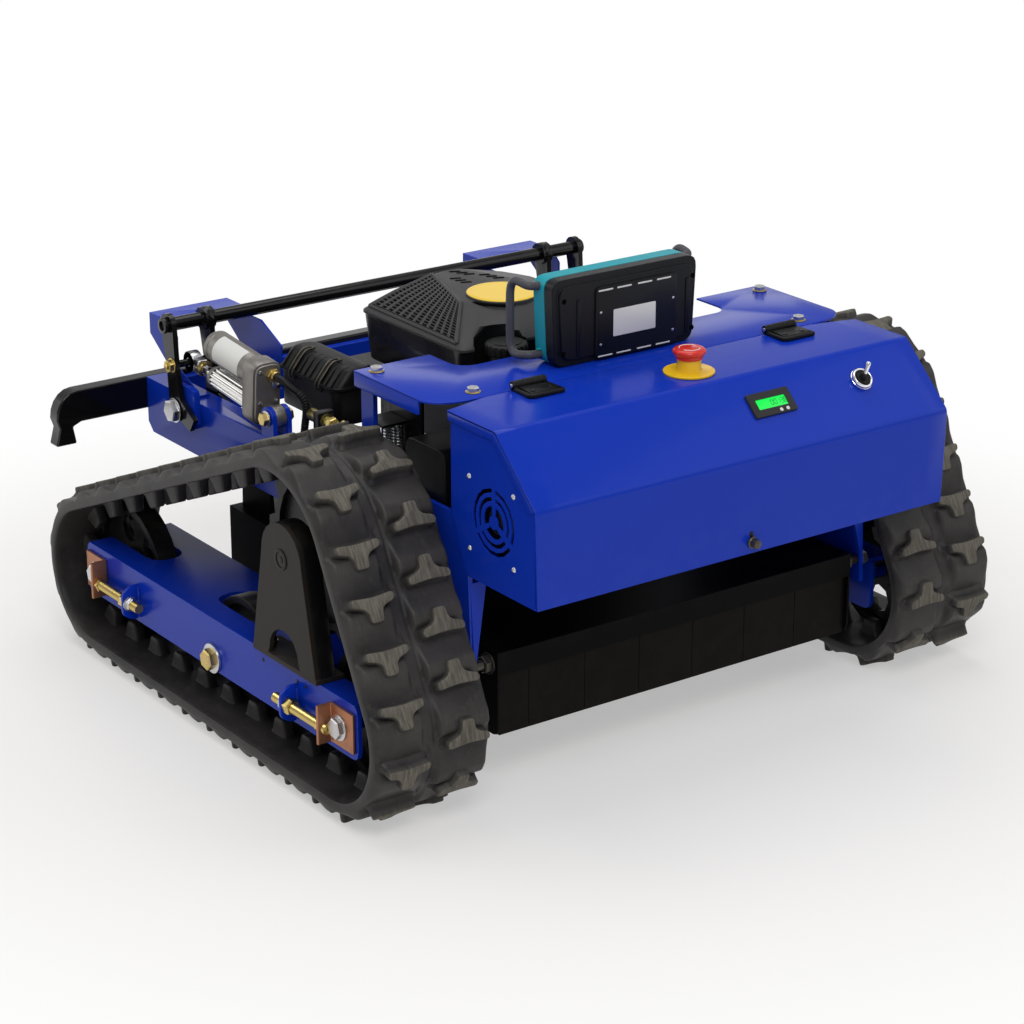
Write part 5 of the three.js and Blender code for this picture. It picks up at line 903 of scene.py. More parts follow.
def beltBand(s, firstRow):
    # closed band: across the belt the section runs round a rounded rectangle; its outer face swells under each lug
    half, carcass = s["width"] / 2, s["carcass"]
    total = beltLength(s)
    steps = s["links"] * s["stepsPerLink"]
    station = np.arange(steps) * total / steps
    outX = np.linspace(half - 3.0, -half + 3.0, 73)
    innX = np.linspace(-half + 2.0, half - 2.0, 21)
    left = [(-half + 1.0, carcass - 0.9), (-half, carcass - 3.2), (-half, 3.0), (-half + 0.7, 0.7)]
    right = [(half - 0.7, 0.7), (half, 3.0), (half, carcass - 3.2), (half - 1.0, carcass - 0.9)]
    section = np.concatenate([np.stack([outX, np.full(73, carcass)], 1), left, np.stack([innX, np.zeros(21)], 1), right])
    outer = np.zeros(len(section))
    outer[:73] = 1.0
    x = section[None, :, 0]
    pitch = s["pitch"]

    def near(shift):
        # distance along the loop to the nearest lug of a row
        return np.mod(station[:, None] - firstRow - shift + pitch / 2, pitch) - pitch / 2

    def swell(t, inner, outerEdge):
        # a wave along the loop: it falls away under the bar, then climbs back to the next bar; it fades at the row's borders
        fall = np.clip((t + 4.0) / 11.0, 0, 1)
        climb = np.clip((t - 14.0) / 32.0, 0, 1)
        wave = np.where(t < 14.0, 1 - fall * fall * (3 - 2 * fall), climb ** 1.4)
        side = np.clip((inner - x) / 5.0, 0, 1) * np.clip((x - outerEdge) / 9.0 + 0.3, 0.3, 1)
        return wave * side * side * (3 - 2 * side)

    # the outer row ends 13 mm before the middle, the inner row starts at the seam
    outerT = np.mod(firstRow - station[:, None] + 15.0, pitch) - 15.0
    innerT = np.mod(station[:, None] - firstRow - pitch / 2 + 15.0, pitch) - 15.0
    cushion = np.where(x < -4.0, swell(outerT, -12.0, -half), 0.0)
    mirrored = np.clip((x - 4.5) / 5.0, 0, 1) * np.clip((half - x) / 9.0 + 0.3, 0.3, 1)
    fall, climb = np.clip((innerT + 4.0) / 11.0, 0, 1), np.clip((innerT - 14.0) / 32.0, 0, 1)
    innerWave = np.where(innerT < 14.0, 1 - fall * fall * (3 - 2 * fall), climb ** 1.4)
    cushion = np.maximum(cushion, innerWave * mirrored * mirrored * (3 - 2 * mirrored))
    seam = np.exp(-((x - 3.0) / 1.2) ** 2)
    slitU = near(-16.0)
    slit = np.exp(-((x + 4.5 - slitU * 0.3) / 1.9) ** 2 - (slitU / 9.0) ** 4)
    edgeDip = np.clip((np.abs(x) - 64.0) / 9.0, 0, 1) ** 2
    height = outer * (s["pillow"] * cushion - s["seam"] * seam - 3.0 * np.clip(slit, 0, 1) - 1.2 * edgeDip * (1 - cushion))
    wave = outer * 0.0
    centreSlot = (1 - outer) * np.exp(-(x / 9.0) ** 2) * np.exp(-(near(pitch / 2) / 9.0) ** 6) * 2.2 * (section[None, :, 1] < 0.01)
    rise = section[None, :, 1] + height + wave + centreSlot
    points = onBelt(s, np.broadcast_to(station[:, None], rise.shape), np.zeros(rise.shape), x, rise)
    worn = np.clip(0.14 * cushion ** 3 * outer, 0, 1)
    return (points.reshape(-1, 3), [gridFaces(steps, len(section), True, True)]), worn.reshape(-1)


def makeBelt(side):
    s = beltSettings
    firstRow = beltLine(s, np.array([0.0]))[2]
    band, bandWorn = beltBand(s, firstRow)
    outerRow, outerWorn = beltLugs(s, firstRow, -s["rowOffset"], True)
    innerRow, innerWorn = beltLugs(s, firstRow + s["pitch"] / 2, s["rowOffset"], False)
    guideAt = s["guideInset"] + s["guideWide"] / 2
    guides = [beltGuides(s, firstRow, -guideAt), beltGuides(s, firstRow, guideAt)]
    parts = [band, outerRow, innerRow] + guides
    masks = [bandWorn, outerWorn, innerWorn] + [np.zeros(len(g[0])) for g in guides]
    parts = [(points + np.array([-s["centre"], 0, 0]), faces) for points, faces in parts]
    if side == "right":
        parts = mirrorX(parts)
    makePiece("track_belt_rubber_" + side, "frame", rubber, parts, ("track_belt_" + side,), 50.0, masks)


for beltSide in ("left", "right"):
    makeBelt(beltSide)
    handled.append("track_belt_" + beltSide)
print("belts made, loop length", round(float(beltLength(beltSettings)), 2))

# Hood lid: one folded sheet with rounded bends, and a flange down each side of its top and slope
lidSettings = {
    "half": 300.0, "frontHalf": 296.6, "profile": [(0.0, 273.0), (0.0, 387.0), (75.0, 458.0), (179.0, 458.0)], "bend": 5.0, "sheet": 2.0,
    "flange": 12.0, "cornerCut": 14.0, "cornerRun": 60.0, "edge": 0.7,
}


def lidLine(s, inner):
    # profile of the outer face, or of the inner face one sheet inside it, with each bend turned into a curve
    points = np.array(s["profile"])
    if inner:
        points = np.vstack([[inner, points[0, 1]], inset(np.vstack([points, [points[-1, 0], 0.0]]), inner)[1:3], [points[-1, 0], points[-1, 1] - inner]])
    soft = roundCorners(points, s["bend"] - 0.6 * inner, 6)
    return np.vstack([points[0], soft[7:21], points[-1]])


def makeLid(s):
    e = s["edge"]
    outer, inner = lidLine(s, 0.0), lidLine(s, s["sheet"])
    loop = np.vstack([outer, inner[::-1]])
    columns = np.array([-s["half"], -s["half"] + e, -s["half"] + s["cornerRun"] / 2, -s["half"] + s["cornerRun"], -s["half"] + s["cornerRun"] + e])
    columns = np.concatenate([columns, -columns[::-1]])
    rings = np.stack([np.broadcast_to(columns[:, None], (len(columns), len(loop))), np.broadcast_to(loop[None, :, 0], (len(columns), len(loop))),
                      np.broadcast_to(loop[None, :, 1], (len(columns), len(loop)))], -1).copy()
    # the rear edge runs back towards the front over the last stretch on both sides
    cut = np.clip((np.abs(columns) - s["half"] + s["cornerRun"]) / s["cornerRun"], 0, 1) * s["cornerCut"]
    atRear = loop[:, 0] > s["profile"][-1][0] - 1e-6
    rings[:, atRear, 1] -= cut[:, None]
    # the upright front is a little narrower than the slope above it
    low = loop[:, 1] < s["profile"][1][1] - s["bend"]
    side = np.sign(columns)[:, None] * np.minimum(np.abs(columns)[:, None], np.where(low, s["frontHalf"], s["half"])[None])
    rings[:, :, 0] = side
    # the outer rim is eased at both ends
    rings[0, :len(outer), 1:] += (rings[0, ::-1, 1:][:len(outer)] - rings[0, :len(outer), 1:]) * e / 2 / s["sheet"]
    rings[-1, :len(outer), 1:] += (rings[-1, ::-1, 1:][:len(outer)] - rings[-1, :len(outer), 1:]) * e / 2 / s["sheet"]
    sheet = looped(rings)
    flanges = []
    rise = s["flange"]
    top = np.array(s["profile"])
    bottom = inset(np.vstack([top, [top[-1, 0], 0.0]]), rise)
    line = roundCorners(np.array([top[1], top[2], (top[3, 0] - s["cornerCut"], top[3, 1]), (top[3, 0] - s["cornerCut"], top[3, 1] - rise),
                                  (bottom[2, 0], bottom[2, 1]), (bottom[1, 0], bottom[1, 1])]), 2.2, 4)
    for side in (-1.0, 1.0):
        ends = sorted([side * s["half"], side * (s["half"] - s["sheet"])])
        flanges.append(slab(inset(line, 0.15), ends[0], ends[1], "x", e))
    return [sheet] + flanges


hoodLid = makePiece("hood_lid_finished", bodyOf("hood_lid"), paint["blue"], makeLid(lidSettings), ("hood_lid",), sharp=30.0)
handled.append("hood_lid")
print("hood lid made")


def slopeFrame(across, along, out):
    # point on the hood's slope: across the machine, down the slope, and square out of it
    fall = math.atan2(71.0, 75.0)
    return np.array([across, 75.0 - along * math.cos(fall) - out * math.sin(fall), 458.0 - along * math.sin(fall) + out * math.cos(fall)])


slopeOut = slopeFrame(0.0, 0.0, 1.0) - slopeFrame(0.0, 0.0, 0.0)
slopeDown = slopeFrame(0.0, 1.0, 0.0) - slopeFrame(0.0, 0.0, 0.0)


def ontoSlope(parts, across, along):
    # parts drawn as (right, up the slope, out) are laid on the slope
    base = slopeFrame(across, along, 0.0)
    return [(base + p[:, :1] * np.array([1.0, 0.0, 0.0]) - p[:, 1:2] * slopeDown + p[:, 2:3] * slopeOut, f) for p, f in parts]


# Stop switch: yellow ring plate and collar, red mushroom head with a turned groove
stopSettings = {"x": 2.0, "y": 117.0, "foot": 458.3, "plate": 30.0, "thick": 2.6, "collar": 14.0, "collarTop": 476.3, "skirtFoot": 475.3,
                "head": [(0, 0.0), (7.2, 0.0), (7.2, 6.5), (14.6, 6.5), (14.6, 0.0), (15.6, 0.0), (16.1, 0.5), (16.3, 2.2), (16.2, 3.8), (16.6, 4.8),
                         (17.8, 5.5), (18.9, 6.3), (19.4, 7.4), (19.4, 8.9), (18.9, 10.1), (17.6, 11.3), (15.6, 12.1), (13.2, 12.45), (12.6, 12.2),
                         (12.0, 12.05), (11.4, 12.25), (10.8, 12.6), (7.0, 12.85), (3.0, 12.98), (0, 13.0)]}


def makeStop(s):
    centre = (s["x"], s["y"], s["foot"])
    collarHigh = s["collarTop"] - s["foot"]
    plate = turned([(0, 0), (s["plate"] - 0.5, 0), (s["plate"], 0.4), (s["plate"], s["thick"] - 0.5), (s["plate"] - 0.6, s["thick"]),
                    (s["collar"] + 2.2, s["thick"]), (s["collar"] + 1.0, s["thick"] + 0.4), (s["collar"] + 0.4, s["thick"] + 1.4), (s["collar"], s["thick"] + 3.2),
                    (s["collar"], collarHigh - 0.8), (s["collar"] - 0.7, collarHigh), (7.6, collarHigh), (7.6, collarHigh - 8.0), (0, collarHigh - 8.0)],
                   centre, (0, 0, 1), 72)
    makePiece("stop_base_finished", bodyOf("stop_base"), plastic["yellow"], [plate], ("stop_base",), sharp=32.0)
    head = turned(s["head"], (s["x"], s["y"], s["skirtFoot"]), (0, 0, 1), 72)
    makePiece("stop_button_finished", bodyOf("stop_button"), plastic["red"], [head], ("stop_button",), sharp=40.0)
    # pale turning mark let into the head: two open arcs
    marks = []
    for start in (0.35, 0.35 + math.pi):
        turn = start + np.linspace(0, 2.35, 26)
        ring = np.stack([s["x"] + np.cos(turn) * 11.9, s["y"] + np.sin(turn) * 11.9, np.full(26, s["skirtFoot"] + 12.25)], 1)
        marks.append(tube(ring, 0.55, 8))
    makePiece("stop_mark_finished", bodyOf("stop_button"), plastic["white"], marks)
    handled.extend(["stop_base", "stop_button"])


makeStop(stopSettings)
print("stop switch made")

# Hour meter: flat bezel with a window that glows with painted light, seven-bar digits and two small round keys
meterSettings = {"x": 63.0, "along": 43.0, "half": (31.0, 15.5), "thick": 3.6, "window": (21.5, 6.5), "windowDeep": 0.9,
                 "digits": "00136", "digitHigh": 6.6, "digitWide": 3.5, "digitStep": 5.0, "digitStart": 0.5, "buttons": [(7.5, -11.6), (17.0, -11.6)]}
barsOfDigit = {"0": "abcdef", "1": "bc", "3": "abgcd", "6": "afgedc"}


def digitBars(s):
    # every bar of every digit as one flat lozenge
    w, h = s["digitWide"] / 2, s["digitHigh"] / 2
    bars = {"a": (0, h, 0), "d": (0, -h, 0), "g": (0, 0, 0), "b": (w, h / 2, 1), "c": (w, -h / 2, 1), "e": (-w, -h / 2, 1), "f": (-w, h / 2, 1)}
    parts = []
    for place, digit in enumerate(s["digits"]):
        for name in barsOfDigit[digit]:
            x, y, upright = bars[name]
            long, thin = (h / 2 - 0.3, 0.32) if upright else (w - 0.3, 0.32)
            shape = np.array([[-long, 0], [-long + thin, -thin], [long - thin, -thin], [long, 0], [long - thin, thin], [-long + thin, thin]])
            if upright:
                shape = shape[:, ::-1] * np.array([-1.0, 1.0])
            shape = shape + np.array([s["digitStart"] + place * s["digitStep"] + x, y])
            parts.append(slab(shape, s["thick"] - s["windowDeep"], s["thick"] - s["windowDeep"] + 0.16, "z", 0.04))
    return parts


def makeMeter(s):
    low = 0.3
    a, b = s["half"]
    wx, wy = s["window"]
    top = s["thick"]
    outline = roundCorners(rectangle(-a, a, -b, b), 2.5, 4)
    count = len(outline)
    window = roundCorners(rectangle(-wx, wx, -wy, wy), 1.0, 4)
    rings = np.stack([lifted(outline, low, "z"), lifted(outline, top - 0.9, "z"), lifted(inset(outline, 0.3), top - 0.25, "z"), lifted(inset(outline, 1.0), top, "z"),
                      lifted(inset(window, -0.35), top, "z"), lifted(window, top - 0.25, "z"), lifted(window, top - s["windowDeep"] - 0.1, "z")])
    bezel = looped(rings)
    makePiece("hour_meter_finished", bodyOf("hour_meter"), plastic["meter"], ontoSlope([bezel], s["x"], s["along"]), ("hour_meter",), sharp=30.0)
    glass = slab(inset(window, 0.05), top - s["windowDeep"] - 0.4, top - s["windowDeep"], "z", 0.05)
    # the window's green brightness is painted in as emission
    makePiece("hour_meter_window", bodyOf("hour_meter"), lcdPaintedGlow, ontoSlope([glass], s["x"], s["along"]))
    makePiece("hour_meter_digits", bodyOf("hour_meter"), plastic["digit"], ontoSlope(digitBars(s), s["x"], s["along"]))
    keys = [disc(2.3, top - 0.3, top + 0.5, (x, y, 0.0), (0, 0, 1), 28, 0.3) for x, y in s["buttons"]]
    makePiece("hour_meter_keys", bodyOf("hour_meter"), plastic["white"], ontoSlope(keys, s["x"], s["along"]))
    handled.append("hour_meter")


makeMeter(meterSettings)
print("hour meter made")

# Key switch: bright ring round a black face, and a straight steel lever that stands out at a slant
keySettings = {"x": 201.0, "along": 41.0, "ring": 14.0, "high": 7.3, "face": 10.2}


def makeKey(s):
    low = 0.3
    ring = turned([(s["face"], low), (s["ring"] - 0.3, low), (s["ring"], low + 0.4), (s["ring"], 3.0), (s["ring"] - 0.5, 3.4), (s["ring"] - 0.6, 5.2),
                   (s["ring"] - 1.1, 6.6), (s["ring"] - 2.0, s["high"]), (s["face"] + 1.0, s["high"]), (s["face"] + 0.3, 6.8), (s["face"], 6.0)], (0, 0, 0), (0, 0, 1), 64)
    ring = (ring[0], [gridFaces(11, 64, True, True)])
    makePiece("key_switch_finished", bodyOf("key_switch"), metal["chrome"], ontoSlope([ring], s["x"], s["along"]), ("key_switch",), sharp=35.0)
    face = turned([(0, low), (s["face"] + 0.1, low), (s["face"] + 0.1, 5.4), (s["face"] - 0.6, 5.7), (7.6, 5.4), (7.2, 6.2), (6.4, 6.7), (4.4, 6.9), (0, 6.9)], (0, 0, 0), (0, 0, 1), 48)
    makePiece("key_face_finished", bodyOf("key_switch"), plastic["case"], ontoSlope([face], s["x"], s["along"]), sharp=35.0)
    boss = turned([(0, 7.0), (4.6, 7.0), (4.9, 7.5), (4.3, 12.0), (3.6, 13.2), (0, 13.4)], (0, 0, 0), (0, 0, 1), 32)
    makePiece("key_boss_finished", bodyOf("key_lever"), plastic["case"], ontoSlope([boss], s["x"], s["along"]), ("key_lever",), sharp=35.0)
    way = np.array([0.34, 0.62, 0.71])
    way /= np.linalg.norm(way)
    base = np.array([0.0, 0.0, 9.5])
    path = base + way * np.linspace(0, 17.5, 9)[:, None]
    radius = np.array([2.0, 2.4, 2.6, 2.7, 2.8, 2.9, 3.0, 2.9, 2.2])
    lever = tube(path, radius, 20)
    makePiece("key_lever_finished", bodyOf("key_lever"), metal["chrome"], ontoSlope([lever], s["x"], s["along"]), sharp=40.0)
    handled.extend(["key_switch", "key_lever"])


makeKey(keySettings)
print("key switch made")

# Lid hinges: cast leaf with a rolled edge, ribbed barrel, bright pin ends and two screws
hingeSettings = {"x": (-180.0, 190.0), "seam": 179.0, "z": 464.0, "long": 46.0, "barrel": 5.4, "leafWide": 50.0, "leafLong": 39.0, "leafFoot": 458.3, "leafTop": 463.2}


def makeHinge(s, x, node):
    half, front = s["leafWide"] / 2, s["seam"] - s["leafLong"]
    rear = s["seam"] - s["barrel"] * 0.75
    outline = roundCorners(np.array([[x - half, front + 4.0], [x - half + 6.0, front], [x + half - 2.0, front], [x + half, front + 3.0], [x + s["long"] / 2, rear], [x - s["long"] / 2, rear]]), 2.0, 4)
    leaf = slab(outline, s["leafFoot"], s["leafTop"], "z", 1.3)
    raised = slab(inset(outline, 5.0), s["leafTop"] - 0.5, s["leafTop"] + 0.5, "z", 0.5)
    # the barrel's radius dips between its knuckles and swells a little on each
    h = np.linspace(0, s["long"], 93)
    beat = np.abs(np.sin(np.pi * h / s["long"] * 6))
    r = s["barrel"] * (0.9 + 0.1 * np.minimum(beat * 3.0, 1.0))
    knuckles = turned(np.vstack([[[0, 0]], np.stack([r, h], 1), [[0, s["long"]]]]), (x - s["long"] / 2, s["seam"], s["z"]), (1, 0, 0), 28)
    web = slab(np.array([[rear - 3.0, s["leafFoot"]], [s["seam"] - 0.3, s["leafFoot"]], [s["seam"], s["z"]], [rear - 3.0, s["leafTop"]]]), x - s["long"] / 2, x + s["long"] / 2, "x", 0.4)
    body = bodyOf(node)
    makePiece(node + "_finished", body, plastic["hinge"], [leaf, raised, knuckles, web], (node,), sharp=35.0)
    pins = [disc(2.6, 0.0, 1.0, (x - s["long"] / 2 - 0.7, s["seam"], s["z"]), (1, 0, 0), 24, 0.4),
            disc(2.6, 0.0, 1.0, (x + s["long"] / 2 - 0.3, s["seam"], s["z"]), (1, 0, 0), 24, 0.4)]
    makePiece(node + "_pin", body, metal["zinc"], pins)
    screws = [disc(3.2, 0.0, 0.9, (x + across, front + 12.0, s["leafTop"] + 0.3), (0, 0, 1), 24, 0.5) for across in (-13.0, 13.0)]
    makePiece(node + "_screws", body, plastic["case"], screws)
    handled.append(node)


makeHinge(hingeSettings, hingeSettings["x"][0], "hinge_leaf_left")
makeHinge(hingeSettings, hingeSettings["x"][1], "hinge_leaf_right")
print("hinges made")

# Lid latch: turned knob standing over its keyhole
latchSettings = {"x": 3.7, "z": 286.5, "radius": 7.0, "proud": 12.0}


def makeLatch(s):
    centre = (s["x"], -0.3, s["z"])
    knob = turned([(0, 0), (6.6, 0), (7.0, 0.5), (7.0, 2.0), (6.3, 2.6), (5.6, 3.4), (5.4, 9.6), (5.0, 10.8), (4.0, 11.5), (0, 11.7)], centre, (0, -1, 0), 40)
    makePiece("lid_latch_finished", bodyOf("lid_latch"), metal["dark"], [knob], ("lid_latch",), sharp=35.0)
    # the keyhole is a thin black disc on the lid: painted shade of the opening
    hole = turned([(0, 0), (3.2, 0), (3.4, 0.2), (3.2, 0.35), (0, 0.35)], (s["x"] - 1.0, 0.0, s["z"] + 9.6), (0, -1, 0), 28)
    makePiece("latch_keyhole_shade", bodyOf("hood_lid"), plastic["case"], [hole])
    handled.append("lid_latch")


makeLatch(latchSettings)

# Side panels: rounded edges, round-head screws round the fan grille, the fan behind its slots
panelScrews = {"places": [(127.0, 392.0), (44.0, 392.0), (126.5, 307.6), (43.0, 308.0), (152.0, 321.0), (157.0, 411.0)], "radius": 3.4, "high": 2.4}


def domeHead(centre, axis, radius, high):
    # round screw head: a cap whose height falls with the square of the radius, with a small socket in it
    r = np.linspace(1, 0.36, 9)
    profile = [(0, -0.4), (radius, -0.4), (radius, 0.1)] + [(radius * a, high * (1 - a * a) + 0.1) for a in r[1:]] + [(radius * 0.34, high * 0.35), (0, high * 0.3)]
    return turned(profile, centre, axis, 24)


grilleSettings = {"oldCentre": (74.5, 353.6), "centre": (81.0, 351.0), "reach": 41.0, "oldRadii": [0.0, 11.5, 16.5, 21.5, 26.5, 31.5, 36.5, 42.0],
                  "radii": [0.0, 8.0, 19.0, 24.5, 29.1, 34.0, 38.8, 44.0]}


def onGrille(points):
    # rings of slots re-spaced: new place = new centre + direction * (old distance mapped piece by piece)
    apart = points[:, 1:] - np.array(grilleSettings["oldCentre"])
    distance = np.maximum(np.linalg.norm(apart, axis=1), 1e-6)
    near = distance < grilleSettings["reach"]
    mapped = np.interp(distance, grilleSettings["oldRadii"], grilleSettings["radii"])
    points[near, 1:] = (np.array(grilleSettings["centre"]) + apart / distance[:, None] * mapped[:, None])[near]
    return points


def makeSidePanels(s):
    for node, side in (("hood_side_left", -1.0), ("hood_side_right", 1.0)):
        softened(node, paint["blue"], 0.4, reshaped=onGrille)
        face = 297.5
        heads = [domeHead((side * face, y, z), (side, 0, 0), s["radius"], s["high"]) for y, z in s["places"][:4]]
        makePiece(node + "_screws", bodyOf(node), metal["zinc"], heads, sharp=40.0)
        handled.append(node)


makeSidePanels(panelScrews)
fanSettings = {"centre": (81.0, 351.0), "radius": 37.0, "blades": 7, "hub": 15.0}


def makeFans(s):
    y, z = s["centre"]
    for side in (-1.0, 1.0):
        x = side * 289.0
        back = disc(41.0, 0.0, 2.0, (x, y, z), (-side, 0, 0), 40, 0.5)
        hub = disc(s["hub"], 0.0, 5.0, (x, y, z), (side, 0, 0), 32, 1.0)
        makePiece("side_fan_" + ("left" if side < 0 else "right"), bodyOf("hood_side_left"), plastic["case"], [back, hub])


makeFans(fanSettings)
print("side panels made")

# Track frames: the CAD's welded box, with brackets, tension screws and bolts of their own
trackFrameSettings = {
    "wall": 440.0, "wide": 22.0, "screwZ": 106.0, "screwOut": 12.0, "rod": 6.0, "nutAcross": 17.3, "nutLong": 11.5,
    "ends": [(189.0, -1.0), (725.9, 1.0)], "axles": [172.0, 742.904], "axleZ": 112.0, "bracketLong": 44.0, "bracketLow": 88.0, "bracketHigh": 135.6,
    "bend": 4.0, "lugGap": 79.0, "lugThick": 5.0, "stub": 28.0, "roller": (457.452, 95.0), "plugs": [(342.0, 133.0), (266.0, 133.0), (248.0, 133.0)],
}


def makeTrackFrames(s):
    w, x = s["wall"], s["wall"] + s["screwOut"]
    blueParts, copperParts, goldParts, zincParts, darkParts = [], [], [], [], []
    for flange, way in s["ends"]:
        lug = flange - way * s["lugGap"]
        face = np.array([(w - 1.0, 84.0), (w + 10.0, 84.0), (w + s["wide"], 92.0), (w + s["wide"], 119.0), (w + 10.0, 129.0), (w - 1.0, 129.0)])
        ends = sorted([lug, lug - way * s["lugThick"]])
        blueParts.append(slab(roundCorners(face, 5.0, 5), ends[0], ends[1], "y", 0.8))
        # weld along both sides of the lug: a bead whose thickness ripples
        z = np.linspace(86.0, 127.0, 60)
        for edge in ends:
            path = np.stack([np.full(60, w), np.full(60, edge), z], 1)
            blueParts.append(tube(path, 2.2 + 0.35 * np.sin(z * 2.4), 10))
        t = s["bend"]
        shape = np.array([(w, flange - way * t), (w + s["wide"], flange - way * t), (w + s["wide"], flange), (w + t, flange),
                          (w + t, flange + way * s["bracketLong"]), (w, flange + way * s["bracketLong"])])
        copperParts.append(slab(roundCorners(shape, 1.6, 4), s["bracketLow"], s["bracketHigh"], "z", 0.8))
        rodEnds = sorted([flange + way * 5.0, lug - way * s["stub"]])
        goldParts.append(screwThread((x, rodEnds[0], s["screwZ"]), (0, 1, 0), s["rod"], rodEnds[1] - rodEnds[0], 1.75, 20))
        goldParts.append(hexHead((x, lug, s["screwZ"]), (0, way, 0), s["nutAcross"], s["nutLong"], 0.3))
        goldParts.append(hexHead((x, flange - way * t, s["screwZ"]), (0, -way, 0), s["nutAcross"] - 2.0, 7.0, 0.1))
        zincParts.append(washer((x, lug - way * s["lugThick"], s["screwZ"]), (0, -way, 0), 9.9, 1.6))
        zincParts.append(hexHead((x, lug - way * (s["lugThick"] + 1.6), s["screwZ"]), (0, -way, 0), s["nutAcross"] - 3.0, 6.0, 0.5))
    for y in s["axles"]:
        zincParts.append(washer((w + s["bend"], y, s["axleZ"]), (1, 0, 0), 15.5, 2.2))
        zincParts.append(hexHead((w + s["bend"] + 2.2, y, s["axleZ"]), (1, 0, 0), 22.0, 6.8, 0.2))
    y, z = s["roller"]
    zincParts.append(washer((w, y, z), (1, 0, 0), 18.5, 4.2))
    goldParts.append(hexHead((w + 4.2, y, z), (1, 0, 0), 23.0, 8.8, 0.25))
    for y, z in s["plugs"]:
        darkParts.append(disc(2.4, 0, 0.5, (w, y, z), (1, 0, 0), 16, 0.2))
    for side in ("left", "right"):
        softened("track_frame_" + side, paint["blue"], 0.8, dropped=lambda corners: np.abs(corners[:, 0]).max() > w + 0.05)
    makePair("track_frame_lugs", "track_frame", paint["blue"], blueParts)
    makePair("axle_brackets", "track_frame", metal["copper"], copperParts)
    makePair("tension_screws", "track_frame", metal["gold"], goldParts, 30.0)
    makePair("axle_bolts", "track_frame", metal["zinc"], zincParts, 30.0)
    makePair("frame_plugs", "track_frame", plastic["case"], darkParts)


makeTrackFrames(trackFrameSettings)
handled += ["track_frame_left", "track_frame_right"]
print("track frames made")

# Bearing plates: the CAD's plate, a folded rim behind it painted black as the shade it lies in, and the cast ring round
# its shaft
bearingSettings = {"centre": (285.0, 277.0), "cap": 43.0, "footHalf": 69.0, "foot": 150.0, "rim": 4.5, "back": 419.0, "face": 440.0, "plate": 6.0,
                   "ring": 12.5, "ringWide": 3.0, "ringHigh": 1.2}


def makeBearingPlates(s):
    y, z = s["centre"]
    # the legs touch the cap's circle where the line from the foot is a tangent
    touch = math.acos(s["cap"] / math.hypot(s["footHalf"], z - s["foot"])) - math.atan2(z - s["foot"], s["footHalf"])
    sweep = np.linspace(math.pi - touch, touch, 31)

    def line(inner):
        arcPoints = np.stack([y + (s["cap"] - inner) * np.cos(sweep), z + (s["cap"] - inner) * np.sin(sweep)], 1)
        return np.vstack([[y - s["footHalf"] + 1.12 * inner, s["foot"]], arcPoints, [y + s["footHalf"] - 1.12 * inner, s["foot"]]])

    band = np.vstack([line(0.2), line(s["rim"])[::-1]])
    rim = slab(band, s["back"], s["face"] - 0.05, "x", 0.9)
    out = s["face"] + s["plate"]
    ring = disc(s["ring"], 0, s["ringHigh"], (out, y, z), (1, 0, 0), 40, 0.5, s["ring"] - s["ringWide"])
    boss = disc(4.5, 0, 0.8, (out, y, z), (1, 0, 0), 24, 0.4)
    for side in ("left", "right"):
        softened("bearing_plate_" + side, paint["brown"], 1.3, 3)
    # the folded rim is the brown plate's own side; its black is painted shade
    makePair("bearing_rim_shade", "bearing_plate", paint["black"], [rim])
    makePair("bearing_ring", "bearing_plate", paint["brown"], [ring, boss])
    nuts = [part for footY in (y - s["footHalf"] + 9.0, y + s["footHalf"] - 9.0)
            for part in (washer((426.0, footY, s["foot"] + 2.4), (0, 0, 1), 8.0, 1.4), hexHead((426.0, footY, s["foot"] + 3.8), (0, 0, 1), 12.0, 5.5, 0.3))]
    makePair("bearing_nuts", "bearing_plate", metal["gold"], nuts, 30.0)


makeBearingPlates(bearingSettings)
handled += ["bearing_plate_left", "bearing_plate_right"]
print("bearing plates made")

# Front rod: a dark shank through the deck's ears, with plated heads
rodSettings = {"y": 135.0, "z": 158.0, "radius": 6.0, "inside": 295.2, "end": 302.5, "deck": 266.0}


def makeFrontRod(s):
    shank = disc(s["radius"], -s["inside"], s["inside"], (0.0, s["y"], s["z"]), (1, 0, 0), 28, 0.6)
    makePiece("front_rod_shank", bodyOf("front_rod"), metal["dark"], [shank], ("front_rod",))
    heads, stops = [], []
    for way in (-1.0, 1.0):
        heads.append(hexHead((way * s["inside"], s["y"], s["z"]), (way, 0, 0), 18.5, s["end"] - s["inside"], 0.2))
        stops.append(washer((way * (s["deck"] + 0.4), s["y"], s["z"]), (way, 0, 0), 13.0, 2.0, s["radius"]))
        stops.append(hexHead((way * (s["deck"] + 2.4), s["y"], s["z"]), (way, 0, 0), 18.5, 8.0, 0.45))
    makePiece("front_rod_heads", bodyOf("front_rod"), metal["zinc"], heads, sharp=30.0)
    makePiece("front_rod_stops", bodyOf("front_rod"), metal["dark"], stops, sharp=30.0)


makeFrontRod(rodSettings)
handled.append("front_rod")
print("front rod made")

# Lift arms: bright fastenings over the CAD's levers and bar
liftSettings = {"bar": (758.0, 414.0), "barEnd": 325.0, "barRadius": 9.0, "pivot": (742.6, 306.0), "pivotOut": 322.6, "eye": (747.0, 364.0), "eyeOut": 321.6,
                "collar": (257.0, 271.0), "collarRadius": 15.0}


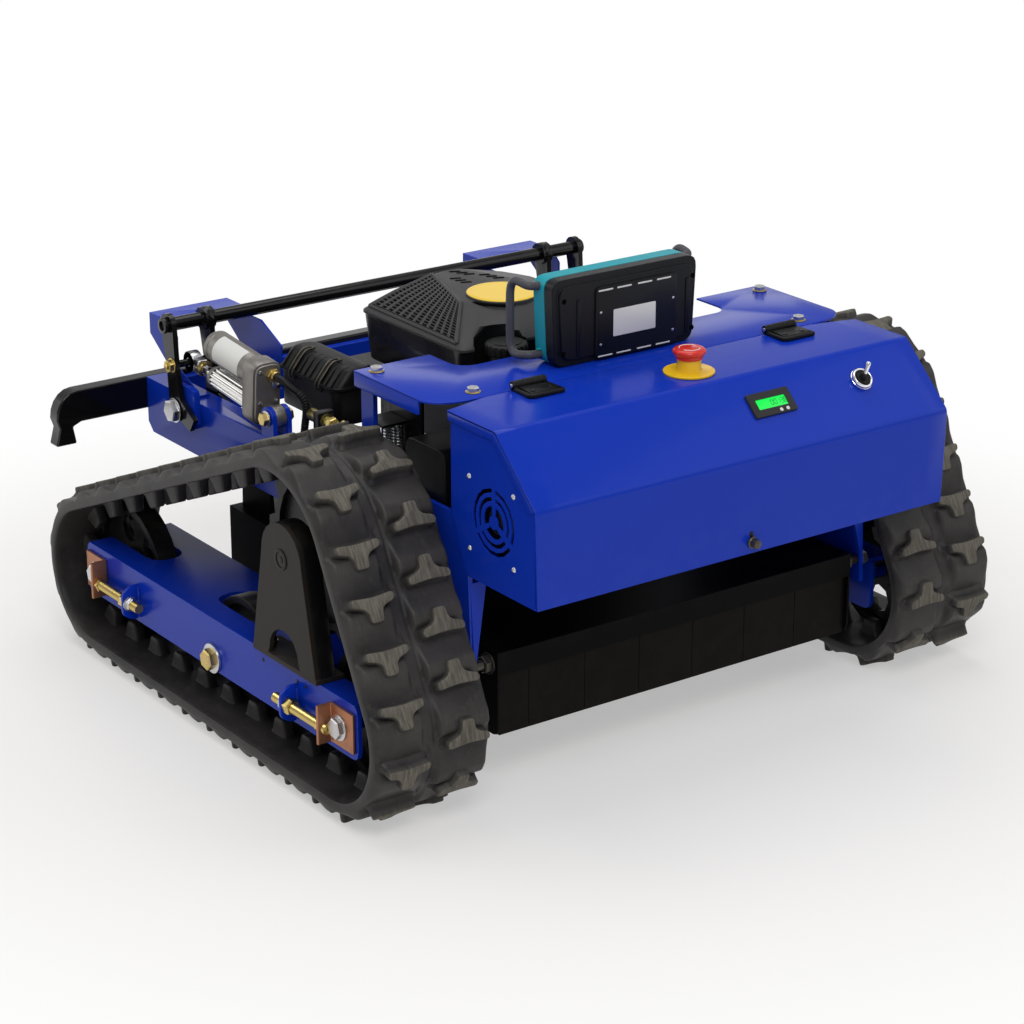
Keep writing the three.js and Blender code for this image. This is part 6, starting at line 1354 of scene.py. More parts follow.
def makeLiftFastenings(s):
    body = bodyOf("lift_bar")
    y, z = s["bar"]
    tubeEnds, dark, zinc, gold = [], [], [], []
    for way in (-1.0, 1.0):
        tubeEnds.append(disc(s["barRadius"] + 1.4, 0, 4.5, (way * (s["barEnd"] - 1.5), y, z), (way, 0, 0), 36, 0.8, s["barRadius"] - 2.6))
        # a black disc set inside each open tube end paints the shade of its hollow
        dark.append(disc(s["barRadius"] - 2.2, 0, 0.4, (way * s["barEnd"], y, z), (way, 0, 0), 24, 0.1))
        zinc += [washer((way * s["pivotOut"], s["pivot"][0], s["pivot"][1]), (way, 0, 0), 16.0, 1.8),
                 hexHead((way * (s["pivotOut"] + 1.8), s["pivot"][0], s["pivot"][1]), (way, 0, 0), 25.5, 7.4, 0.2)]
        gold += [washer((way * s["eyeOut"], s["eye"][0], s["eye"][1]), (way, 0, 0), 9.5, 1.2),
                 hexHead((way * (s["eyeOut"] + 1.2), s["eye"][0], s["eye"][1]), (way, 0, 0), 14.5, 6.5, 0.4),
                 disc(4.2, 0, 2.4, (way * (s["eyeOut"] + 7.7), s["eye"][0], s["eye"][1]), (way, 0, 0), 18, 0.8)]
    makePiece("lift_bar_ends", body, paint["gloss"], tubeEnds)
    makePiece("lift_bar_hollow_shade", body, plastic["case"], dark)
    makePiece("lift_pivot_bolts", bodyOf("side_frame_left"), metal["zinc"], zinc, sharp=30.0)
    makePiece("lift_eye_nuts", body, metal["gold"], gold, sharp=30.0)


makeLiftFastenings(liftSettings)
print("lift fastenings made")

# Electric actuator: gear case, motor can with a bare label, ribbed tube, rod and clevis
actuatorSettings = {
    "x": -291.0, "pin": (545.9, 345.0), "tilt": 5.4, "gearFrom": 20.0, "gearTo": 50.0, "low": -19.0, "high": 62.0, "half": 20.0, "canLift": 42.0, "can": 20.0,
    "end": 146.0, "tube": 13.0, "ribs": 14, "eye": 14.0, "eyeHalf": 7.0, "pinRadius": 5.0, "rod": 8.0, "reach": 202.0, "rodFrom": 112.0, "cable": 5.0, "cableOut": 22.0,
    "labelFrom": 62.0, "labelTo": 122.0, "labelTurn": (95.0, 205.0),
}


def onActuator(s, parts):
    # local (across, along, up) to the machine: turned by the tilt about the rear pin
    c, n = math.cos(math.radians(s["tilt"])), math.sin(math.radians(s["tilt"]))
    turnMatrix = np.array([[1.0, 0.0, 0.0], [0.0, c, n], [0.0, -n, c]])
    return [(points @ turnMatrix + np.array([s["x"], s["pin"][0], s["pin"][1]]), faces) for points, faces in parts]


def ribbedTube(radius, low, high, ribs, depth):
    # radius - depth * (a rounded square wave of the turn), the same along the whole length
    turn = np.linspace(0, 2 * np.pi, ribs * 12, endpoint=False)
    wave = 0.5 - 0.5 * np.tanh(3.0 * np.cos(ribs * turn))
    r = radius - depth * wave
    ring = np.stack([r * np.cos(turn), np.zeros(len(turn)), r * np.sin(turn)], 1)
    return looped(ring[None] + np.array([0.0, 1.0, 0.0]) * np.linspace(low, high, 3)[:, None, None])


def curvedLabel(radius, low, high, turnFrom, turnTo, lift):
    # a thin shell between two turns of a cylinder that runs along y
    turn = np.radians(np.linspace(turnFrom, turnTo, 32))
    outer = np.stack([(radius + lift) * np.cos(turn), np.zeros(32), (radius + lift) * np.sin(turn)], 1)
    inner = outer[::-1] * (radius - 0.1) / (radius + lift)
    ring = np.vstack([outer, inner])
    return looped(ring[None] + np.array([0.0, 1.0, 0.0]) * np.linspace(low, high, 2)[:, None, None])


def makeActuator(s):
    body, rodBody = bodyOf("actuator_body"), bodyOf("actuator_rod")
    lift, can = s["canLift"], s["can"]
    face = roundCorners(np.array([(-s["half"], s["low"]), (s["half"], s["low"]), (s["half"], s["high"]), (-s["half"], s["high"])]), 15.0, 8)
    gear = [slab(face, s["gearFrom"] + 3.5, s["gearTo"], "y", 2.5), slab(inset(face, 2.4), s["gearFrom"], s["gearFrom"] + 4.5, "y", 1.6),
            disc(s["eye"], -s["eyeHalf"], s["eyeHalf"], (0, 0, 0), (1, 0, 0), 36, 1.0, s["pinRadius"] + 0.2),
            roundedBlock((-s["eyeHalf"], 9.0, -8.0), (s["eyeHalf"], s["gearFrom"] + 2.0, 8.0), 1.5)]
    makePiece("actuator_gear_case", body, metal["casing"], onActuator(s, gear), ("actuator_body",))
    low, high = s["gearTo"], s["end"]
    shell = turned([(0, low - 2), (can - 0.6, low - 2), (can - 0.6, low + 5), (can, low + 6.2), (can, high - 13), (can - 1.0, high - 12.2), (can - 1.0, high - 10.6),
                    (can, high - 9.8), (can, high - 4.0), (can - 1.4, high - 1.2), (can - 4.5, high), (0, high)], (0, 0, lift), (0, 1, 0), 48)
    makePiece("actuator_motor_can", body, metal["casing"], onActuator(s, [shell]), sharp=30.0)
    label = curvedLabel(can, s["labelFrom"], s["labelTo"], s["labelTurn"][0], s["labelTurn"][1], 0.25)
    makePiece("actuator_bare_label", body, plastic["white"], onActuator(s, [(label[0] + np.array([0, 0, lift]), label[1])]))
    ribs = [ribbedTube(s["tube"], low - 1.0, high - 7.0, s["ribs"], 1.3)]
    makePiece("actuator_ribbed_tube", body, metal["ribbed"], onActuator(s, ribs), sharp=50.0)
    nose = [disc(s["tube"] + 0.4, high - 7.2, high, (0, 0, 0), (0, 1, 0), 40, 1.2, s["rod"] + 0.5)]
    makePiece("actuator_nose", body, metal["casing"], onActuator(s, nose))
    bolts = [disc(6.6, 0, 3.2, (10.5, s["gearFrom"], 34.0), (0, -1, 0), 28, 1.4), disc(2.8, 0, 1.6, (-11.0, s["gearFrom"], 12.0), (0, -1, 0), 18, 0.7),
             disc(2.8, 0, 1.6, (11.0, s["gearFrom"], 12.0), (0, -1, 0), 18, 0.7), disc(2.8, 0, 1.6, (-11.5, s["gearFrom"], 52.0), (0, -1, 0), 18, 0.7),
             hexHead((10.5, s["gearFrom"] - 3.0, 34.0), (0, -1, 0), 7.0, 1.0, 0.3)]
    makePiece("actuator_screws", body, metal["zinc"], onActuator(s, bolts), sharp=30.0)
    gland = [hexHead((5.0, s["gearFrom"] + 0.5, lift + 5.0), (0, -1, 0), 15.0, 5.0), disc(6.4, 0, 6.5, (5.0, s["gearFrom"] - 4.0, lift + 5.0), (0, -1, 0), 28, 1.5, 5.05)]
    makePiece("actuator_gland", body, metal["gold"], onActuator(s, gland), sharp=30.0)
    # the lead leaves the gland, turns down behind the case and runs on inside a ribbed sleeve
    route = throughPoints([(5.0, 21.0, lift + 5), (5.0, 6.0, lift + 5), (10.0, 15.0 - s["cableOut"], lift), (25.3, 20.0 - 2 * s["cableOut"], lift / 2),
                           (25.3, 20.0 - 2 * s["cableOut"], -lift / 2), (25.3, 20.0 - 2 * s["cableOut"], -2 * lift)], 260)
    along = np.concatenate([[0], np.cumsum(np.linalg.norm(np.diff(route, axis=0), axis=1))])
    sleeve = np.clip((along - 46.0) / 3.0, 0, 1)
    radius = s["cable"] - 0.9 + sleeve * (0.5 + 0.45 * np.cos(along * 2 * np.pi / 3.2))
    makePiece("actuator_lead", body, plastic["cable"], onActuator(s, [tube(route, radius, 16)]), sharp=60.0)
    shank = [disc(s["rod"], s["rodFrom"], s["reach"] - 20.0, (0, 0, 0), (0, 1, 0), 36, 1.0)]
    makePiece("actuator_rod_shank", rodBody, metal["chrome"], onActuator(s, shank), ("actuator_rod",))
    clevis = [disc(s["eye"], -s["eyeHalf"], s["eyeHalf"], (0, s["reach"], 0), (1, 0, 0), 36, 1.2, s["pinRadius"] + 0.4),
              roundedBlock((-s["eyeHalf"], s["reach"] - 24.8, -9.5), (s["eyeHalf"], s["reach"] - 9.0, 9.5), 2.0)]
    makePiece("actuator_clevis", rodBody, metal["zinc"], onActuator(s, clevis))
    lock = [hexHead((0, s["reach"] - 31.2, 0), (0, 1, 0), 19.0, 6.4, 0.2)]
    makePiece("actuator_lock_nut", rodBody, metal["gold"], onActuator(s, lock), sharp=30.0)
    pins = [washer((-14.2, 0, 0), (-1, 0, 0), 10.0, 1.4), washer((14.2, 0, 0), (1, 0, 0), 10.0, 1.4)]
    makePiece("actuator_pin_washers", bodyOf("side_frame_left"), metal["zinc"], onActuator(s, pins))
    nuts = [hexHead((-15.6, 0, 0), (-1, 0, 0), 15.0, 6.0, 0.2), hexHead((15.6, 0, 0), (1, 0, 0), 15.0, 5.0, 0.2)]
    makePiece("actuator_pin_nuts", bodyOf("side_frame_left"), metal["gold"], onActuator(s, nuts), sharp=30.0)


makeActuator(actuatorSettings)
handled += ["actuator_body", "actuator_rod"]
print("actuator made")

# Rear bumper: the CAD's bar, its turned-down ends a little nearer the middle
bumperSettings = {"from": 380.0, "half": 447.0, "newHalf": 436.0}


def onBumper(points):
    # beyond `from`, x shrinks evenly so that the end moves from half to newHalf
    s = bumperSettings
    x = np.abs(points[:, 0])
    share = (s["newHalf"] - s["from"]) / (s["half"] - s["from"])
    points[:, 0] = np.sign(points[:, 0]) * np.where(x > s["from"], s["from"] + (x - s["from"]) * share, x)
    return points


softened("rear_bumper", paint["gloss"], 3.0, 3, reshaped=onBumper)
handled.append("rear_bumper")
print("bumper made")

# Small fittings on the left rail: a plated coupling, a ball stud and two return springs
fittingSettings = {"x": -262.0, "rail": 320.0, "coupling": (466.0, 512.0, 352.0), "ball": (-276.0, 417.0, 368.0), "springs": [(322.0, 350.0, 392.0), (342.0, 350.0, 392.0)],
                   "hanger": [(286.0, 455.4), (345.0, 455.4), (345.0, 440.0), (372.0, 420.0), (372.0, 330.0), (286.0, 330.0)]}


def makeFittings(s):
    body = bodyOf("side_frame_left")
    x = s["x"]
    low, high, z = s["coupling"]
    barrel = turned([(0, low), (6.2, low), (6.8, low + 0.8), (6.8, low + 9), (9.4, low + 10), (9.4, low + 26), (8.0, low + 28), (8.0, high - 2), (7.0, high), (0, high)],
                    (x, 0, z), (0, 1, 0), 36)
    makePiece("rail_coupling", body, metal["olive"], [barrel], sharp=30.0)
    makePiece("rail_coupling_nut", body, metal["gold"], [hexHead((x, low + 1.0, z), (0, -1, 0), 15.0, 7.0, 0.2)], sharp=30.0)
    clamp = [slab(roundCorners(np.array([(low + 12, s["rail"] - 1.0), (low + 24, s["rail"] - 1.0), (low + 24, z + 12), (low + 12, z + 12)]), 3.0, 4),
                  x - 11.5, x + 11.5, "x", 1.0)]
    makePiece("rail_coupling_clamp", body, paint["black"], clamp)
    ballX, y, top = s["ball"]
    stud = turned([(0, s["rail"]), (4.4, s["rail"]), (4.4, s["rail"] + 3), (2.2, s["rail"] + 3.6), (2.2, top - 4.0), (3.4, top - 2.6), (4.2, top), (3.4, top + 2.6),
                   (1.6, top + 4.0), (0, top + 4.3)], (ballX, y, 0), (0, 0, 1), 28)
    makePiece("rail_ball_stud", body, metal["olive"], [stud])
    coils, hooks = [], []
    for y, low, high in s["springs"]:
        turn = np.linspace(0, 2 * np.pi * 9, 9 * 20)
        path = np.stack([x + 5.0 * np.cos(turn), y + 5.0 * np.sin(turn), np.linspace(low + 4, high - 4, len(turn))], 1)
        coils.append(tube(path, 1.3, 8))
        hooks.append(disc(2.2, low - 4, high + 4, (x, y, 0), (0, 0, 1), 18, 0.6))
    makePiece("return_springs", body, metal["zinc"], coils, sharp=60.0)
    makePiece("return_spring_rods", body, metal["zinc"], hooks)
    yFrom, yTo = s["springs"][0][0] - 11.0, s["springs"][-1][0] + 11.0
    plates = [roundedBlock((-290.0, yFrom, level), (x + 9.0, yTo, level + 3.0), 1.0) for level in (s["springs"][0][1] - 5.0, s["springs"][0][2] + 2.0)]
    makePiece("return_spring_plates", body, paint["black"], plates)
    hanger = slab(roundCorners(np.array(s["hanger"]), 6.0, 5), x + 9.0, x + 13.0, "x", 0.8)
    makePiece("hanging_side_plate", bodyOf("top_plate"), paint["black"], [hanger])


makeFittings(fittingSettings)
print("rail fittings made")

# Top plate: one sheet with rounded front corners, a notch for the engine, flanges and a joggled lip
topPlateSettings = {"half": 305.0, "front": 181.0, "rear": 347.0, "top": 458.0, "sheet": 2.5, "corner": (51.0, 34.0), "notchHalf": 200.0, "notchFront": 284.0,
                    "notchCorner": 22.0, "flange": 19.0, "lipHalf": 250.0, "lip": (151.0, 188.5), "bolts": [(286.0, 328.0), (240.0, 201.0)]}


def makeTopPlate(s):
    half, top = s["half"], s["top"]
    turn = np.linspace(-np.pi / 2, 0, 13)
    corner = np.stack([half - s["corner"][0] + s["corner"][0] * np.cos(turn), s["front"] + s["corner"][1] * (1 + np.sin(turn))], 1)
    sweep = np.linspace(0, -np.pi / 2, 9)
    notch = np.stack([s["notchHalf"] - s["notchCorner"] * (1 - np.cos(sweep)), s["notchFront"] + s["notchCorner"] * (1 + np.sin(sweep))], 1)
    right = np.vstack([corner, [half, s["rear"]], [s["notchHalf"], s["rear"]], notch])
    outline = np.vstack([right, right[::-1] * np.array([-1.0, 1.0])])
    sheet = slab(outline, top - s["sheet"], top, "z", 0.7)
    parts = [sheet]
    for way in (-1.0, 1.0):
        ends = sorted([way * half, way * (half - s["sheet"])])
        fold = roundCorners(np.array([(s["front"] + s["corner"][1], top - s["flange"]), (s["rear"], top - s["flange"]), (s["rear"], top - 0.4),
                                      (s["front"] + s["corner"][1], top - 0.4)]), 3.0, 5)
        parts.append(slab(fold, ends[0], ends[1], "x", 0.7))
    parts.append(roundedBlock((-s["lipHalf"], s["lip"][0], top - s["sheet"] - 2.8), (s["lipHalf"], s["lip"][1], top - s["sheet"] + 0.1), 0.6))
    makePiece("top_plate_finished", bodyOf("top_plate"), paint["blue"], parts, ("top_plate",), sharp=30.0)
    heads, rings = [], []
    for x, y in s["bolts"]:
        for way in (-1.0, 1.0):
            rings.append(washer((way * x, y, top), (0, 0, 1), 9.0, 1.3))
            heads.append(hexHead((way * x, y, top + 1.3), (0, 0, 1), 12.6, 5.0, 0.35 * way))
    makePiece("top_plate_bolts", bodyOf("top_plate"), metal["zinc"], heads, sharp=30.0)
    makePiece("top_plate_washers", bodyOf("top_plate"), metal["gold"], rings)


makeTopPlate(topPlateSettings)
handled.append("top_plate")
print("top plate made")

# Engine cowl: a six-cornered shell that narrows to its crown, a ribbed grille on its left face over a sheet of painted
# shade, slots and arcs painted as dark shade, an arch and a bare badge
cowlSettings = {
    "centre": (-34.6, 446.0), "rim": [(-127.0, 110.0), (-127.0, -110.0), (-65.0, -110.0), (65.0, -110.0), (127.0, -110.0), (127.0, 110.0)],
    "crown": [(-18.5, 106.0), (-67.4, -26.0), (-25.0, -62.0), (25.0, -62.0), (67.4, -26.0), (18.5, 106.0)], "corner": 12.0,
    # height, share of the way from rim to crown, size
    "levels": [(395.0, 0.0, 0.94), (397.0, 0.0, 0.95), (449.0, 0.0, 0.985), (452.6, 0.0, 0.985), (453.6, 0.0, 1.0), (456.6, 0.0, 1.0), (458.2, 0.0, 0.988),
               (465.0, 0.2, 0.99), (472.0, 0.42, 0.99), (484.6, 0.955, 0.995), (486.0, 1.0, 0.975)],
    "skirtTop": 453.0, "arch": (-106.0, 325.0, 39.0),
    "cells": (12, 15), "bars": (0.36, 0.24), "deep": 2.8, "lift": 2.5, "floor": 0.6, "span": ((0.05, 0.93), (0.1, 0.92)), "normal": (-0.22, -0.03, 0.975),
    "badge": (-40.6, 424.5), "badgeRadius": 43.5, "badgeTop": 489.0, "arcs": [47.6, 51.2], "arcTurn": (190.0, 252.0),
    "slots": [(-31.0, 540.0), (-27.0, 530.0), (-23.0, 520.0), (-48.0, 514.0), (-47.5, 503.0), (-47.0, 492.0), (-9.0, 507.0), (-6.0, 496.0), (-3.0, 485.0)],
    "slotLong": 14.0, "slotWide": 5.0, "slotTurn": 68.0,
}


def cowlOutline(s, share, size):
    # rim and crown corners mixed by share, corners rounded, edges filled with points, and the fuel cap's arch pressed in from the front
    corners = (np.array(s["rim"]) * (1 - share) + np.array(s["crown"]) * share) * size + np.array(s["centre"])
    soft = roundCorners(corners, s["corner"], 4)
    fill = np.linspace(0, 1, 25)[:-1, None]
    after = np.roll(soft, -1, 0)
    pieces = [soft[i] + (after[i] - soft[i]) * fill if i % 5 == 4 else soft[i:i + 1] for i in range(len(soft))]
    outline = np.concatenate(pieces)
    x, y, radius = s["arch"]
    apart = outline - np.array([x, y])
    distance = np.linalg.norm(apart, axis=1)
    inside = distance < radius
    outline[inside] = np.array([x, y]) + apart[inside] / distance[inside, None] * radius
    return outline


def onCowlFace(s, u, v, out):
    # a place on the left face: corners mixed by u along it and by v up it, height from the levels, then out along the face's normal
    heights, shares, sizes = (np.array(column) for column in zip(*s["levels"][6:]))
    size = np.interp(v, shares, sizes)[..., None]
    rim, crown = np.array(s["rim"][:2]), np.array(s["crown"][:2])
    low = rim[0] + (rim[1] - rim[0]) * u[..., None]
    high = crown[0] + (crown[1] - crown[0]) * u[..., None]
    flat = np.array(s["centre"]) + (low + (high - low) * v[..., None]) * size
    return np.concatenate([flat, np.interp(v, shares, heights)[..., None]], -1) + np.array(s["normal"]) * np.asarray(out)[..., None]


def makeCowl(s):
    body = bodyOf("engine_cowl")
    shell = looped(np.stack([lifted(cowlOutline(s, share, size), z, "z") for z, share, size in s["levels"]]))
    cowl = makePiece("engine_cowl_finished", body, plastic["cowl"], [shell], ("engine_cowl",), sharp=26.0)
    paintFaces(cowl, plastic["skirt"], lambda middles: middles[:, 2] < s["skirtTop"])
    x, y, radius = s["arch"]
    paintFaces(cowl, plastic["case"], lambda middles: np.hypot(middles[:, 0] - x, middles[:, 1] - y) < radius + 0.4)
    # each cell has four lines each way: two at the bar's edges, two on the hole's floor
    columns, rows = s["cells"]
    grids, insides = [], []
    for count, bar in zip(s["cells"], s["bars"]):
        offsets = np.array([bar / 2, bar / 2 + 0.05, 1 - bar / 2 - 0.05, 1 - bar / 2])
        grids.append(np.concatenate([[0.0], (np.arange(count)[:, None] + offsets).ravel(), [count]]) / count)
        insides.append(np.concatenate([[0], np.tile([0, 1, 1, 0], count), [0]]))
    (u0, u1), (v0, v1) = s["span"]
    u = u0 + (u1 - u0) * grids[0][:, None] + 0.0 * grids[1][None]
    v = v0 + (v1 - v0) * grids[1][None] + 0.0 * grids[0][:, None]
    out = s["lift"] - s["deep"] * insides[0][:, None] * insides[1][None]
    panel = looped(np.concatenate([onCowlFace(s, u, v, out), onCowlFace(s, u, v, np.full(u.shape, -3.5))[:, ::-1]], 1))
    makePiece("cowl_grille", body, plastic["cowl"], [panel], sharp=25.0)
    # a near-black sheet under the grille's holes paints the shade behind them
    line = np.linspace(0, 1, 24)
    u = u0 + 0.01 + (u1 - u0 - 0.02) * line[:, None] + 0.0 * line[None]
    v = v0 + 0.01 + (v1 - v0 - 0.02) * line[None] + 0.0 * line[:, None]
    floor = looped(np.concatenate([onCowlFace(s, u, v, np.full(u.shape, s["floor"])), onCowlFace(s, u, v, np.full(u.shape, -3.0))[:, ::-1]], 1))
    makePiece("cowl_grille_shade", body, plastic["hollowShade"], [floor], sharp=25.0)
    edge = np.linspace(0, 1, 40)
    u0, u1, v0, v1 = u0 - 0.015, u1 + 0.015, v0 - 0.03, v1 + 0.03
    loopU = np.concatenate([u0 + (u1 - u0) * edge, np.full(40, u1), u1 - (u1 - u0) * edge, np.full(40, u0)])
    loopV = np.concatenate([np.full(40, v0), v0 + (v1 - v0) * edge, np.full(40, v1), v1 - (v1 - v0) * edge])
    makePiece("cowl_grille_border", body, plastic["cowl"], [tube(onCowlFace(s, loopU, loopV, np.full(160, 0.5)), 2.6, 12)], sharp=60.0)
    # the slots are near-black pills laid on the crown: painted shade of the openings
    c, n = math.cos(math.radians(s["slotTurn"])), math.sin(math.radians(s["slotTurn"]))
    pill = roundCorners(rectangle(-s["slotWide"] / 2, s["slotWide"] / 2, -s["slotLong"] / 2, s["slotLong"] / 2), 1.4, 3)
    turnedPill = np.stack([pill[:, 0] * c - pill[:, 1] * n, pill[:, 0] * n + pill[:, 1] * c], 1)
    top = s["levels"][-1][0]
    slots = [slab(turnedPill + np.array(place), top - 2.0, top + 0.35, "z", 0.15) for place in s["slots"]]
    makePiece("cowl_slot_shade", body, plastic["hollowShade"], slots)
    x, y = s["badge"]
    r, h = s["badgeRadius"], s["badgeTop"]
    boss = turned([(0, 470), (r + 1.0, 470), (r + 1.6, top), (r + 1.4, h - 1.4), (r + 0.6, h - 0.8), (0, h - 0.8)], (x, y, 0), (0, 0, 1), 72)
    makePiece("cowl_badge_boss", body, plastic["cowl"], [boss], sharp=40.0)
    badge = turned([(0, h - 1), (r, h - 1), (r, h - 0.2), (r - 0.5, h + 0.1), (r - 3.2, h + 0.1), (r - 3.5, h - 0.25), (r - 4.3, h - 0.25), (r - 4.6, h + 0.1), (0, h + 0.1)],
                   (x, y, 0), (0, 0, 1), 72)
    makePiece("cowl_bare_badge", body, plastic["badge"], [badge], sharp=40.0)
    # two near-black beads round the front of the boss: painted shade lines
    turn = np.radians(np.linspace(*s["arcTurn"], 40))
    arcs = [tube(np.stack([x + radius * np.cos(turn), y + radius * np.sin(turn), np.full(40, top - 0.3)], 1), 1.2, 8) for radius in s["arcs"]]
    makePiece("cowl_arc_shade", body, plastic["hollowShade"], arcs, sharp=60.0)


makeCowl(cowlSettings)
handled.append("engine_cowl")
print("cowl made")

# Engine: the CAD's block, its fan housing drawn in under the cowl
def underCowl(points):
    # on the right and above the case, x shrinks evenly so that 108 becomes 83
    chosen = (points[:, 2] > 329.0) & (points[:, 0] > 0.0) & (points[:, 0] < 112.0) & (points[:, 1] > 330.0)
    points[chosen, 0] *= 83.0 / 108.0
    return points


softened("engine_block", metal["engine"], 1.5, reshaped=underCowl)
handled.append("engine_block")
print("engine made")

# Fuel cap: a skirt of rounded grips, a stepped top
capSettings = {"place": (-106.0, 325.0), "low": 448.3, "high": 463.3, "radius": 26.0, "grips": 20, "depth": 1.3}


def makeFuelCap(s):
    turn = np.linspace(0, 2 * np.pi, s["grips"] * 10, endpoint=False)
    grip = s["depth"] * (0.5 - 0.5 * np.tanh(2.5 * np.cos(s["grips"] * turn)))
    levels = [(1.5, s["low"], 0.0), (0.0, s["low"] + 1.2, 1.0), (0.0, s["high"] - 4.0, 1.0), (1.2, s["high"] - 2.4, 0.5), (3.0, s["high"] - 1.6, 0.0),
              (7.0, s["high"] - 1.4, 0.0), (8.0, s["high"] - 0.2, 0.0), (9.5, s["high"], 0.0), (18.0, s["high"], 0.0), (24.0, s["high"], 0.0)]
    rings = [np.stack([s["place"][0] + (s["radius"] - d - g * grip) * np.cos(turn), s["place"][1] + (s["radius"] - d - g * grip) * np.sin(turn),
                       np.full(len(turn), z)], 1) for d, z, g in levels]
    makePiece("fuel_cap_finished", bodyOf("fuel_cap"), plastic["case"], [looped(np.stack(rings))], ("fuel_cap",), sharp=35.0)


makeFuelCap(capSettings)
handled.append("fuel_cap")
print("fuel cap made")

# Air filter: a box with a slanted, ribbed lid, an elbow to the engine, and two spring clips
filterSettings = {"outer": -214.0, "inner": -160.0, "front": 532.0, "rear": 664.0, "bottom": 318.0, "top": 390.0, "lid": 26.0, "rim": 3.5, "slant": 17.0,
                  "corner": 14.0, "ribs": 10, "elbow": ((-163.0, 572.0, 330.0), (-118.0, 620.0, 356.0))}


def makeFilter(s):
    body = bodyOf("air_filter_box")
    box = slab(roundCorners(rectangle(s["outer"], s["inner"], s["front"], s["rear"]), s["corner"], 6), s["bottom"], s["top"] - s["lid"] + 1.0, "z", 2.0)
    foot, e = s["top"] - s["lid"], s["rim"]
    # height, how far the outer side leans in, how far all sides draw in
    levels = [(foot, 0.0, 1.2), (foot + 1.0, 0.0, 0.0), (foot + 4.0, 0.0, 0.0), (foot + 4.6, 1.5, 1.6), (s["top"] - 3.0, s["slant"] - 1.0, 1.8), (s["top"] - 0.8, s["slant"] + 1.2, 3.0),
              (s["top"], s["slant"] + 3.6, 5.4)]
    rings = [lifted(roundCorners(rectangle(s["outer"] - e + lean + draw, s["inner"] - draw, s["front"] - e + draw, s["rear"] + e - draw), s["corner"], 6), z, "z")
             for z, lean, draw in levels]
    makePiece("air_filter_finished", body, plastic["case"], [box, looped(np.stack(rings)), roundedBlock(*s["elbow"], 6.0)], ("air_filter_box",), sharp=30.0)
    ribs = []
    for y in np.linspace(s["front"] + 10.0, s["rear"] - 10.0, s["ribs"]):
        line = throughPoints([(s["outer"] - e + 1.6, y, foot + 4.6), (s["outer"] + s["slant"] * 0.5 - 1.6, y, s["top"] - s["lid"] / 2 + 2.0),
                              (s["outer"] + s["slant"] - 1.6, y, s["top"] - 2.6), (s["outer"] + s["slant"] + 9.0, y, s["top"] - 0.4)], 20)
        ribs.append(tube(line, 1.3, 8))
    makePiece("air_filter_ribs", body, plastic["case"], ribs, sharp=60.0)
    clips = []
    for y in (s["front"] + 37.0, s["rear"] - 33.0):
        line = throughPoints([(s["outer"] - 1.5, y, foot - 7.0), (s["outer"] - 3.6, y, foot + 3.0), (s["outer"] + s["slant"] * 0.45 - 2.0, y, s["top"] - s["lid"] / 2 + 3.0),
                              (s["outer"] + s["slant"] - 0.5, y, s["top"] + 1.0), (s["outer"] + s["slant"] + 12.0, y, s["top"] + 2.4)], 30)
        clips += [tube(line + np.array([0.0, shift, 0.0]), 1.3, 10) for shift in (-4.0, 4.0)]
        clips.append(tube(line[-1] + np.array([[0.0, -5.0, 0.0], [0.0, -2.5, 0.0], [0.0, 2.5, 0.0], [0.0, 5.0, 0.0]]), 1.5, 10))
    makePiece("air_filter_clips", body, metal["dark"], clips, sharp=60.0)


makeFilter(filterSettings)
handled.append("air_filter_box")
print("air filter made")

# Handset back: raised panel with slots, screws and a bare label
handsetSettings = {
    "face": 210.0, "panel": (-63.0, 56.0, 461.5, 547.5), "panelHigh": 2.2, "label": (-37.6, 24.2, 485.3, 517.6), "slotsX": [-49.0, -22.0, 8.0, 36.0], "slotHalf": 10.5,
    "slotRows": [(543.0, 2.0), (464.5, 1.7)], "holes": [(-107.0, 538.0), (-108.0, 475.5), (81.0, 538.5), (80.5, 475.0)],
    "bow": {"middle": -16.0, "shellHalf": 107.4, "out": 120.0, "inner": 98.0, "near": 242.0, "far": 275.0, "high": 552.3, "low": 470.5, "radius": 5.0},
    "screws": [(-56.0, 517.0), (50.0, 517.5), (-56.0, 478.5), (50.0, 478.5)],
}


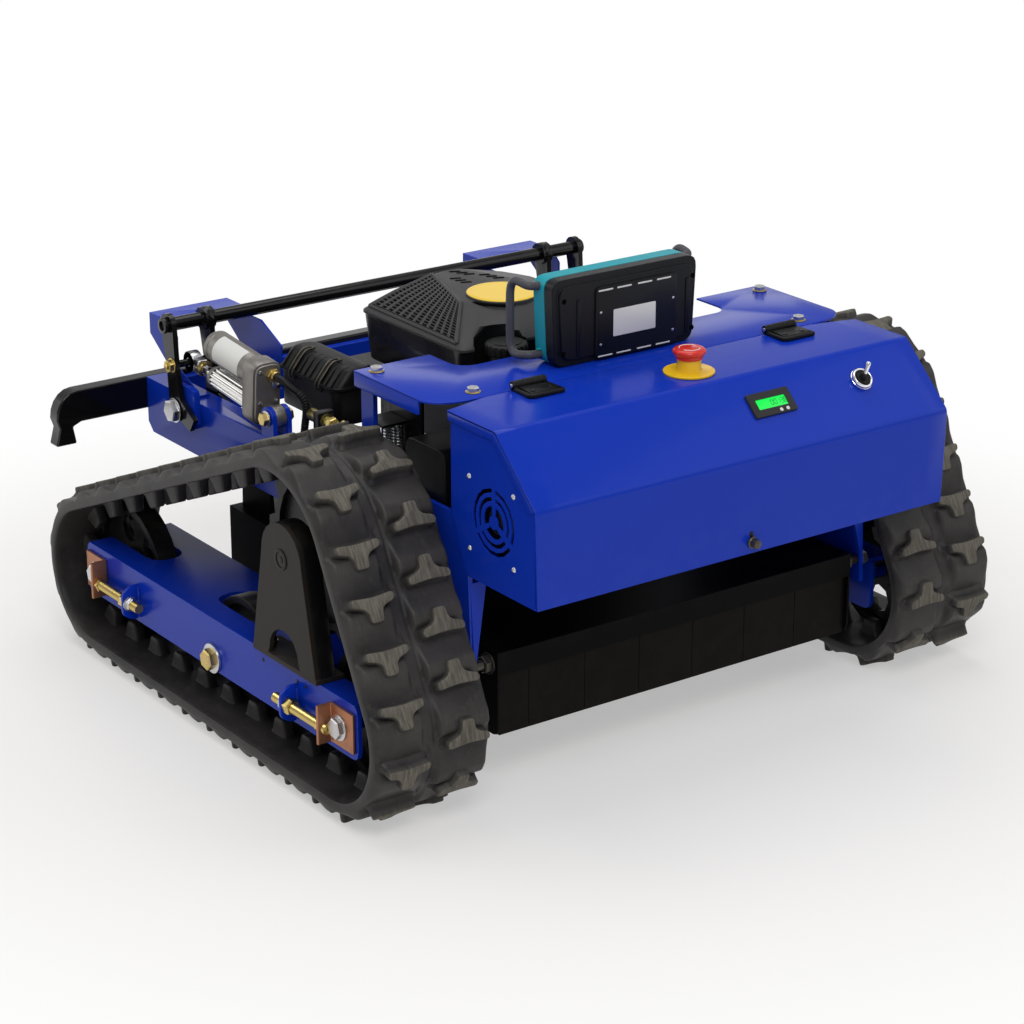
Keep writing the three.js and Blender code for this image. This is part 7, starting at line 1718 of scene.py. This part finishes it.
def makeHandset(s):
    middle = s["bow"]["middle"]
    softened("handset_shell", plastic["teal"], 1.5, 3, dropped=lambda corners: np.abs(corners[:, 0] - middle).max() > s["bow"]["shellHalf"]
             or (corners[:, 1].max() > 255.0 and np.abs(corners[:, 0] - middle).max() > 84.0))
    b = s["bow"]
    for side, label in ((-1.0, "left"), (1.0, "right")):
        x, inner, near, far = middle + side * b["out"], middle + side * b["inner"], b["near"], b["far"]
        line = throughPoints([(inner, near, b["high"]), (x - side * 12.0, near, b["high"]), (x - side * 2.5, near + 4.0, b["high"] + 1.5),
                              (x, far - 12.0, b["high"] + 3.5), (x, far - 3.5, b["high"] - 2.0), (x, far, b["high"] - 14.0), (x, far, (b["high"] + b["low"]) / 2),
                              (x, far, b["low"] + 14.0), (x, far - 3.5, b["low"] + 2.0), (x, far - 12.0, b["low"] - 2.5), (x - side * 2.5, near + 4.0, b["low"]),
                              (x - side * 12.0, near, b["low"]), (inner, near, b["low"])], 110)
        makePiece("handset_bow_" + label, bodyOf("handset_shell"), plastic["bow"], [tube(line, b["radius"], 16)], sharp=60.0)
    softened("handset_back", plastic["panel"], 1.5, 3)
    body = bodyOf("handset_back")
    front = s["face"] - s["panelHigh"]
    a, b, c, d = s["panel"]
    frame = slab(roundCorners(rectangle(a, b, c, d), 7.0, 6), front, s["face"] + 0.6, "y", 1.0)
    rails = [slab(roundCorners(rectangle(a - 26.0, a - 20.0, c + 8.0, d - 10.0), 2.5, 4), front + 0.9, s["face"] + 0.6, "y", 0.8),
             slab(roundCorners(rectangle(b + 14.0, b + 20.0, c + 8.0, d - 10.0), 2.5, 4), front + 0.9, s["face"] + 0.6, "y", 0.8)]
    makePiece("handset_back_panel", body, plastic["panel"], [frame] + rails)
    slots = [slab(roundCorners(rectangle(x - s["slotHalf"], x + s["slotHalf"], z - high / 2, z + high / 2), 0.9, 3), front - 0.15, front + 0.5, "y", 0.1)
             for z, high in s["slotRows"] for x in s["slotsX"]]
    makePiece("handset_slots", body, plastic["white"], slots)
    a, b, c, d = s["label"]
    makePiece("handset_bare_label", body, plastic["white"], [slab(roundCorners(rectangle(a, b, c, d), 1.5, 4), front - 0.3, front + 0.4, "y", 0.15)])
    # screw wells as flat near-black discs: painted shade of the recesses
    holes = [disc(3.2, 0, 0.5, (x, s["face"], z), (0, -1, 0), 20, 0.2) for x, z in s["holes"]]
    makePiece("handset_screw_well_shade", body, plastic["hollowShade"], holes)
    screws = [disc(1.7, 0, 0.8, (x, front, z), (0, -1, 0), 16, 0.4) for x, z in s["screws"]]
    makePiece("handset_screws", body, metal["zinc"], screws)


makeHandset(handsetSettings)
handled += ["handset_shell", "handset_back"]
print("handset made")
replacedNodes = set(handled)
dressPlainNodes(replacedNodes)
print("CAD nodes dressed:", len(plainNodes) - len(replacedNodes))
